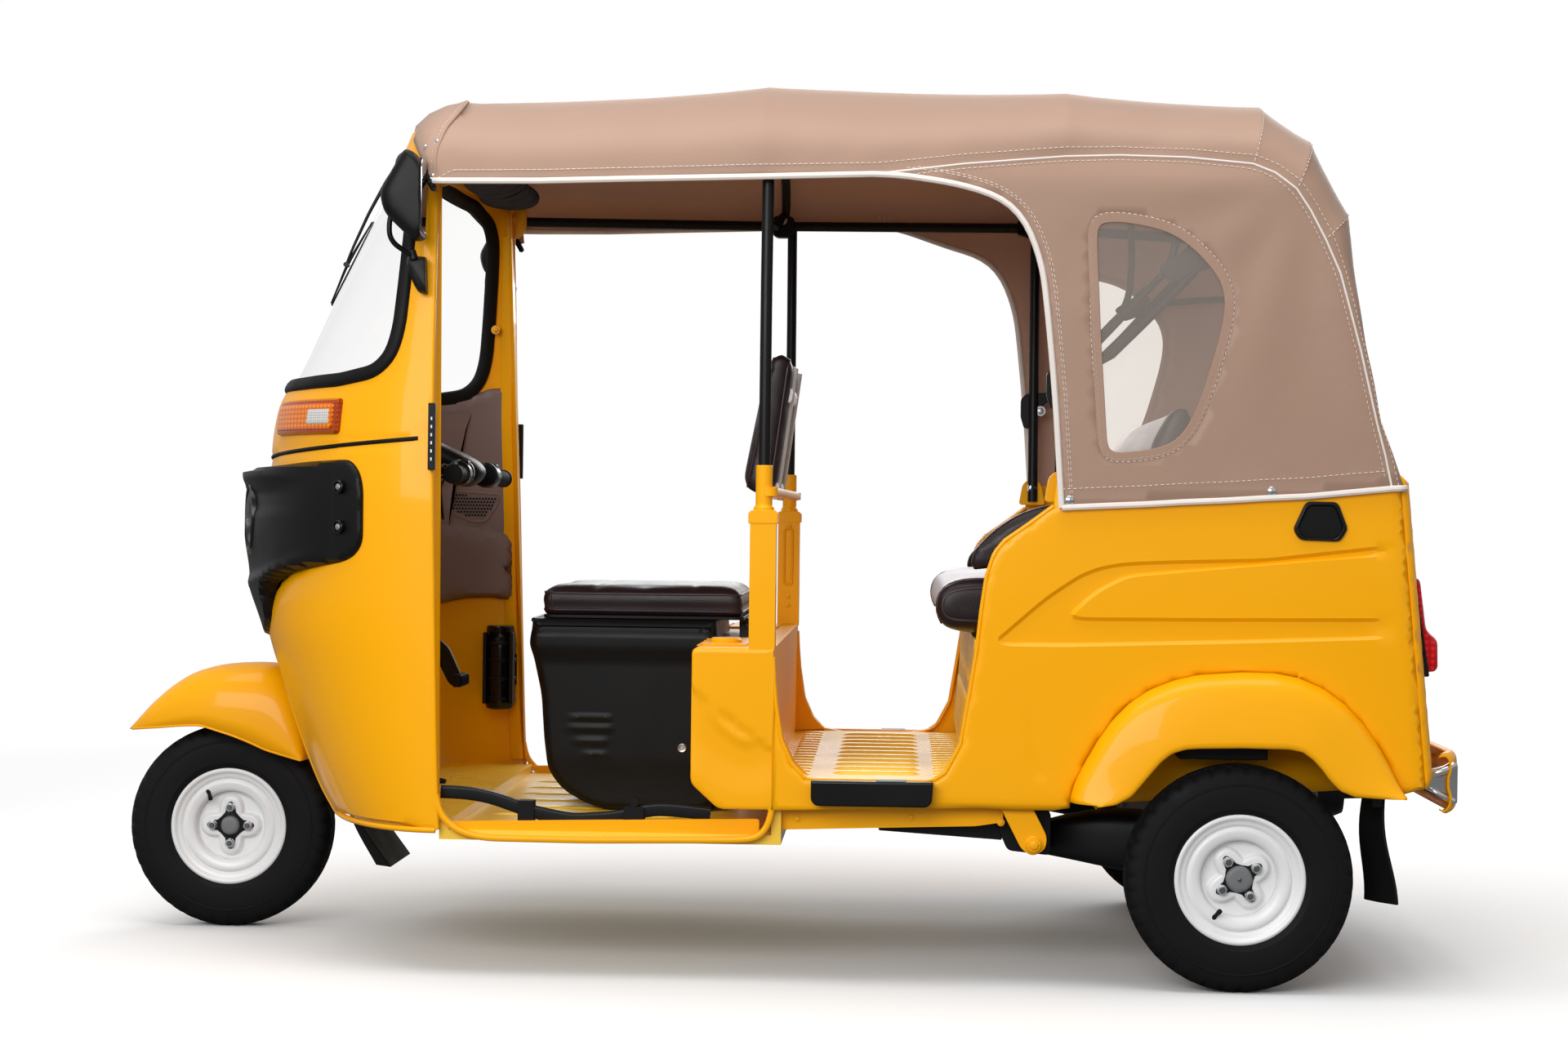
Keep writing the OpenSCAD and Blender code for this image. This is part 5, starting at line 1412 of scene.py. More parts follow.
def roof_tubes():
    """Rails, posts and hoops; each hoop lies just under the cloth's ridge."""
    tubes = Form()
    sides = [(CAB + 20, HALF_W - 96, RAIL_Z), (-7.5, RAIL_Y, RAIL_Z), (REAR_POST, RAIL_Y, RAIL_Z),
             (-630, RAIL_Y - 14, RAIL_Z - 6), (-955, RAIL_Y - 36, RAIL_Z - 26)]
    for side in (1, -1):
        tubes.tube([(x, side * y, z) for x, y, z in sides], 11, 16)
        tubes.tube([(MIDDLE_POST, side * (HALF_W - 24), 930), (MIDDLE_POST, side * (HALF_W - 24), 1300),
                    (MIDDLE_POST, side * RAIL_Y, RAIL_Z)], 11, 16)
        tubes.tube([(REAR_POST, side * (RAIL_Y - 8), 900), (REAR_POST, side * RAIL_Y, RAIL_Z)], 11, 16)
    for b in BOWS:
        row = int(np.argmin(np.linalg.norm(HOOD_RINGS[:, 0] - (CROWN[b][0], 0, CROWN[b][1]), axis=1)))
        ahead = HOOD_RINGS[row + 1] - HOOD_RINGS[row - 1]
        inward = -np.cross(np.gradient(HOOD_RINGS[row], axis=0), ahead)
        inward[0] = -np.cross((0, 1, 0), ahead[0])
        pulled = (HOOD_RINGS[row] + unit_rows(inward) * 27)[:-6]
        end = pulled[-1]
        foot = [(end[0] + 24, end[1] - 26, end[2] - 36)] if end[2] > 1400 else []
        line = np.vstack([foot or pulled[-1:], pulled[::-1]])
        line = np.vstack([line, (line[::-1] * (1, -1, 1))[1:]])
        tubes.tube(resample(line, 24), 10, 12)
    tubes.make("roof_tubes", BLACK_STEEL, replaces=["roof_frame"], slot="black_steel")


def unit_rows(vectors):
    return vectors / np.linalg.norm(vectors, axis=1, keepdims=True)


roof_tubes()


# ---- Rear body -------------------------------------------------------------------------------

TAIL_TOP, TAIL_LOW = TAIL + 116, TAIL + 62
CORNER = 42


def tail_skin(z):
    """Where the tail lies at a height."""
    return TAIL_TOP + (TAIL_LOW - TAIL_TOP) * (950 - np.asarray(z, float)) / 574


def body_side(s, z, out=0.0):
    """A point of the rear body: s runs back along the side, round the corner and on to the middle."""
    s, z, out = np.broadcast_arrays(np.asarray(s, float), np.asarray(z, float), np.asarray(out, float))
    turn_at = tail_skin(z) + CORNER
    past = turn_at - s
    angle = np.clip(past / CORNER, 0, math.pi / 2)
    beyond = np.maximum(past - CORNER * math.pi / 2, 0)
    x = np.where(past <= 0, s, turn_at - (CORNER + out) * np.sin(angle))
    y = HALF_W - CORNER + (CORNER + out) * np.cos(angle) - beyond
    y = np.where(past <= 0, HALF_W + out, y)
    return np.stack([x, y, z], -1)


POST_EDGE = [(-43, 618), (-45, 560), (-49, 515), (-59, 450), (-79, 405), (-104, 379)]
DOOR_BACK = [(-341, 379), (-362, 393), (-389, 445), (-403, 530), (-417, 621), (-424, 690), (-433, 755),
             (-447, 798),
             (-466, 821), (-510, 852), (-554, 885), (-560, 936)]
ARCH_IN = [(-639, 341), (-670, 346), (-697, 361), (-716, 384), (-734, 406), (-750, 425), (-770, 441),
           (-795, 449),
           (-821, 451), (-900, 453), (-983, 452), (-1008, 447), (-1027, 433), (-1043, 416), (-1057, 397),
           (-1076, 378), (-1101, 368), (-1145, 365), (-1193, 364)]
ARCH_OUT = [(-591, 344), (-600, 378), (-616, 411), (-640, 454), (-667, 493), (-698, 525), (-733, 549),
            (-776, 567),
            (-821, 578), (-902, 584), (-960, 583), (-1003, 575), (-1048, 556), (-1086, 529), (-1119, 494),
            (-1147, 455), (-1166, 421), (-1181, 388), (-1195, 362)]
RING_OUT = rounded([(-452, 640), (-458, 630), (-480, 627), (-571, 627), (-868, 637), (-1400, 659),
                    (-1400, 850),
                    (-1161, 821), (-940, 794), (-760, 788), (-688, 784), (-645, 777), (-605, 762),
                    (-540, 718)],
                   [14, 14, 10, 20, 20, 1, 1, 20, 20, 20, 30, 30, 40, 30], 5)
RING_IN = rounded([(-586, 690), (-590, 678), (-615, 675), (-867, 677), (-1400, 684), (-1400, 834),
                   (-1146, 807),
                   (-940, 788), (-718, 766), (-690, 762), (-668, 752), (-629, 730)],
                  [8, 10, 10, 20, 1, 1, 20, 20, 20, 12, 14, 20], 5)
DIMPLE = rounded([(-505, 520), (-530, 520), (-540, 440), (-560, 380), (-520, 372), (-508, 430)], 30, 5)


def side_relief(flat):
    """A shallow pressed channel round a raised island, fading out at the rear, and a shallow dimple."""
    in_ring = np.where(inside(flat, RING_OUT), distance(flat, RING_OUT), 0)
    in_island = np.where(inside(flat, RING_IN), distance(flat, RING_IN), 0)
    channel = -6.5 * np.clip(in_ring / 7, 0, 1) * (1 - np.clip(in_island / 7, 0, 1))
    channel = channel * (1 - step(-flat[:, 0], 1120, 1185))
    hollow = np.where(inside(flat, DIMPLE), distance(flat, DIMPLE), 0)
    return channel - 2.2 * step(hollow, 0, 20)


def inset_of(outline, amount):
    """A closed line moved inwards."""
    line = resample(outline, 10, True)
    ahead = np.roll(line, -1, 0) - np.roll(line, 1, 0)
    normal = np.stack([-ahead[:, 1], ahead[:, 0]], -1)
    normal /= np.linalg.norm(normal, axis=1, keepdims=True)
    for sign in (1, -1):
        moved = line + sign * amount * normal
        if inside(moved[5:6], outline)[0]:
            return moved
    return line


def ring_line(ring, amount):
    """A pressed ring's edge, or a line that runs inside it, ahead of where the ring fades out."""
    line = inset_of(ring, amount) if amount else resample(ring, 9, True)
    ahead = line[:, 0] > -1150
    first = int(np.argmax(ahead & ~np.roll(ahead, 1)))
    return resample(np.roll(line, -first, 0)[:int(ahead.sum())], 9)


def quarter_outline():
    """Side view of a quarter panel, round its doorway and wheel opening."""
    rear = [(float(tail_skin(z)) + 16, z) for z in np.linspace(948, 378, 30)]
    return np.array([(-43, 319)] + POST_EDGE + DOOR_BACK + rear + [(-1193, 366)] + ARCH_OUT[::-1][1:]
                    + [(-590, 332), (-560, 327), (-486, 327), (-426, 329)])


def quarter():
    """Quarter panels with their pressed rings, and the returns round the doorways."""
    outline = quarter_outline()
    folds = [ring_line(ring, amount) for ring in (RING_OUT, RING_IN) for amount in (0, 7)]
    flat, faces = fill(outline, 12, lines=folds)
    rim = distance(flat, outline)
    soft_edge = 3.0 * (1 - np.clip(rim / 4, 0, 1)) * (flat[:, 0] < -46)
    relief = side_relief(flat) - soft_edge
    sheet = Form()
    sheet.take(body_side(flat[:, 0], flat[:, 1], relief), [f[::-1] for f in faces])
    sheet.make("quarter_panel_skins", ENAMEL, thick=4, pair=True, replaces=["quarter_panels"],
               slot="body_paint",
               sharp=22)
    edge_back = Form()
    for side in (1, -1):
        path = [(x, side * (HALF_W - 10), z) for x, z in [(-43, 600)] + POST_EDGE[1:] +
                [(-150, 372), (-300, 372)] + DOOR_BACK[:-1]]
        edge_back.strip(resample(path, 14), follow(resample(path, 14),
                                                   [(0, side, 0)] * len(resample(path, 14))),
                        rounded([(-3, -9), (3, -9), (3, 9), (-3, 9)], 2.5, 2))
        path = [(x, side * (HALF_W - 4), z) for x, z in DOOR_BACK[:-1]]
        edge_back.tube(resample(path, 12), 4, 8)
        path = [(x, side * (HALF_W - 4), z) for x, z in [(-43, 600)] + POST_EDGE[1:]]
        edge_back.tube(resample(path, 12), 4, 8)
    edge_back.make("doorway_returns", ENAMEL, slot="body_paint")


def flares():
    """Flared wheel arches, the wheel houses and their liners."""
    outer = resample(ARCH_OUT, 11)
    count = len(outer)
    inner_line = np.asarray(ARCH_IN)
    length = np.concatenate([[0], np.cumsum(np.hypot(*np.diff(inner_line, axis=0).T))])
    at = np.linspace(0, length[-1], count)
    inner = np.stack([np.interp(at, length, inner_line[:, k]) for k in (0, 1)], 1)
    profile = [(0.0, -2), (0.012, 3), (0.03, 9), (0.06, 17), (0.10, 24), (0.15, 29.5), (0.20, 33),
               (0.26, 35.5),
               (0.4, 39.5), (0.6, 44), (0.8, 47.5), (0.93, 49.3), (0.975, 49.3), (1.0, 47), (1.004, 42),
               (1.0, 30)]
    rings = []
    for v, out in profile:
        line = outer * (1 - v) + inner * v
        rings.append([(x, HALF_W + out, z) for x, z in line])
    flare = Form()
    flare.loft(rings, closed=False)
    flare.make("wheel_flares", ENAMEL, thick=2.5, pair=True, replaces=["wheel_arches"], slot="body_paint",
               sharp=70)
    # a thin black line along each flare's outer border: a painted shadow where the flare steps off the panel
    seam = Form()
    for side in (1, -1):
        seam.tube([(x, side * (HALF_W + 0.3), z) for x, z in resample(ARCH_OUT, 10)], 1.6, 6)
    seam.make("wheel_flare_painted_shadow_lines", EPDM, slot="rubber_trim")
    # inner wheel house
    house = Form()
    line = smooth([(REAR_AXLE + 262, 330), (REAR_AXLE + 258, 430), (REAR_AXLE + 205, 478),
                   (REAR_AXLE - 205, 478),
                   (REAR_AXLE - 258, 440), (REAR_AXLE - 266, 368)], 18, passes=3)
    for side in (1, -1):
        rows = [[(x, side * y, z) for x, z in line] for y in (HALF_W - 105, HALF_W - 60, HALF_W - 6)]
        house.loft(rows if side < 0 else rows[::-1], closed=False)
        wall_line = [(x, side * (HALF_W - 105), z) for x, z in line]
        house.take(wall_line, [tuple(range(len(wall_line)))[::side]])
    # the darker inner enamel in the wheel houses is painted shade
    house.make("inner_wheel_houses", SHADED_INNER_ENAMEL, thick=3, slot="body_paint")
    liner = Form()
    for side in (1, -1):
        liner.span((REAR_AXLE - 52, side * (HALF_W - 57) - 42, 424),
                   (REAR_AXLE + 110, side * (HALF_W - 57) + 42, 474))
    liner.make("wheel_house_liners", EPDM, bevel=2, slot="rubber_trim")


def rear_wall():
    """Corner and tail in one skin, with the engine hatch opening."""
    turn = CORNER * math.pi / 2

    def flat_at(y, z):
        """Where a point at y on the tail lies in the skin's flat pattern."""
        return float(tail_skin(z)) + CORNER - turn - (HALF_W - CORNER - y)
    rows = np.linspace(948, 378, 40)
    front = [(float(tail_skin(z)) + 16, z) for z in rows]
    mid = [(flat_at(0, z), z) for z in rows[::-1]]
    hatch_side = rounded([(-380, 500), (380, 500), (380, 850), (-380, 850)], 26, 6)
    right = [(y, z) for y, z in resample(hatch_side, 16, True) if y > 1]
    order = sorted(range(len(right)), key=lambda i: math.atan2(right[i][1] - 675, right[i][0] + 0.01))
    right = [right[i] for i in order]
    opening = [(flat_at(0, 500), 500)] + [(flat_at(y, z), z) for y, z in right] + [(flat_at(0, 850), 850)]
    mid_low = [p for p in mid if p[1] < 498]
    mid_high = [p for p in mid if p[1] > 852]
    outline = np.array(front + mid_low + opening + mid_high)
    flat, faces = fill(outline, 20)
    s, z = flat[:, 0], flat[:, 1]
    across = tail_skin(z) + CORNER - s - turn
    bead_line = 4 * (1 - step(np.abs(z - 905), 3, 14)) * step(across, 20, 60)
    around = np.maximum(np.abs(z - 675) - 175, np.abs(HALF_W - CORNER - across) - 380)
    frame_rim = 5 * step(around, 2, 10) * (1 - step(around, 26, 40)) * (across > 0)
    points = body_side(s, z, 0)
    points[:, 0] -= np.where(across > 0, bead_line + frame_rim, 0)
    skin = Form()
    skin.take(points, [f[::-1] for f in faces])
    skin.make("rear_wall_skin", ENAMEL, thick=4, pair=True, weld=0.5, replaces=["rear_panel"],
              slot="body_paint",
              sharp=50)
    fittings, fixings, plate = Form(), Form(), Form()
    for y in (-250, 250):
        x = tail_skin(852) - 13
        for t in (-26, 16):
            fittings.prism(rounded([(x - 8, 843), (x + 8, 842), (x + 18, 858), (x + 14, 882), (x, 872)], 4),
                           y + t, y + t + 10)
        fixings.tube([(x, y - 34, 850), (x, y + 34, 850)], 4, 12)
    low = tail_skin(440)
    plate.loft([[(x - 1.0 * (z - 440) * 0.0941, y, z) for y, z in rounded(
        [(-170, 392), (170, 392), (170, 486), (-170, 486)], 8)] for x in (low - 9, low - 6)])
    fittings.make("hatch_hinges", BLACK_STEEL, bevel=1, slot="black_steel")
    for y in (-90, 90):
        fixings.turn([(0, 7), (2, 7), (3.5, 4)], (low - 9, y, 440), (-1, 0, 0), 16)
    fixings.make("hatch_pins_and_plate_screws", ZINC, slot="chrome")
    plate.make("blank_number_plate", PLATE, bevel=0.8)
    lamp = Form()
    lamp.prism(rounded([(low - 4, 492), (low - 34, 492), (low - 38, 506), (low - 20, 520), (low - 6, 520)],
                       5), -60, 60)
    lamp.make("plate_lamp", ABS, bevel=2, slot="black_plastic")


def hatch():
    """The engine hatch: pressed louvres, a dished rim and a turn handle."""
    half, low, high = 374, 506, 844
    outline = rounded([(-half, low), (half, low), (half, high), (-half, high)], 22, 6)
    slots = []
    for k in range(6):
        z = 560 + 32 * k
        for y in (-190, 190):
            slots.append((y, z))
    flat, faces = fill(resample(outline, 12, True), 12)
    y, z = flat[:, 0], flat[:, 1]
    rim = distance(flat, outline)
    lift = 4 * step(rim, 0, 7) + 3.5 * step(rim, 30, 44)
    for cy, cz in slots:
        width = 1 - step(np.abs(y - cy), 118, 134)
        rise = np.clip((z - cz + 11) / 22, 0, 1)
        lift = lift + 9 * width * np.where((z > cz - 11) & (z < cz + 11), np.sin(rise * math.pi) ** 1.4, 0)
    skin = Form()
    points = np.stack([tail_skin(z) + 3.5 - lift, y, z], -1)
    skin.take(points, faces)
    skin.make("hatch_skin", ENAMEL, body="hatch", thick=4, replaces=["rear_hatch"], slot="body_paint",
              sharp=50)
    handle, ears, mouths = Form(), Form(), Form()
    for cy, cz in slots:
        mouths.span((float(tail_skin(cz)) - 9.2, cy - 112, cz - 10.5),
                    (float(tail_skin(cz)) - 4, cy + 112, cz - 6))
    x = float(tail_skin(800))
    handle.turn([(0, 20), (6, 20), (9, 17)], (x - 4, 0, 800), (-1, 0, 0.09), 32)
    handle.span((x - 24, -6, 776), (x - 12, 6, 824))
    for cy in (-250, 250):
        x = float(tail_skin(852)) - 13
        ears.prism(rounded([(x - 7, 842), (x - 3, 858), (x + 7, 857), (x + 12, 790), (x + 6, 788)], 4),
                   cy - 12, cy + 12)
        ears.bolt((float(tail_skin(806)) - 2, cy, 806), (-1, 0, 0.09), 9)
    # black slips in the louvre mouths: painted shade
    mouths.make("hatch_louvre_mouths", SHADE, body="hatch")
    handle.make("hatch_handle", ABS, body="hatch", bevel=2, slot="black_plastic")
    ears.make("hatch_hinge_straps", BLACK_STEEL, body="hatch", bevel=1, slot="black_steel")


def tail_fittings():
    """Tail lamps, bumper, tow eye, mud flaps, side vents and step blocks."""
    lamps, bases = Form(), Form()
    for side in (1, -1):
        body = [(TAIL_TOP - 12, 766), (TAIL_TOP - 27, 758), (TAIL_TOP - 40, 664), (TAIL_TOP - 62, 647),
                (TAIL_TOP - 63, 596), (TAIL_TOP - 58, 589), (TAIL_TOP - 30, 586)]
        rings = []
        for y, grow in ((468, 0.75), (472, 0.92), (482, 1.0), (536, 1.0), (548, 0.94), (553, 0.78)):
            rings.append([(TAIL_TOP - 20 + (x - TAIL_TOP + 20) * grow, side * y,
                           676 + (z - 676) * (0.9 + 0.1 * grow))
                          for x, z in rounded(body, [6, 8, 12, 10, 6, 4, 4], 4)])
        lamps.loft(rings if side > 0 else [r[::-1] for r in rings])
        back = rounded([(TAIL_TOP + 4, 774), (TAIL_TOP - 13, 774), (TAIL_TOP - 44, 580),
                        (TAIL_TOP - 20, 580)], 4, 3)
        bases.loft([[(x, side * y, z) for x, z in (back if side > 0 else back[::-1])] for y in (462, 466, 556,
                                                                                                560)])
    lamps.make("tail_lamp_lenses", RED, bevel=1.5, replaces=["tail_lamps"], slot="lamp_red")
    bases.make("tail_lamp_bases", ABS, bevel=2, slot="black_plastic")

    bumper, brackets, eye = Form(), Form(), Form()
    section = smooth([(16, 432), (6, 437), (-2, 430), (-4, 404), (1, 396), (1, 366), (-4, 358), (-3, 336),
                      (6, 324),
                      (14, 330)], 5, passes=2)
    rings = []
    for y in np.linspace(-520, 520, 53):
        bend = 34 * step(abs(y), 440, 560)
        shrink = 1 - 0.35 * step(abs(y), 500, 560)
        rings.append([(TAIL + 4 + x + bend, y, 380 + (z - 380) * shrink) for x, z in section])
    bumper.loft(rings, closed=False)
    bumper.make("rear_bumper_blade", ENAMEL, thick=3, replaces=["rear_bumper"], slot="body_paint", sharp=60)
    for side in (1, -1):
        for y in (300, 505):
            brackets.prism(rounded([(TAIL + 8, 420), (TAIL + 66, 404), (TAIL + 72, 376), (TAIL + 52, 366),
                                    (TAIL + 8, 340)], 8), side * y - 4, side * y + 4)
        brackets.tube(smooth([(TAIL + 60, side * 505, 396), (TAIL + 34, side * 512, 402),
                              (TAIL + 14, side * 505, 414)],
                             6), 9, 14)
        brackets.tube(smooth([(TAIL + 66, side * 500, 372), (TAIL + 38, side * 512, 358),
                              (TAIL + 14, side * 505, 346)],
                             6), 7, 14)
    brackets.make("bumper_brackets", CHROME, bevel=2, slot="chrome")
    eye.turn([(-6, 16), (-6, 24), (0, 28), (6, 24), (6, 16), (0, 12)], (TAIL + 34, 0, 360), (0, 1, 0), 32,
             caps=False)
    eye.span((TAIL + 52, -5, 352), (TAIL + 84, 5, 372))
    eye.make("tow_eye", BLACK_STEEL, bevel=1, slot="black_steel")

    flaps, plates = Form(), Form()
    for side in (1, -1):
        rings = []
        for t in np.linspace(0, 1, 14):
            z = 362 - 200 * t
            x = -1152 + 6 * math.sin(t * 5) - 10 * t
            wide = 30 + 6 * t
            turned = 14 + 10 * t
            rings.append([(x + 2.5 + turned, side * (HALF_W - 58 - wide), z),
                          (x + 4.5 + 3 * t, side * (HALF_W - 58), z),
                          (x + 2.5 - turned, side * (HALF_W - 58 + wide), z),
                          (x - 2.5 - turned, side * (HALF_W - 58 + wide), z),
                          (x - 0.5 + 3 * t, side * (HALF_W - 58), z),
                          (x - 2.5 + turned, side * (HALF_W - 58 - wide), z)])
        flaps.loft(rings)
        plates.span((-1162, side * (HALF_W - 58) - 34, 340), (-1144, side * (HALF_W - 58) + 34, 366))
    rings = []
    for t in np.linspace(0, 1, 10):
        x, z = 846 - 62 * t + 4 * math.sin(4 * t), 270 - 128 * t
        rings.append([(x, -112, z), (x, 112, z), (x - 9 - 22 * t, 112, z - 4 * t),
                      (x - 9 - 22 * t, -112, z - 4 * t)])
    flaps.loft(rings)
    flaps.make("mud_flap_sheets", EPDM, bevel=2, replaces=["mudflaps"], slot="rubber_trim", sharp=50)
    plates.make("mud_flap_clamps", BLACK_STEEL, bevel=1.5, slot="black_steel")

    frames, grilles, slats = Form(), Form(), Form()
    edge = [(-1012, 899), (-1070, 899), (-1089, 850), (-1075, 826), (-1001, 828), (-989, 848)]
    outer_edge = rounded(edge, [10, 10, 8, 10, 10, 8], 5)
    core = np.mean(edge, axis=0)
    for side in (1, -1):
        rings = []
        for grow, y in ((1.0, 0), (1.0, 3), (0.97, 6), (0.88, 6.5), (0.83, 5), (0.80, 2), (0.78, -1)):
            rings.append([(core[0] + (x - core[0]) * grow, side * (HALF_W + y),
                           core[1] + (z - core[1]) * grow)
                          for x, z in outer_edge])
        frames.loft(rings if side > 0 else [r[::-1] for r in rings], caps=False)
        back = [(core[0] + (x - core[0]) * 0.8, side * (HALF_W + 0.6), core[1] + (z - core[1]) * 0.8)
                for x, z in outer_edge]
        grilles.take(back, [tuple(range(len(back)))[::side]])
        for k in range(5):
            x = core[0] - 26 + 13 * k
            slats.span((x - 0.8, side * (HALF_W + 1.4) - 0.8, 840),
                       (x + 0.8, side * (HALF_W + 1.4) + 0.8, 846))
    frames.make("side_vent_frames", ABS_GLOSS, replaces=["side_vents"], slot="black_plastic")
    grilles.make("side_vent_grilles", ABS, slot="black_plastic")
    slats.make("side_vent_slats", ABS_GLOSS, slot="black_plastic")

    steps, notches = Form(), Form()
    edge = rounded([(-116, 377), (-116, 341), (-124, 331), (-330, 331), (-338, 341), (-340, 377)],
                   [3, 8, 8, 8, 8, 3], 4)
    for side in (1, -1):
        rings = [[(x, side * (HALF_W + y), z) for x, z in edge] for y in (-6, 20, 27, 30)]
        rings[-1] = [(-228 + (x + 228) * 0.985, p1, 354 + (z - 354) * 0.9) for x, p1, z in rings[-1]]
        steps.loft(rings if side > 0 else [r[::-1] for r in rings])
        notches.span((-290, side * (HALF_W + 12) - 14, 372), (-236, side * (HALF_W + 12) + 14, 379.5))
    steps.make("step_block_mouldings", ABS_GLOSS, bevel=1.5, replaces=["step_blocks"], slot="black_plastic")
    notches.make("step_block_pads", CAP_GREY, bevel=1.5)


quarter()
flares()
rear_wall()
hatch()
tail_fittings()


# ---- Floors, side box and posts ----------------------------------------------------------------

def plate(form, outline, y0, y1, round_by=8, lift=None, spacing=16, square=None):
    """A side cover in the y0 plane: its face at y1, its rim rolled back to y0."""
    outline = resample(outline, min(spacing * 0.6, round_by * 1.6), True)
    flat, faces = fill(outline, spacing, lines=[closed_inset(outline, round_by * part) for part in (0.3,
                                                                                                    1.0)])
    rim = np.clip(distance(flat, outline) / round_by, 0, 1)
    if square is not None:
        rim = np.where(square(flat), 1, rim)
    side = 1 if y1 > y0 else -1
    rise = abs(y1 - y0) * np.sqrt(1 - (1 - rim) ** 2)
    if lift is not None:
        rise = rise + lift(flat)
    points = np.stack([flat[:, 0], y0 + side * rise, flat[:, 1]], -1)
    return form.take(points, [f[::-1] if side > 0 else f for f in faces])


def closed_inset(outline, amount):
    """A line that runs inside an outline at one distance, thinned where it would cross itself."""
    ahead = np.roll(outline, -1, 0) - np.roll(outline, 1, 0)
    normal = np.stack([-ahead[:, 1], ahead[:, 0]], -1)
    normal /= np.linalg.norm(normal, axis=1, keepdims=True)
    area = np.sum(outline[:, 0] * np.roll(outline[:, 1], -1) - np.roll(outline[:, 0], -1) * outline[:, 1])
    moved = outline + np.sign(area) * amount * normal
    moved = moved[distance(moved, outline) > amount * 0.95]
    return np.vstack([moved, moved[:1]])


def floors():
    """Pressings, rims and members of the floor, and the foot rail."""
    # the paler floor enamel on the floor and the wall under the bench is painted light; the darker inner
    # enamel in the wheel housing is painted shade
    repaint("floor_pan", LIT_FLOOR_ENAMEL)
    repaint("wheel_housing", SHADED_INNER_ENAMEL)
    repaint("seat_base", LIT_FLOOR_ENAMEL)
    ribs = Form()

    def rib(a, b, width, height, up=(0, 0, 1)):
        path = np.linspace(a, b, 14)
        t = np.linspace(0, 1, 14)
        size = np.sqrt(np.clip(1 - (2 * t - 1) ** 10, 0.02, 1))
        ahead = unit(np.subtract(b, a))
        side = unit(np.cross(ahead, up))
        rings = []
        for p, s in zip(path, size):
            rings.append([p + side * width / 2 * s * math.cos(math.pi * k / 6) +
                          np.array(up) * (height * s * math.sin(math.pi * k / 6) - 1) for k in range(7)])
        ribs.loft(rings, closed=False)
    deck = 376
    for k in range(-5, 6):
        rib((-150, 92 * k, deck), (-318, 92 * k, deck), 26, 7)
    for k in range(-8, 9):
        rib((-62, 62 * k, deck), (-110, 62 * k, deck), 20, 5)
    for k in range(-9, 10):
        rib((-340, 56 * k, deck), (-404, 56 * k, deck), 18, 5)
    # wall under the bench
    for k in range(-9, 10):
        y = 56 * k
        rib((-402, y, 398), (-412, y, 520), 26, 7, up=(1, 0, 0.08))
        rib((-413, y, 536), (-422, y, 628), 26, 7, up=(1, 0, 0.08))
    # driver's floor
    for k in range(-3, 4):
        rib((520, 130 * k + 40, 271), (150, 130 * k + 40, 271), 24, 5)
    # the paler floor enamel on the pressings is painted light
    ribs.make("floor_pressings", LIT_FLOOR_ENAMEL, slot="body_paint", sharp=60)

    rims, rails = Form(), Form()
    edge = smooth([(579, 332), (575, 308), (566, 290), (544, 270), (516, 259), (482, 254), (300, 253),
                   (25, 258),
                   (-14, 261), (-30, 272), (-42, 300), (-44, 322)], 10, passes=3)
    for side in (1, -1):
        path = np.array([(x, side * (HALF_W - 8), z + 4) for x, z in edge])
        out = [(0, side, 0)] * len(path)
        rims.strip(path, follow(path, out), rounded([(-6, -10), (6, -10), (6, 8), (-6, 8)], 5, 3))
        # inner face of the sill, and the long member behind it
        rails.prism(rounded([(-48, 320), (-48, 279), (-420, 292), (-470, 300), (-470, 330)], 6),
                    side * (HALF_W - 62), side * (HALF_W - 36))
        rails.prism(rounded([(-20, 300), (-20, 262), (520, 257), (556, 276), (556, 286)], 6),
                    side * (HALF_W - 34), side * (HALF_W - 24))
        for x, z in ((-466, 300), (-90, 300), (-300, 306)):
            rails.bolt((x, side * (HALF_W - 36), z), (0, side, 0), 10)
    rims.make("floor_rims", ENAMEL, slot="body_paint")
    rails.make("chassis_side_members", ENAMEL, bevel=2, slot="body_paint")

    # foot rail along the driver's near doorway
    rail, feet = Form(), Form()
    path = smooth([(x, HALF_W - 41, z) for x, z in (
        (575, 339), (530, 338), (483, 331), (407, 305), (330, 290), (250, 296), (178, 313), (140, 312),
        (72, 306))], 12, passes=3)
    rail.strip(path, follow(path, [(0, 1, 0)] * len(path)),
               rounded([(-12, -9), (12, -9), (12, 9), (-12, 9)], 5))
    feet.prism(rounded([(430, 326), (399, 326), (399, 281), (392, 271), (437, 271), (430, 281)], 3),
               HALF_W - 52, HALF_W - 28)
    feet.prism(rounded([(232, 318), (194, 318), (194, 280), (232, 280)], 4), HALF_W - 54, HALF_W - 26)
    feet.turn([(-14, 9), (14, 9)], (213, HALF_W - 40, 326), (0, 1, 0), 20)
    rail.make("floor_edge_rail", BLACK_STEEL, replaces=["floor_rail"], slot="black_steel")
    feet.make("floor_rail_feet", EPDM, bevel=2, slot="rubber_trim")


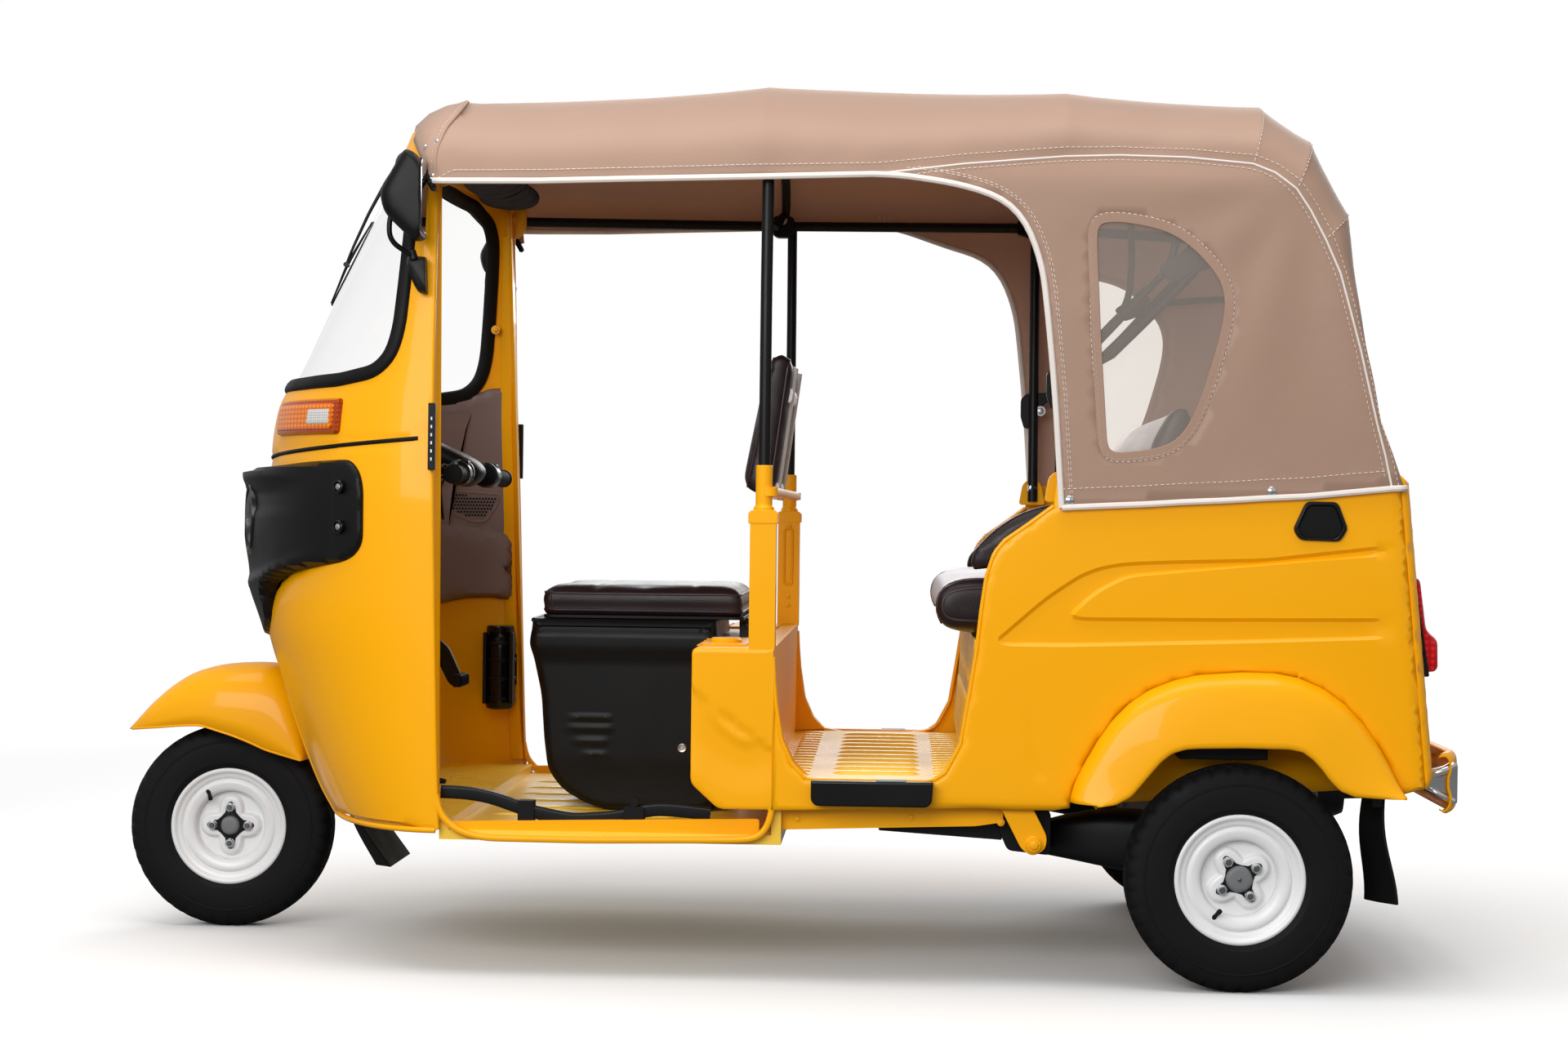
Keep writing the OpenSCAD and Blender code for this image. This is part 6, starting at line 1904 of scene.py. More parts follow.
def side_box():
    """The box across the vehicle, its middle posts, lids, hinge lugs and rods."""
    box = Form()
    profile = [(107, 366), (55, 319), (-43.2, 319), (-43.2, 616), (107, 616)]
    box.prism(rounded(profile, [12, 12, 1, 1, 12], 4), -HALF_W + 5, HALF_W - 5)
    crease = np.array([(78, 560), (72, 520), (66, 494), (50, 474), (24, 454), (2, 446)])

    def pressed(flat):
        """A curved fold: the lower corner falls back from it."""
        to_line = distance(flat, crease, closed=False)
        below = (flat[:, 1] - 446) - (flat[:, 0] - 2) * 0.75 < 18
        return np.where(below, -4.5 * step(to_line, 0, 16) * (1 - step(to_line, 40, 110)), 0)
    for side in (1, -1):
        plate(box, rounded(profile, [12, 12, 1, 1, 12], 4), side * (HALF_W - 5), side * HALF_W, 4, pressed,
              10,
              square=lambda flat: flat[:, 0] < -38)
    box.make("side_box_shell", ENAMEL, replaces=["tank_box"], slot="body_paint", sharp=50)

    posts, caps, slots = Form(), Form(), Form()
    for side in (1, -1):
        y0, y1 = side * (HALF_W - 47), side * (HALF_W - 1)
        if side < 0:
            y0, y1 = y1, y0
        posts.prism(rounded([(2.5, 612), (2.5, 858), (-45.5, 858), (-45.5, 612)], 3), y0, y1)
        # foot that spreads into the floor, on the inner side
        foot = [(2, 616), (-42, 616), (-44, 560), (-50, 505), (-62, 450), (-82, 408), (-108, 382), (-40, 378),
                (2, 400)]
        posts.prism(rounded(foot, 4), side * (HALF_W - 47) - 2, side * (HALF_W - 47) + 2)
        caps.prism(rounded([(6, 846), (6, 866), (0, 871), (-43, 871), (-49, 866), (-49, 846)], 3), y0 - 2,
                   y1 + 1)
        caps.turn([(0, 19), (8, 19), (12, 15.5), (85, 15.5), (86, 14)],
                  (MIDDLE_POST, side * (HALF_W - 24), 868), (0, 0, 1), 32)
        for z0, z1 in ((706, 832), (470, 616)):
            loop = rounded([(-30, z0), (-12, z0), (-12, z1), (-30, z1)], 8.5, 6)
            loop = [(x, side * (HALF_W - 48.5), z) for x, z in loop]
            slots.tube(loop, 2.6, 8, closed=True)
        for z in (838, 680, 660, 440):
            slots.turn([(0, 6), (1.5, 6), (2.2, 4)], (-21, side * (HALF_W - 48.5), z), (0, -side, 0), 16)
    posts.make("middle_posts", ENAMEL, bevel=2.5, slot="body_paint")
    caps.make("middle_post_caps", ENAMEL, bevel=1.5, slot="body_paint")
    # the darker inner enamel on the pressings is painted shade
    slots.make("middle_post_pressings", SHADED_INNER_ENAMEL, slot="body_paint")
    lid = Form()
    for side in (1, -1):
        lid.span((10, side * 400 - 130, 616), (92, side * 400 + 130, 621))
        lid.turn([(0, 30), (8, 30), (12, 26)], (52, side * 470, 618), (0, 0, 1), 32)
        for x in (-8, 98):
            for k in range(4):
                lid.bolt((x, side * (280 + 80 * k), 616), (0, 0, 1), 9)
    lid.make("side_box_lids", ENAMEL, bevel=2, slot="body_paint")

    hinge = Form()
    for y in (-105, 105):
        for t in (-26, 18):
            hinge.prism(rounded([(30, 612), (47, 612), (47, 640), (38, 645), (30, 640)], 4), y + t, y + t + 8)
        hinge.tube([(38.5, y - 32, 636), (38.5, y + 32, 636)], 4, 12)
    hinge.make("seat_hinge_lugs", BLACK_STEEL, bevel=1, slot="black_steel")
    props = Form()
    for y in (150, 190):
        for x in (2, 22):
            props.tube([(x, y, 618), (x, y, 634)], 3, 8)
    props.make("seat_rest_rods", BLACK_STEEL, slot="black_steel")


def driver_box():
    """Moulded cover under the driver's seat, with its bulging shoulder and louvres."""
    outline = rounded([(90, 651), (454, 651), (461, 600), (452, 572), (436, 500), (430, 414), (422, 352),
                       (394, 312),
                       (345, 284), (306, 273), (110, 273), (64, 300)],
                       [4, 6, 10, 14, 20, 16, 18, 24, 20, 10, 8, 8], 5)

    def moulding(flat):
        x, z = flat[:, 0], flat[:, 1]
        lip = 6 * step(z, 634, 640) * (1 - step(z, 650, 656))
        shoulder = 7 * step(z, 560, 600) * (1 - step(z, 618, 634))
        waist = -5 * (1 - step(z, 300, 380))
        slots = 0
        for zc, x0, x1 in ((455, 289, 388), (435, 286, 392), (409, 296, 378), (382, 298, 362)):
            along = step(x, x0, x0 + 16) * (1 - step(x, x1 - 30, x1))
            slots = slots + 3.6 * along * np.where(np.abs(z - zc) < 6, np.cos((z - zc) / 6 * math.pi / 2), 0)
        return lip + shoulder + waist + slots
    cover = Form()
    mid = Form()
    mid.prism(outline, -203, 203)
    for side in (1, -1):
        plate(cover, outline, side * 198, side * 215, 16, moulding, 7)
    cover.make("driver_box_sides", ABS, slot="black_plastic", sharp=50)
    mid.make("driver_box_shell", ABS, bevel=4, replaces=["seat_box"], slot="black_plastic")
    trim, bolts = Form(), Form()
    for side in (1, -1):
        bolts.turn([(-4, 9), (3, 9), (4.5, 7), (4, 5), (1.5, 4.4)], (153, side * 214.5, 398), (0, side, 0),
                   24)
        bolts.turn([(1, 3.6), (3.4, 3.4)], (153, side * 214.5, 398), (0, side, 0), 6)
        latch = rounded([(118, 640), (96, 640), (96, 620), (100, 604), (116, 602), (122, 612)], 4)
        trim.tube([(x, side * 217, z) for x, z in latch], 2.2, 8, closed=True)
    trim.tube(smooth([(452, -212, 648), (458, 0, 648), (452, 212, 648)], 14), 5, 10)
    bolts.make("driver_box_screws", ZINC, slot="chrome")
    trim.make("driver_box_latches", ABS_GLOSS, slot="black_plastic")


floors()
side_box()
driver_box()


# ---- Seats -----------------------------------------------------------------------------------------

def evaluated_mesh(piece):
    """The piece as its modifiers leave it."""
    graph = bpy.context.evaluated_depsgraph_get()
    graph.update()
    return bpy.data.meshes.new_from_object(piece.evaluated_get(graph), preserve_all_data_layers=True,
                                           depsgraph=graph)


def coordinates(mesh):
    found = np.empty(len(mesh.vertices) * 3)
    mesh.vertices.foreach_get("co", found)
    return found.reshape(-1, 3) / MM


def move_points(mesh, points):
    mesh.vertices.foreach_set("co", (points * MM).ravel())
    mesh.update()


def upholster(piece, reach, pressed=None, floor=None, voxel=6.0, soft=0.35):
    """Blow the cover up over its foam as cloth, hold it to a reach in mm, then sew in its channels."""
    materials = list(piece.data.materials)
    remesh = piece.modifiers.new("remesh", "REMESH")
    remesh.mode = "VOXEL"
    remesh.voxel_size = voxel * MM
    remesh.use_smooth_shade = True
    even = evaluated_mesh(piece)
    piece.modifiers.clear()
    piece.data = even
    start = coordinates(even)
    cloth = piece.modifiers.new("cover", "CLOTH")
    cloth.settings.quality = 4
    cloth.settings.mass = 0.35
    cloth.settings.tension_stiffness = 12
    cloth.settings.compression_stiffness = 12
    cloth.settings.bending_stiffness = soft
    cloth.settings.use_pressure = True
    cloth.settings.uniform_pressure_force = 4.0
    cloth.settings.effector_weights.gravity = 0.0
    cloth.collision_settings.use_collision = False
    cloth.point_cache.frame_start = 1
    cloth.point_cache.frame_end = 20
    for moment in range(1, 21):
        bpy.context.scene.frame_set(moment)
    blown = evaluated_mesh(piece)
    piece.modifiers.clear()
    ends = coordinates(blown)
    bpy.context.scene.frame_set(1)
    moved = ends - start
    far = np.linalg.norm(moved, axis=1, keepdims=True)
    points = start + moved * np.minimum(1, reach / np.maximum(far, 1e-9))
    if pressed is not None:
        normals = np.empty(len(even.vertices) * 3)
        even.vertices.foreach_get("normal", normals)
        points = points - normals.reshape(-1, 3) * np.asarray(pressed(start))[:, None]
    if floor is not None:
        points[:, 2] = np.maximum(points[:, 2], floor)
    move_points(even, points)
    even.materials.clear()
    for material in materials:
        even.materials.append(material)
    even.shade_smooth()
    divide = piece.modifiers.new("divide", "SUBSURF")
    divide.levels = divide.render_levels = 1
    return piece


def recolour(piece, material, chosen):
    """Faces given a second material, chosen by the middle and the facing of each face: on the seats, a pale
    painted reflection.
    """
    piece.data.materials.append(material)
    spot = len(piece.data.materials) - 1
    for face in piece.data.polygons:
        if chosen(np.array(face.center) / MM, np.array(face.normal)):
            face.material_index = spot


def snap(piece, line, lift):
    """A line laid on a soft piece's surface."""
    found = []
    for p in line:
        _, place, normal, _ = piece.closest_point_on_mesh(Vector([c * MM for c in p]))
        found.append(np.array(place) / MM + lift * np.array(normal))
    found = np.array(found)
    for _ in range(2):
        found[1:-1] = (found[:-2] + 2 * found[1:-1] + found[2:]) / 4
    return found


def groove(points, at, width, depth):
    """Depth of a sewn channel that lies at one value."""
    return depth * (1 - step(np.abs(points - at), 0, width))


def block_of(outline, y0, y1, ease=14):
    """A foam block: a side outline carried across, drawn in at its ends."""
    form = Form()
    centre = np.mean(outline, axis=0)
    rings = []
    for y, grow in ((y0, -ease), (y0 + ease * 0.3, -ease * 0.3), (y0 + ease, 0), (y1 - ease, 0),
                    (y1 - ease * 0.3, -ease * 0.3), (y1, -ease)):
        rings.append([(x + grow * np.sign(x - centre[0]) * min(1, abs(x - centre[0]) / 40), y,
                       z + grow * np.sign(z - centre[1]) * min(1, abs(z - centre[1]) / 20)) for x,
                       z in outline])
    spread = []
    for a, b in zip(rings[:-1], rings[1:]):
        parts = max(1, int(abs(b[0][1] - a[0][1]) / 40))
        for k in range(parts):
            spread.append([tuple(np.array(p) * (1 - k / parts) + np.array(q) * k / parts) for p,
                           q in zip(a, b)])
    spread.append(rings[-1])
    return form.loft(spread)


def driver_seat():
    """The saddle with its seams, welts and the tray that lifts with it."""
    outline = rounded([(30, 656), (443, 656), (446, 700), (437, 711), (34, 713)], [6, 8, 16, 16, 16], 4)
    form = block_of(resample(outline, 16, True), -203, 203)
    pad = form.make("driver_seat_pad", SEAT_VINYL, body="seat_lid", replaces=["driver_seat"],
                    slot="seat_vinyl")

    def sewn(points):
        x, y, z = points.T
        top = step(z, 696, 706)
        side_seam = groove(z, 676, 5, 2.2) * (1 - top)
        return top * (groove(x, 330, 7, 3.0) + groove(x, 130, 7, 3.0)) * (np.abs(y) < 190) + side_seam
    upholster(pad, 9, sewn, floor=652.6, voxel=8)
    welt = Form()
    ring = rounded([(36, -201), (438, -201), (438, 201), (36, 201)], 26, 6)
    for z, lift, r in ((704, 1.0, 2.6), (668, 0.8, 2.2)):
        line = snap(pad, [(x, y, z) for x, y in resample(ring, 12, True)], lift)
        welt.tube(line, r, 8, closed=True)
    for y in (-205, 205):
        welt.tube(snap(pad, [(418, y, 668), (414, y, 684), (420, y, 700)], 0.6), 1.3, 6)
    welt.make("driver_seat_welts", WELT, body="seat_lid", slot="seat_vinyl")
    tray = Form()
    tray.prism(rounded([(34, -200), (436, -200), (436, 200), (34, 200)], 20), 652.4, 658.5, axis="z")
    for y in (-105, 105):
        tray.prism(rounded([(29, 655), (48, 655), (48, 634), (38.5, 626), (29, 634)], 4), y - 15, y + 15)
    tray.make("driver_seat_tray", BLACK_STEEL, body="seat_lid", bevel=1, slot="black_steel")


def driver_back():
    """The driver's backrest, its steel plates and the tube that carries them."""
    outline = rounded([(38, 916), (16, 901), (-16, 903), (-52, 1176), (-40, 1186), (-14, 1183)],
                      [10, 8, 8, 8, 8, 12], 4)
    form = block_of(resample(outline, 14, True), -183, 183, 12)
    pad = form.make("driver_backrest_pad", SEAT_VINYL, replaces=["driver_backrest"], slot="seat_vinyl")

    def sewn(points):
        x, y, z = points.T
        face = step(x - (38 - (z - 916) * 0.195), -16, -4)
        return face * groove(z, 1100, 6, 2.5) + face * groove(np.abs(y), 150, 6, 2.0)
    upholster(pad, 8, sewn, voxel=8)
    welt = Form()
    for edge in ([(38, 915), (-14, 1182)], [(-16, 904), (-52, 1176)]):
        (x0, z0), (x1, z1) = edge
        ring = [(x0, -178, z0), (x0, 178, z0), (x1, 178, z1), (x1, -178, z1)]
        fine = resample(rounded(ring, 22, 5), 12, True)
        welt.tube(snap(pad, fine, 0.8), 2.2, 8, closed=True)
    welt.make("driver_backrest_welts", WELT, slot="seat_vinyl")
    back = Form()
    spine = [(-14, 900), (-50, 1166)]
    lean = unit((spine[1][0] - spine[0][0], 0, spine[1][1] - spine[0][1]))
    out = np.array((-lean[2], 0, lean[0]))
    for y in (-105, 105):
        path = [np.array((spine[0][0], y, spine[0][1])) + lean * t - out * -7 for t in np.linspace(-6, 262,
                                                                                                   12)]
        back.strip(path, [(np.array((0.0, 1.0, 0.0)), out)] * len(path),
                   [(-17, -8), (-17, 6), (-12, 8), (-8, 3), (8, 3), (12, 8), (17, 6), (17, -8)])
        for t in (28, 190, 240):
            back.bolt(np.array((spine[0][0], y, spine[0][1])) + lean * t + out * 10, out, 13)
    for t in (14, 205):
        base = np.array((spine[0][0], 0, spine[0][1])) + lean * t + out * 7
        back.strip([base + (0, y, 0) for y in (-150, 150)], [(lean, out)] * 2,
                   [(-14, -3), (-14, 3), (-9, 6), (9, 6), (14, 3), (14, -3)])
    back.make("backrest_plates", WHEEL_COAT, bevel=1.2, replaces=["backrest_frame"], slot="trim_plastic")
    bar = Form()
    bar.tube([(-37.5, -(HALF_W - 22), 905), (-37.5, HALF_W - 22, 905)], 9.5, 20)
    for side in (1, -1):
        bar.turn([(-8, 17), (8, 17)], (-30, side * (HALF_W - 24), 905), (0, 0, 1), 24)
    bar.make("backrest_cross_tube", ENAMEL, slot="body_paint")


def bench():
    """The passengers' cushion, backrest and side pads."""
    outline = rounded([(-782, 652), (-352, 655), (-336, 676), (-336, 716), (-352, 736), (-384, 743),
                       (-782, 746)],
                      [6, 14, 16, 18, 20, 30, 6], 4)
    form = block_of(resample(outline, 18, True), -536, 536, 14)
    pad = form.make("bench_cushion", SEAT_VINYL, replaces=["rear_cushion"], slot="seat_vinyl")

    def sewn(points):
        x, y, z = points.T
        top = step(z, 721, 736)
        front = step(x, -352, -340)
        return (top + front).clip(0, 1) * (groove(np.abs(y), 175, 9, 4.5) + groove(np.abs(y), 500, 6, 2.5)) \
            + top * groove(x, -560, 8, 3.5) * (np.abs(y) < 495)
    upholster(pad, 10, sewn, floor=637.5, voxel=12)
    # upward and forward faces of the middle panels in pale grey: a painted reflection
    recolour(pad, SEAT_PAINTED_SHEEN, lambda p, n: abs(p[1]) < 503 and (n[2] > 0.25 or (n[0] > 0.3 and p[2] > 668)))
    welts = Form()
    for side in (1, -1):
        line = [(-780, 503, 746), (-600, 503, 748), (-400, 503, 746), (-352, 503, 734), (-334, 503, 712),
                (-336, 503, 685), (-352, 503, 662)]
        welts.tube(snap(pad, resample([(x, side * y, z) for x, y, z in line], 14), 0.8), 2.4, 8)
        end = [(-770, 536, 738), (-600, 538, 738), (-400, 538, 735), (-356, 538, 724), (-344, 538, 706),
               (-344, 538, 690), (-358, 538, 668), (-600, 538, 662)]
        welts.tube(snap(pad, resample([(x, side * y, z) for x, y, z in end], 14), 0.8), 2.2, 8)
    welts.make("bench_welts", WELT, slot="seat_vinyl")

    outline = rounded([(-783, 768), (-702, 768), (-708, 850), (-738, 990), (-778, 1072), (-812, 1079),
                       (-814, 1060),
                       (-802, 908), (-783, 903)], [6, 14, 30, 60, 26, 10, 10, 6, 6], 4)
    form = block_of(resample(outline, 18, True), -514, 514, 14)
    back = form.make("bench_backrest", SEAT_VINYL, replaces=["rear_backrest"], slot="seat_vinyl")

    def pleats(points):
        x, y, z = points.T
        face = step(x + 702 + (z - 768) * 0.16, -26, -10)
        found = groove(z, 985, 8, 4.0)
        for at in (0, 128, 256, 384):
            found = found + groove(np.abs(y), at, 8, 4.0) * (z < 985)
        return face * found
    upholster(back, 8, pleats, voxel=11)
    # forward faces of the middle panels in pale grey: a painted reflection
    recolour(back, SEAT_PAINTED_SHEEN, lambda p, n: abs(p[1]) < 486 and n[0] > 0.2)

    outline = rounded([(-400, 768), (-404, 800), (-431, 832), (-480, 870), (-540, 892), (-678, 895),
                       (-678, 768)],
                      [8, 10, 24, 30, 30, 10, 6], 5)
    for side, name in ((1, "left"), (-1, "right")):
        lo, hi = sorted((side * (HALF_W - 53), side * (HALF_W - 22)))
        lower = 0 if side > 0 else 24
        form = block_of(resample(outline, 14, True) - (lower * 0.8, lower), lo, hi, 9)
        pad = form.make("side_pad_" + name, SEAT_VINYL, replaces=["armrest_pads"] if side > 0 else (),
                        slot="seat_vinyl")
        upholster(pad, 4, voxel=6)


driver_seat()
driver_back()
bench()


# ---- Wheels ------------------------------------------------------------------------------------------

def tyre(node, body, centre):
    """Bias-ply tyre: bead, ribbed sidewall, notched shoulders and a grooved tread."""
    half = [(36, 109.5), (40, 116), (43.5, 119), (46.5, 124), (48, 129), (48.8, 130), (49.2, 134),
            (49.9, 146),
            (50, 156), (49.4, 166), (48.6, 171), (49.4, 172), (49.3, 174), (48.2, 175), (46.8, 184),
            (44.8, 191),
            (42.5, 196), (39.5, 200), (36.2, 203), (32.5, 205.3), (28.0, 206.6), (24.6, 207.1), (24.0, 203.2),
            (21.0, 203.2), (20.4, 207.4), (13.2, 207.8), (12.6, 203.6), (9.6, 203.6), (9.0, 207.9),
            (2.2, 208),
            (1.5, 204), (-1.5, 204)]
    section = half + [(-a, r) for a, r in half[::-1][1:]] + [(-30, 106), (30, 106)]
    count = 272
    rings = []
    for k in range(count):
        angle = 2 * math.pi * k / count
        notch = (k % 7) in (0, 1)
        fine = k % 7 == 3
        ring = []
        for a, r in section:
            if notch and 190 < r < 207 and abs(a) > 27:
                r -= 3.6 * (1 if r > 199 else 0.5)
            if fine and 204.5 < r and 13 < abs(a) < 28:
                r -= 2.0
            zig = 1.3 * math.sin(angle * 48) if r > 202.5 and abs(a) < 27 else 0
            ring.append((centre[0] + r * math.cos(angle), centre[1] + a + zig,
                         centre[2] + r * math.sin(angle)))
        rings.append(ring)
    rings.append(rings[0])
    form = Form()
    form.loft(rings, caps=False)
    form.make(node + "_casing", TYRE, body=body, replaces=[node], slot="tyre_rubber", sharp=32)


def wheel(node, body, centre, outward, phase, rear):
    """Pressed disc wheel: rolled flange, two rings, a dish and a raised four-lobed star."""
    centre = np.asarray(centre, float)
    side = np.array((0.0, outward, 0.0))

    def ring(r, h, count=144):
        found = []
        for k in range(count):
            t = 2 * math.pi * k / count * outward
            rise = h(t) if callable(h) else h
            found.append(centre + rise * side + r * np.array((math.cos(t), 0, math.sin(t))))
        return found

    def star(r):
        def height(t):
            wave = math.cos(4 * (t - phase))
            edge = 49 + 12.5 * wave - 2.0 * math.cos(8 * (t - phase))
            return 13 + 12 * float(step(edge - r, -5, 4))
        return height
    face = Form()
    rings = []
    for r, h in ((118, 36), (118.6, 40), (117.4, 43), (115, 44), (112.5, 43.2), (110.5, 40), (108, 37.5),
                 (104, 37),
                 (100.5, 35.8), (98.5, 33), (96.5, 31.2), (94.5, 32), (92.5, 35), (90, 36.2), (86, 36),
                 (80, 34.5),
                 (76, 33), (73.8, 31), (72.4, 26), (71.8, 12), (70.6, 8), (69.2, 8.4), (68.2, 12.5),
                 (67.2, 13)):
        rings.append(ring(r, h))
    for r in np.arange(66, 15, -2.1):
        rings.append(ring(r, star(r)))
    rings.append(ring(13, 22))
    face.loft(rings, caps=False)
    back = [(118, 36), (110, 33), (106, 24), (99, 16), (91, 8), (91, -10), (101, -22), (106, -30), (110, -38),
            (117, -43), (118, -40), (116, -36)]
    face.loft([ring(r, h, 96) for r, h in back], caps=False)
    face.loft([ring(r, h, 96) for r, h in ((91, 8), (70, 6), (66, 2), (40, 2), (20, 4))], caps=False)
    face.make(node + "_disc", WHEEL_COAT, body=body, thick=2.0, replaces=[node], slot="rim_silver", sharp=60)

    hub, cap, nuts, studs = Form(), Form(), Form(), Form()
    flat = []
    for k in range(160):
        t = 2 * math.pi * k / 160
        wave = math.cos(4 * (t - phase))
        r = 29 + 20 * max(0.0, wave) ** 1.3 - 3.0 * max(0.0, -wave)
        flat.append((r * math.cos(t), r * math.sin(t)))
    hub.loft([[centre + (x * s, outward * h, z * s) for x, z in flat] for h,
              s in ((24, 1.0), (27.6, 1.0), (28.6, 0.97))])
    for k in range(4):
        t = phase + k * math.pi / 2
        at = centre + 36.8 * np.array((math.cos(t), 0, math.sin(t))) + 28 * side
        nuts.turn([(0, 9.6), (1.2, 9.6), (1.6, 8.8)], at, side, 24)
        nuts.turn([(1.4, 9.6), (8.2, 9.6), (9.6, 8.0), (9.6, 5.8), (5, 5.6)], at, side, 6)
        studs.turn([(2, 5.4), (10.5, 5.4), (11.5, 4.4)], at, side, 16)
    radius = 24.5 if rear else 19.5
    cap.turn([(24, radius), (30, radius), (34, radius - 2.2), (35.6, radius - 5), (36, radius - 9),
              (36, 0.1)],
             centre, side, 48)
    if rear:
        studs.turn([(35, 3.6), (38, 3.6), (39, 2)], centre, side, 16)
    hub.make(node + "_hub_plate", BLACK_STEEL, body=body, slot="black_steel")
    nuts.make(node + "_nuts", ZINC, body=body, bevel=0.4, slot="chrome")
    studs.make(node + "_studs", TURNED, body=body, slot="cast_metal")
    cap.make(node + "_cap", CAP_GREY, body=body, slot="cast_metal")
    valve = Form()
    t = phase + math.radians(57 if not rear else -114 if outward > 0 else 57)
    spot = centre + 84 * np.array((math.cos(t), 0, math.sin(t))) + 33 * side
    ahead = unit(0.75 * np.array((math.cos(t), 0, math.sin(t))) * -0.9 + 0.7 * side)
    valve.turn([(-4, 6.5), (2, 6), (6, 3.8), (18, 3.8), (18.5, 4.6), (25, 4.6), (26, 3.6)], spot, ahead, 16)
    valve.make(node + "_valve", EPDM, body=body, slot="rubber_trim")
    drum = Form()
    drum.turn([(-30, 30), (-30, 74), (-26, 80), (-16, 82), (-14, 78), (-2, 76), (0, 70)], centre, side, 48)
    for k in range(18):
        t = 2 * math.pi * k / 18
        arm = np.array((math.cos(t), 0, math.sin(t)))
        drum.tube([centre - 15 * side + 80.5 * arm, centre - 3 * side + 77 * arm], 1.6, 6)
    drum.make(node + "_drum", CAST, body=body, bevel=0.8, slot="cast_metal")


def wheels():
    front = (FRONT_AXLE, 0.0, AXLE_Z)
    tyre("front_tyre", "front_wheel", front)
    wheel("front_rim", "front_wheel", front, 1, 0.0, False)
    for side, name in ((1, "left"), (-1, "right")):
        centre = (REAR_AXLE, side * TRACK_Y, AXLE_Z)
        tyre(f"rear_{name}_tyre", f"rear_{name}_wheel", centre)
        wheel(f"rear_{name}_rim", f"rear_{name}_wheel", centre, side, math.radians(57), True)


wheels()


# ---- Steered parts ---------------------------------------------------------------------------------------

RAKE = math.radians(24)
FOOT = np.array((FRONT_AXLE - 20, 0.0, AXLE_Z))
UP_STEM = np.array((-math.sin(RAKE), 0.0, math.cos(RAKE)))


def mudguard():
    """Beaked mudguard that turns with the front wheel."""
    top = [(1319, 404), (1296, 428), (1269, 457), (1248, 476), (1227, 494), (1202, 511), (1176, 525),
           (1131, 538),
           (1090, 543), (1040, 545), (1007, 543), (975, 530), (950, 500), (935, 455), (928, 400), (928, 352)]
    low = [(1319, 401), (1296, 404), (1269, 407.5), (1248, 409.5), (1227, 412), (1202, 415), (1176, 417),
           (1148, 418),
           (1116, 409), (1085, 400), (1065, 393), (1040, 383), (1014, 371), (990, 364), (962, 356),
           (940, 350)]
    wide = [4, 28, 50, 62, 72, 82, 89, 97, 102, 104, 105, 105, 105, 105, 104, 103]
    crest = [0.55, 0.62, 0.7, 0.74, 0.78, 0.8, 0.82, 0.84, 0.85, 0.86, 0.86, 0.86, 0.86, 0.86, 0.86, 0.86]
    fine = np.linspace(0, len(top) - 1, 52)

    def read(table, k):
        table = np.asarray(table, float)
        spots = np.arange(len(table))
        return np.stack([np.interp(k, spots, table[:, c]) for c in range(table.shape[1])], -1) \
            if table.ndim > 1 else np.interp(k, spots, table)
    tops, lows, wides, crests = (read(t, fine) for t in (top, low, wide, crest))
    for _ in range(2):
        for line in (tops, lows, wides):
            line[1:-1] = (line[:-2] + 2 * line[1:-1] + line[2:]) / 4
    rings = []
    for t, l, w, c in zip(tops, lows, wides, crests):
        ring = []
        for k in range(41):
            angle = -math.pi / 2 + math.pi * k / 40
            across = math.copysign(abs(math.sin(angle)) ** c, angle)
            rise = math.cos(angle) ** 0.62 if abs(angle) < 1.57 else 0.0
            ring.append((l[0] + (t[0] - l[0]) * rise, w * across, l[1] + (t[1] - l[1]) * rise))
        rings.append(ring)
    shell = Form()
    shell.loft(rings, closed=False)
    shell.make("mudguard_shell", ENAMEL, body="steering", thick=2.5, replaces=["front_mudguard"],
               slot="body_paint", sharp=60)
    rim = Form()
    edge = [r[-1] for r in rings]
    rim.tube([(x, y - 1.5, z + 1) for x, y, z in edge[1:]], 2.6, 8)
    rim.tube([(x, -y + 1.5, z + 1) for x, y, z in edge[1:]], 2.6, 8)
    rim.make("mudguard_rolled_edge", ENAMEL, body="steering", slot="body_paint")
    stays = Form()
    for side in (1, -1):
        stays.tube([(FRONT_AXLE - 60, side * 74, 452), (FRONT_AXLE - 92, side * 60, 472),
                    (FRONT_AXLE - 112, side * 30, 484)], 7, 10)
    stays.make("mudguard_stays", BLACK_STEEL, body="steering", slot="black_steel")


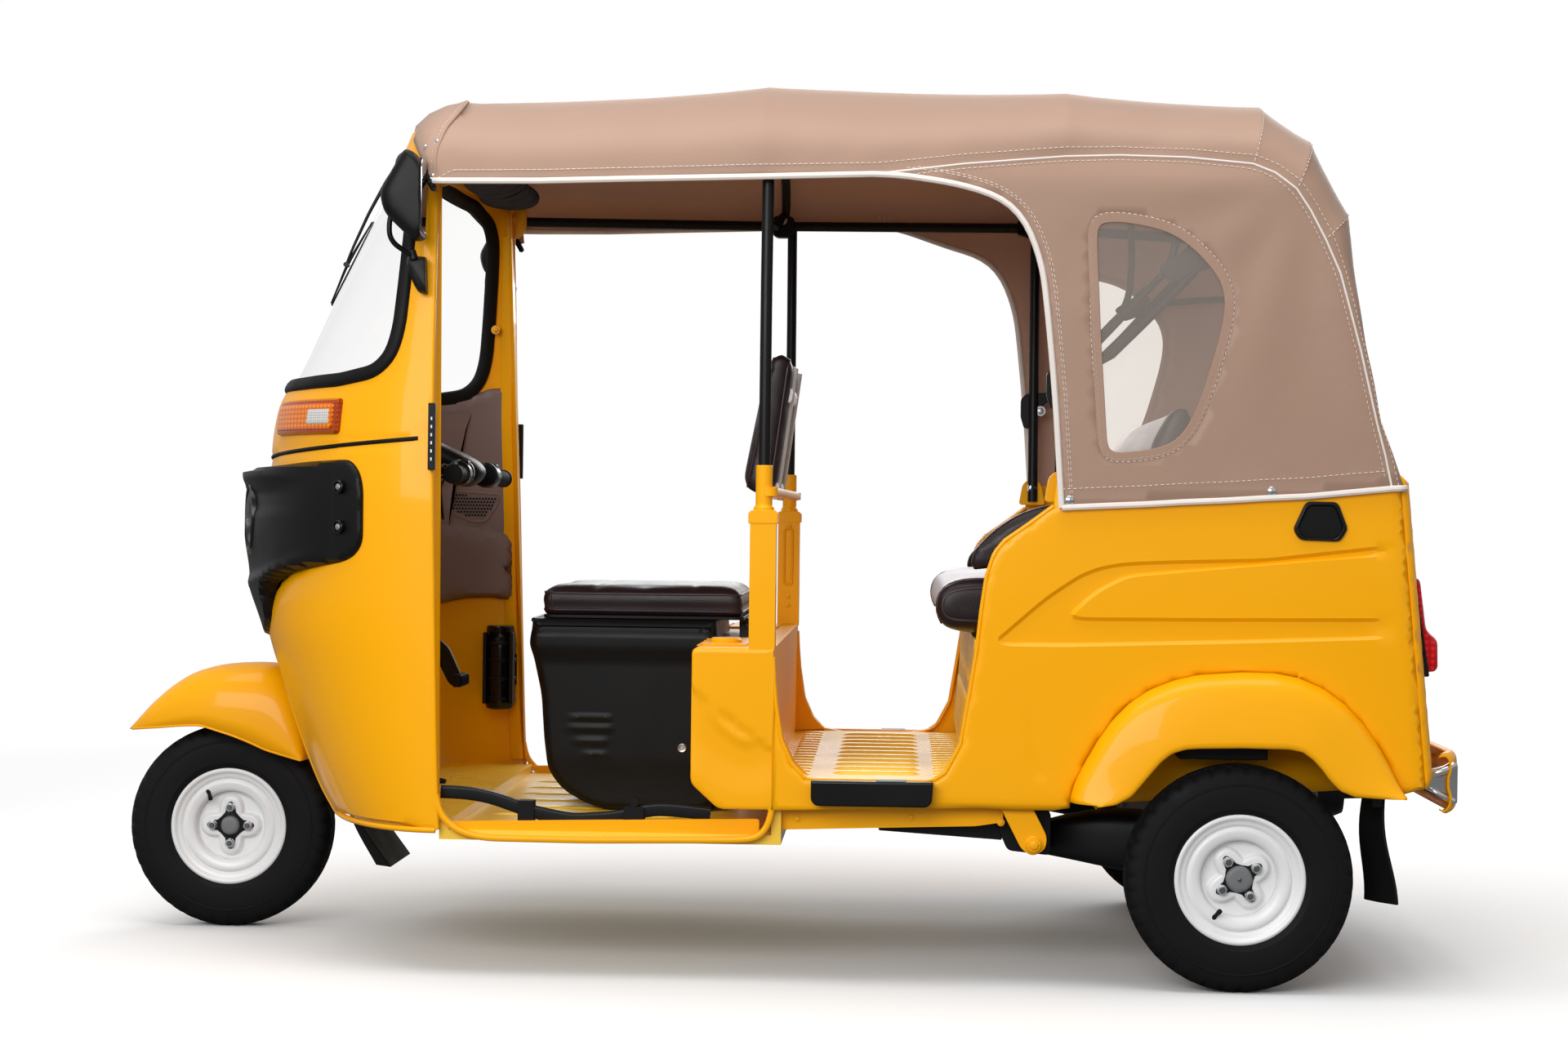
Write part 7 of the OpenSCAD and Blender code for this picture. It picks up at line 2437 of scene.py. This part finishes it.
def handlebar():
    """Handlebar with its cover, grips, pods, levers and cables."""
    stem = FOOT + 858 * UP_STEM
    bar_centre = stem - 138 * np.array((math.cos(RAKE), 0, math.sin(RAKE)))
    x, z = bar_centre[0], bar_centre[2]
    tubes, grips, pods, levers = Form(), Form(), Form(), Form()
    for side in (1, -1):
        bar = smooth([(x + 44, side * 40, z + 12), (x + 34, side * 120, z + 10), (x + 8, side * 205, z + 3),
                      (x, side * 250, z)], 10, passes=4)
        tubes.tube(bar, 12, 14)
        grip = [(-2, 15), (0, 19), (4, 19), (5, 16)]
        for k in range(13):
            grip += [(8 + 8 * k, 16), (10 + 8 * k, 17.4), (13 + 8 * k, 17.4), (15 + 8 * k, 16)]
        grip += [(112, 16.5), (114, 19.5), (119, 19.5), (122, 17), (123, 0.1)]
        grips.turn(grip, (x - 2, side * 222, z), unit((-0.06, side, -0.01)), 28)
        pods.turn([(0, 20), (3, 24), (40, 25), (44, 22), (48, 17)], (x + 1, side * 174, z + 2), (0, side, 0),
                  28)
        pods.turn([(0, 24), (4, 27), (16, 27), (20, 23)], (x + 3, side * 152, z + 4), (0, side, 0), 28)
        pods.turn([(-3, 11), (13, 11), (16, 8)], (x + 24, side * 196, z + 6), (0.9, 0, 0.4), 20)
        for k in (0, 1):
            pods.prism(rounded([(x - 18, z + 18), (x - 2, z + 22), (x - 2, z + 30), (x - 18, z + 27)], 3),
                       side * (182 + 17 * k) - 6, side * (182 + 17 * k) + 6)
        lever = smooth([(x + 20, side * 168, z - 4), (x + 44, side * 190, z - 6), (x + 52, side * 240, z - 8),
                        (x + 46, side * 300, z - 10), (x + 40, side * 336, z - 10)], 10, passes=3)
        levers.tube(lever, np.linspace(7, 4.6, len(lever)), 10, flat=0.6)
        levers.turn([(-6, 6), (0, 7.5), (6, 6)], lever[-1], (0, side, 0), 14)
        cable = smooth([(x + 30, side * 160, z), (x + 66, side * 120, z + 16), (x + 84, side * 60, z - 20),
                        (x + 70, side * 26, z - 90)], 10, passes=4)
        tubes.tube(cable, 3.4, 8)
    nacelle = []
    for k, (h, sx, sy) in enumerate(((-34, 30, 34), (-26, 44, 52), (-6, 54, 66), (14, 56, 70), (26, 48, 62),
                                     (33, 30, 40))):
        nacelle.append([bar_centre + 62 * np.array((math.cos(RAKE), 0, math.sin(RAKE))) + h * UP_STEM +
                        np.array((math.cos(RAKE), 0, math.sin(RAKE))) * (1.45 * sx) * math.copysign(
                            abs(math.cos(t)) ** 0.7, math.cos(t)) +
                        np.array((0, 1.0, 0)) * sy * math.copysign(abs(math.sin(t)) ** 0.7, math.sin(t))
                        for t in np.linspace(0, 2 * math.pi, 33)[:-1]])
    cover = Form()
    cover.loft(nacelle)
    cover.make("handlebar_cover", ABS, body="steering", smoothing=1, replaces=["handlebar"],
               slot="black_plastic",
               sharp=80)
    tubes.make("handlebar_tubes_and_cables", BLACK_STEEL, body="steering", slot="black_steel")
    grips.make("handlebar_grips", EPDM, body="steering", slot="rubber_trim")
    pods.make("handlebar_switch_pods", ABS_GLOSS, body="steering", bevel=1, slot="black_plastic")
    levers.make("handlebar_levers", BLACK_STEEL, body="steering", slot="black_steel")


def fork_and_suspension():
    """Springs and dampers, trailing arms, drive shafts, gearbox casing and exhaust."""
    repaint("fork", BLACK_STEEL)
    coils, dampers = Form(), Form()

    def coil(form, low, high, radius, wire, turns):
        low, high = np.asarray(low, float), np.asarray(high, float)
        along = unit(high - low)
        side = unit(np.cross(along, (0, 1, 0.1)))
        up = np.cross(along, side)
        ts = np.linspace(0, 1, turns * 14)
        form.tube([low + (high - low) * t + radius * (math.cos(t * turns * 2 * math.pi) * side +
                  math.sin(t * turns * 2 * math.pi) * up) for t in ts], wire, 6)
    low = (FRONT_AXLE - 62, -96, AXLE_Z + 34)
    high = tuple(FOOT + 258 * UP_STEM + np.array((0, -86.0, 0)))
    front_coil, front_damper = Form(), Form()
    coil(front_coil, low, high, 21, 4.5, 8)
    front_damper.tube([low, high], 12, 16)
    front_damper.turn([(-12, 11), (12, 11)], low, (0, 1, 0), 20)
    front_coil.make("front_spring", BLACK_STEEL, body="steering", slot="black_steel")
    front_damper.make("front_damper", TURNED, body="steering", slot="cast_metal")

    arm_mid = HALF_W - 180
    for side in (1, -1):
        low, high = (REAR_AXLE + 40, side * arm_mid, AXLE_Z + 56), (REAR_AXLE + 24, side * arm_mid, 436)
        coil(coils, low, high, 30, 5.5, 7)
        dampers.tube([low, np.array(high) * 0.45 + np.array(low) * 0.55], 19, 20)
        dampers.tube([low, high], 9, 16)
        dampers.turn([(-3, 36), (3, 36)], low, (0, 0, 1), 28)
        dampers.turn([(-3, 36), (3, 36)], high, (0, 0, 1), 28)
    coils.make("rear_springs", BLACK_STEEL, slot="black_steel")
    dampers.make("rear_dampers", BLACK_STEEL, replaces=["shock_absorbers"], slot="black_steel")

    arms, brackets, bolts = Form(), Form(), Form()
    pivot = (REAR_AXLE + 372, 256)
    for side in (1, -1):
        rings = []
        for x, z, hz, y0, y1 in ((pivot[0] + 20, 256, 16, 400, 440), (pivot[0], 256, 26, 398, 442),
                                 (pivot[0] - 60, 262, 40, 384, 470), (REAR_AXLE + 215, 262, 58, 372, 508),
                                 (REAR_AXLE + 120, 250, 62, 372, 510), (REAR_AXLE + 40, 216, 60, 388, 508),
                                 (REAR_AXLE - 30, 208, 52, 392, 500), (REAR_AXLE - 52, 208, 30, 396, 480)):
            ring = []
            for k in range(20):
                t = 2 * math.pi * k / 20
                cy, sy = math.cos(t), math.sin(t)
                ring.append((x, side * ((y0 + y1) / 2 + (y1 - y0) / 2 * math.copysign(abs(cy) ** 0.45, cy)),
                             z + hz * math.copysign(abs(sy) ** 0.45, sy)))
            rings.append(ring)
        arms.loft(rings)
        bracket = rounded([(-455, 352), (-512, 352), (-551, 276), (-547, 252), (-524, 240), (-504, 252),
                           (-470, 318)],
                          [4, 10, 14, 16, 16, 16, 20], 5)
        for y in (HALF_W - 20, HALF_W - 40):
            brackets.prism(bracket, side * y - 3, side * y + 3)
        brackets.tube([(-526, side * 396, 261), (-526, side * (HALF_W - 14), 261)], 12, 20)
        bolts.turn([(0, 17), (3, 17), (4, 14), (8, 13)], (-526, side * (HALF_W - 17), 262), (0, side, 0), 28)
        bolts.bolt((-526, side * (HALF_W - 10), 262), (0, side, 0), 18)
        bolts.turn([(0, 21), (10, 21)], (REAR_AXLE, side * 506, AXLE_Z), (0, side, 0), 30)
    arms.make("suspension_arms", BLACK_STEEL, replaces=["trailing_arms"], smoothing=1, slot="black_steel",
              sharp=60)
    brackets.make("suspension_brackets", ENAMEL, bevel=2, slot="body_paint")
    bolts.make("suspension_bolts", ENAMEL, bevel=0.8, slot="body_paint")

    repaint("drive_shafts", TURNED)
    boots = Form()
    for side in (1, -1):
        for y0, way in ((200, 1), (372, -1)):
            profile = [(0, 46)]
            for k in range(6):
                profile += [(4 + 12 * k, 46 - 4 * k), (10 + 12 * k, 36 - 4 * k)]
            profile.append((76, 16))
            boots.turn(profile, (REAR_AXLE, side * y0, AXLE_Z), (0, side * way, 0), 32)
    boots.make("drive_shaft_boots", EPDM, slot="rubber_trim")

    case, block, pipe = Form(), Form(), Form()
    a = REAR_AXLE
    side_view = rounded([(a + 168, 250), (a + 150, 198), (a + 40, 192), (a - 60, 192), (a - 150, 200),
                         (a - 214, 260),
                         (a - 214, 380), (a - 170, 430), (a - 20, 436), (a + 60, 420), (a + 160, 360)], 34, 5)
    centre = np.mean(side_view, axis=0)
    case.loft([[(centre[0] + (x - centre[0]) * s, y, centre[1] + (z - centre[1]) * s) for x, z in side_view]
               for y, s in ((-188, 0.6), (-182, 0.78), (-150, 0.9), (-60, 1.0), (70, 1.0), (150, 0.92),
                            (184, 0.8),
                            (190, 0.62))])
    for y in (-60, 70):
        case.loft([[(centre[0] + (x - centre[0]) * s, yy, centre[1] + (z - centre[1]) * s) for x,
                    z in side_view]
                   for yy, s in ((y - 5, 1.0), (y - 4, 1.035), (y + 4, 1.035), (y + 5, 1.0))])
    for x in (a - 170, a - 60, a + 60, a + 130):
        for y in (-60, 70):
            case.turn([(-16, 7), (16, 7)], (x, y, 200 if abs(x - a) < 100 else 222), (0, 1, 0), 14)
    lean = unit((0.55, 0, 0.83))
    foot = np.array((a + 10, 0, 420.0))
    for k in range(9):
        at = foot + lean * (6 + 15 * k)
        size = 66 - (10 if k > 6 else 0)
        ring = rounded([(-size, -size), (size, -size), (size, size), (-size, size)], 14, 4)
        across = np.array((lean[2], 0, -lean[0]))
        block.loft([[at + u * across + v * np.array((0, 1.0, 0)) + lean * h for u, v in ring] for h in (-3,
                                                                                                        3)])
    block.turn([(0, 48), (150, 48), (158, 40)], foot, lean, 32)
    for side in (1, -1):
        beam = Form()
        beam.prism(rounded([(-455, 300), (-480, 244), (-560, 236), (-560, 318), (-500, 330)], 10),
                   side * 470 - 60, side * 470 + 60)
        beam.prism(rounded([(-240, 286), (-240, 276), (-470, 262), (-470, 300)], 3),
                   side * 470 - 50, side * 470 + 50)
        beam.make("arm_pivot_beam_left" if side > 0 else "arm_pivot_beam_right", BLACK_STEEL, bevel=2,
                  slot="black_steel")
    for x in (a - 150, a + 90):
        for side in (1, -1):
            block.span((x, side * 216 - 36, 376), (x + 40, side * 216 + 34, 390))
    pipe.tube(smooth([(a + 120, -60, 470), (a + 170, -130, 420), (a + 120, -230, 330), (a - 40, -262, 290),
                      (a - 120, -262, 286)], 16), 15, 14)
    pipe.turn([(0, 20), (10, 44), (24, 50), (196, 50), (210, 44), (216, 14), (262, 12)], (a - 110, -262, 286),
              (-1, 0, 0), 36)
    case.make("gearbox_casing", CAST, replaces=["engine"], bevel=2, slot="cast_metal")
    block.make("finned_cylinder", CAST, bevel=0.8, slot="cast_metal")
    pipe.make("exhaust_pipe_and_silencer", BLACK_STEEL, slot="black_steel")


mudguard()
handlebar()
fork_and_suspension()
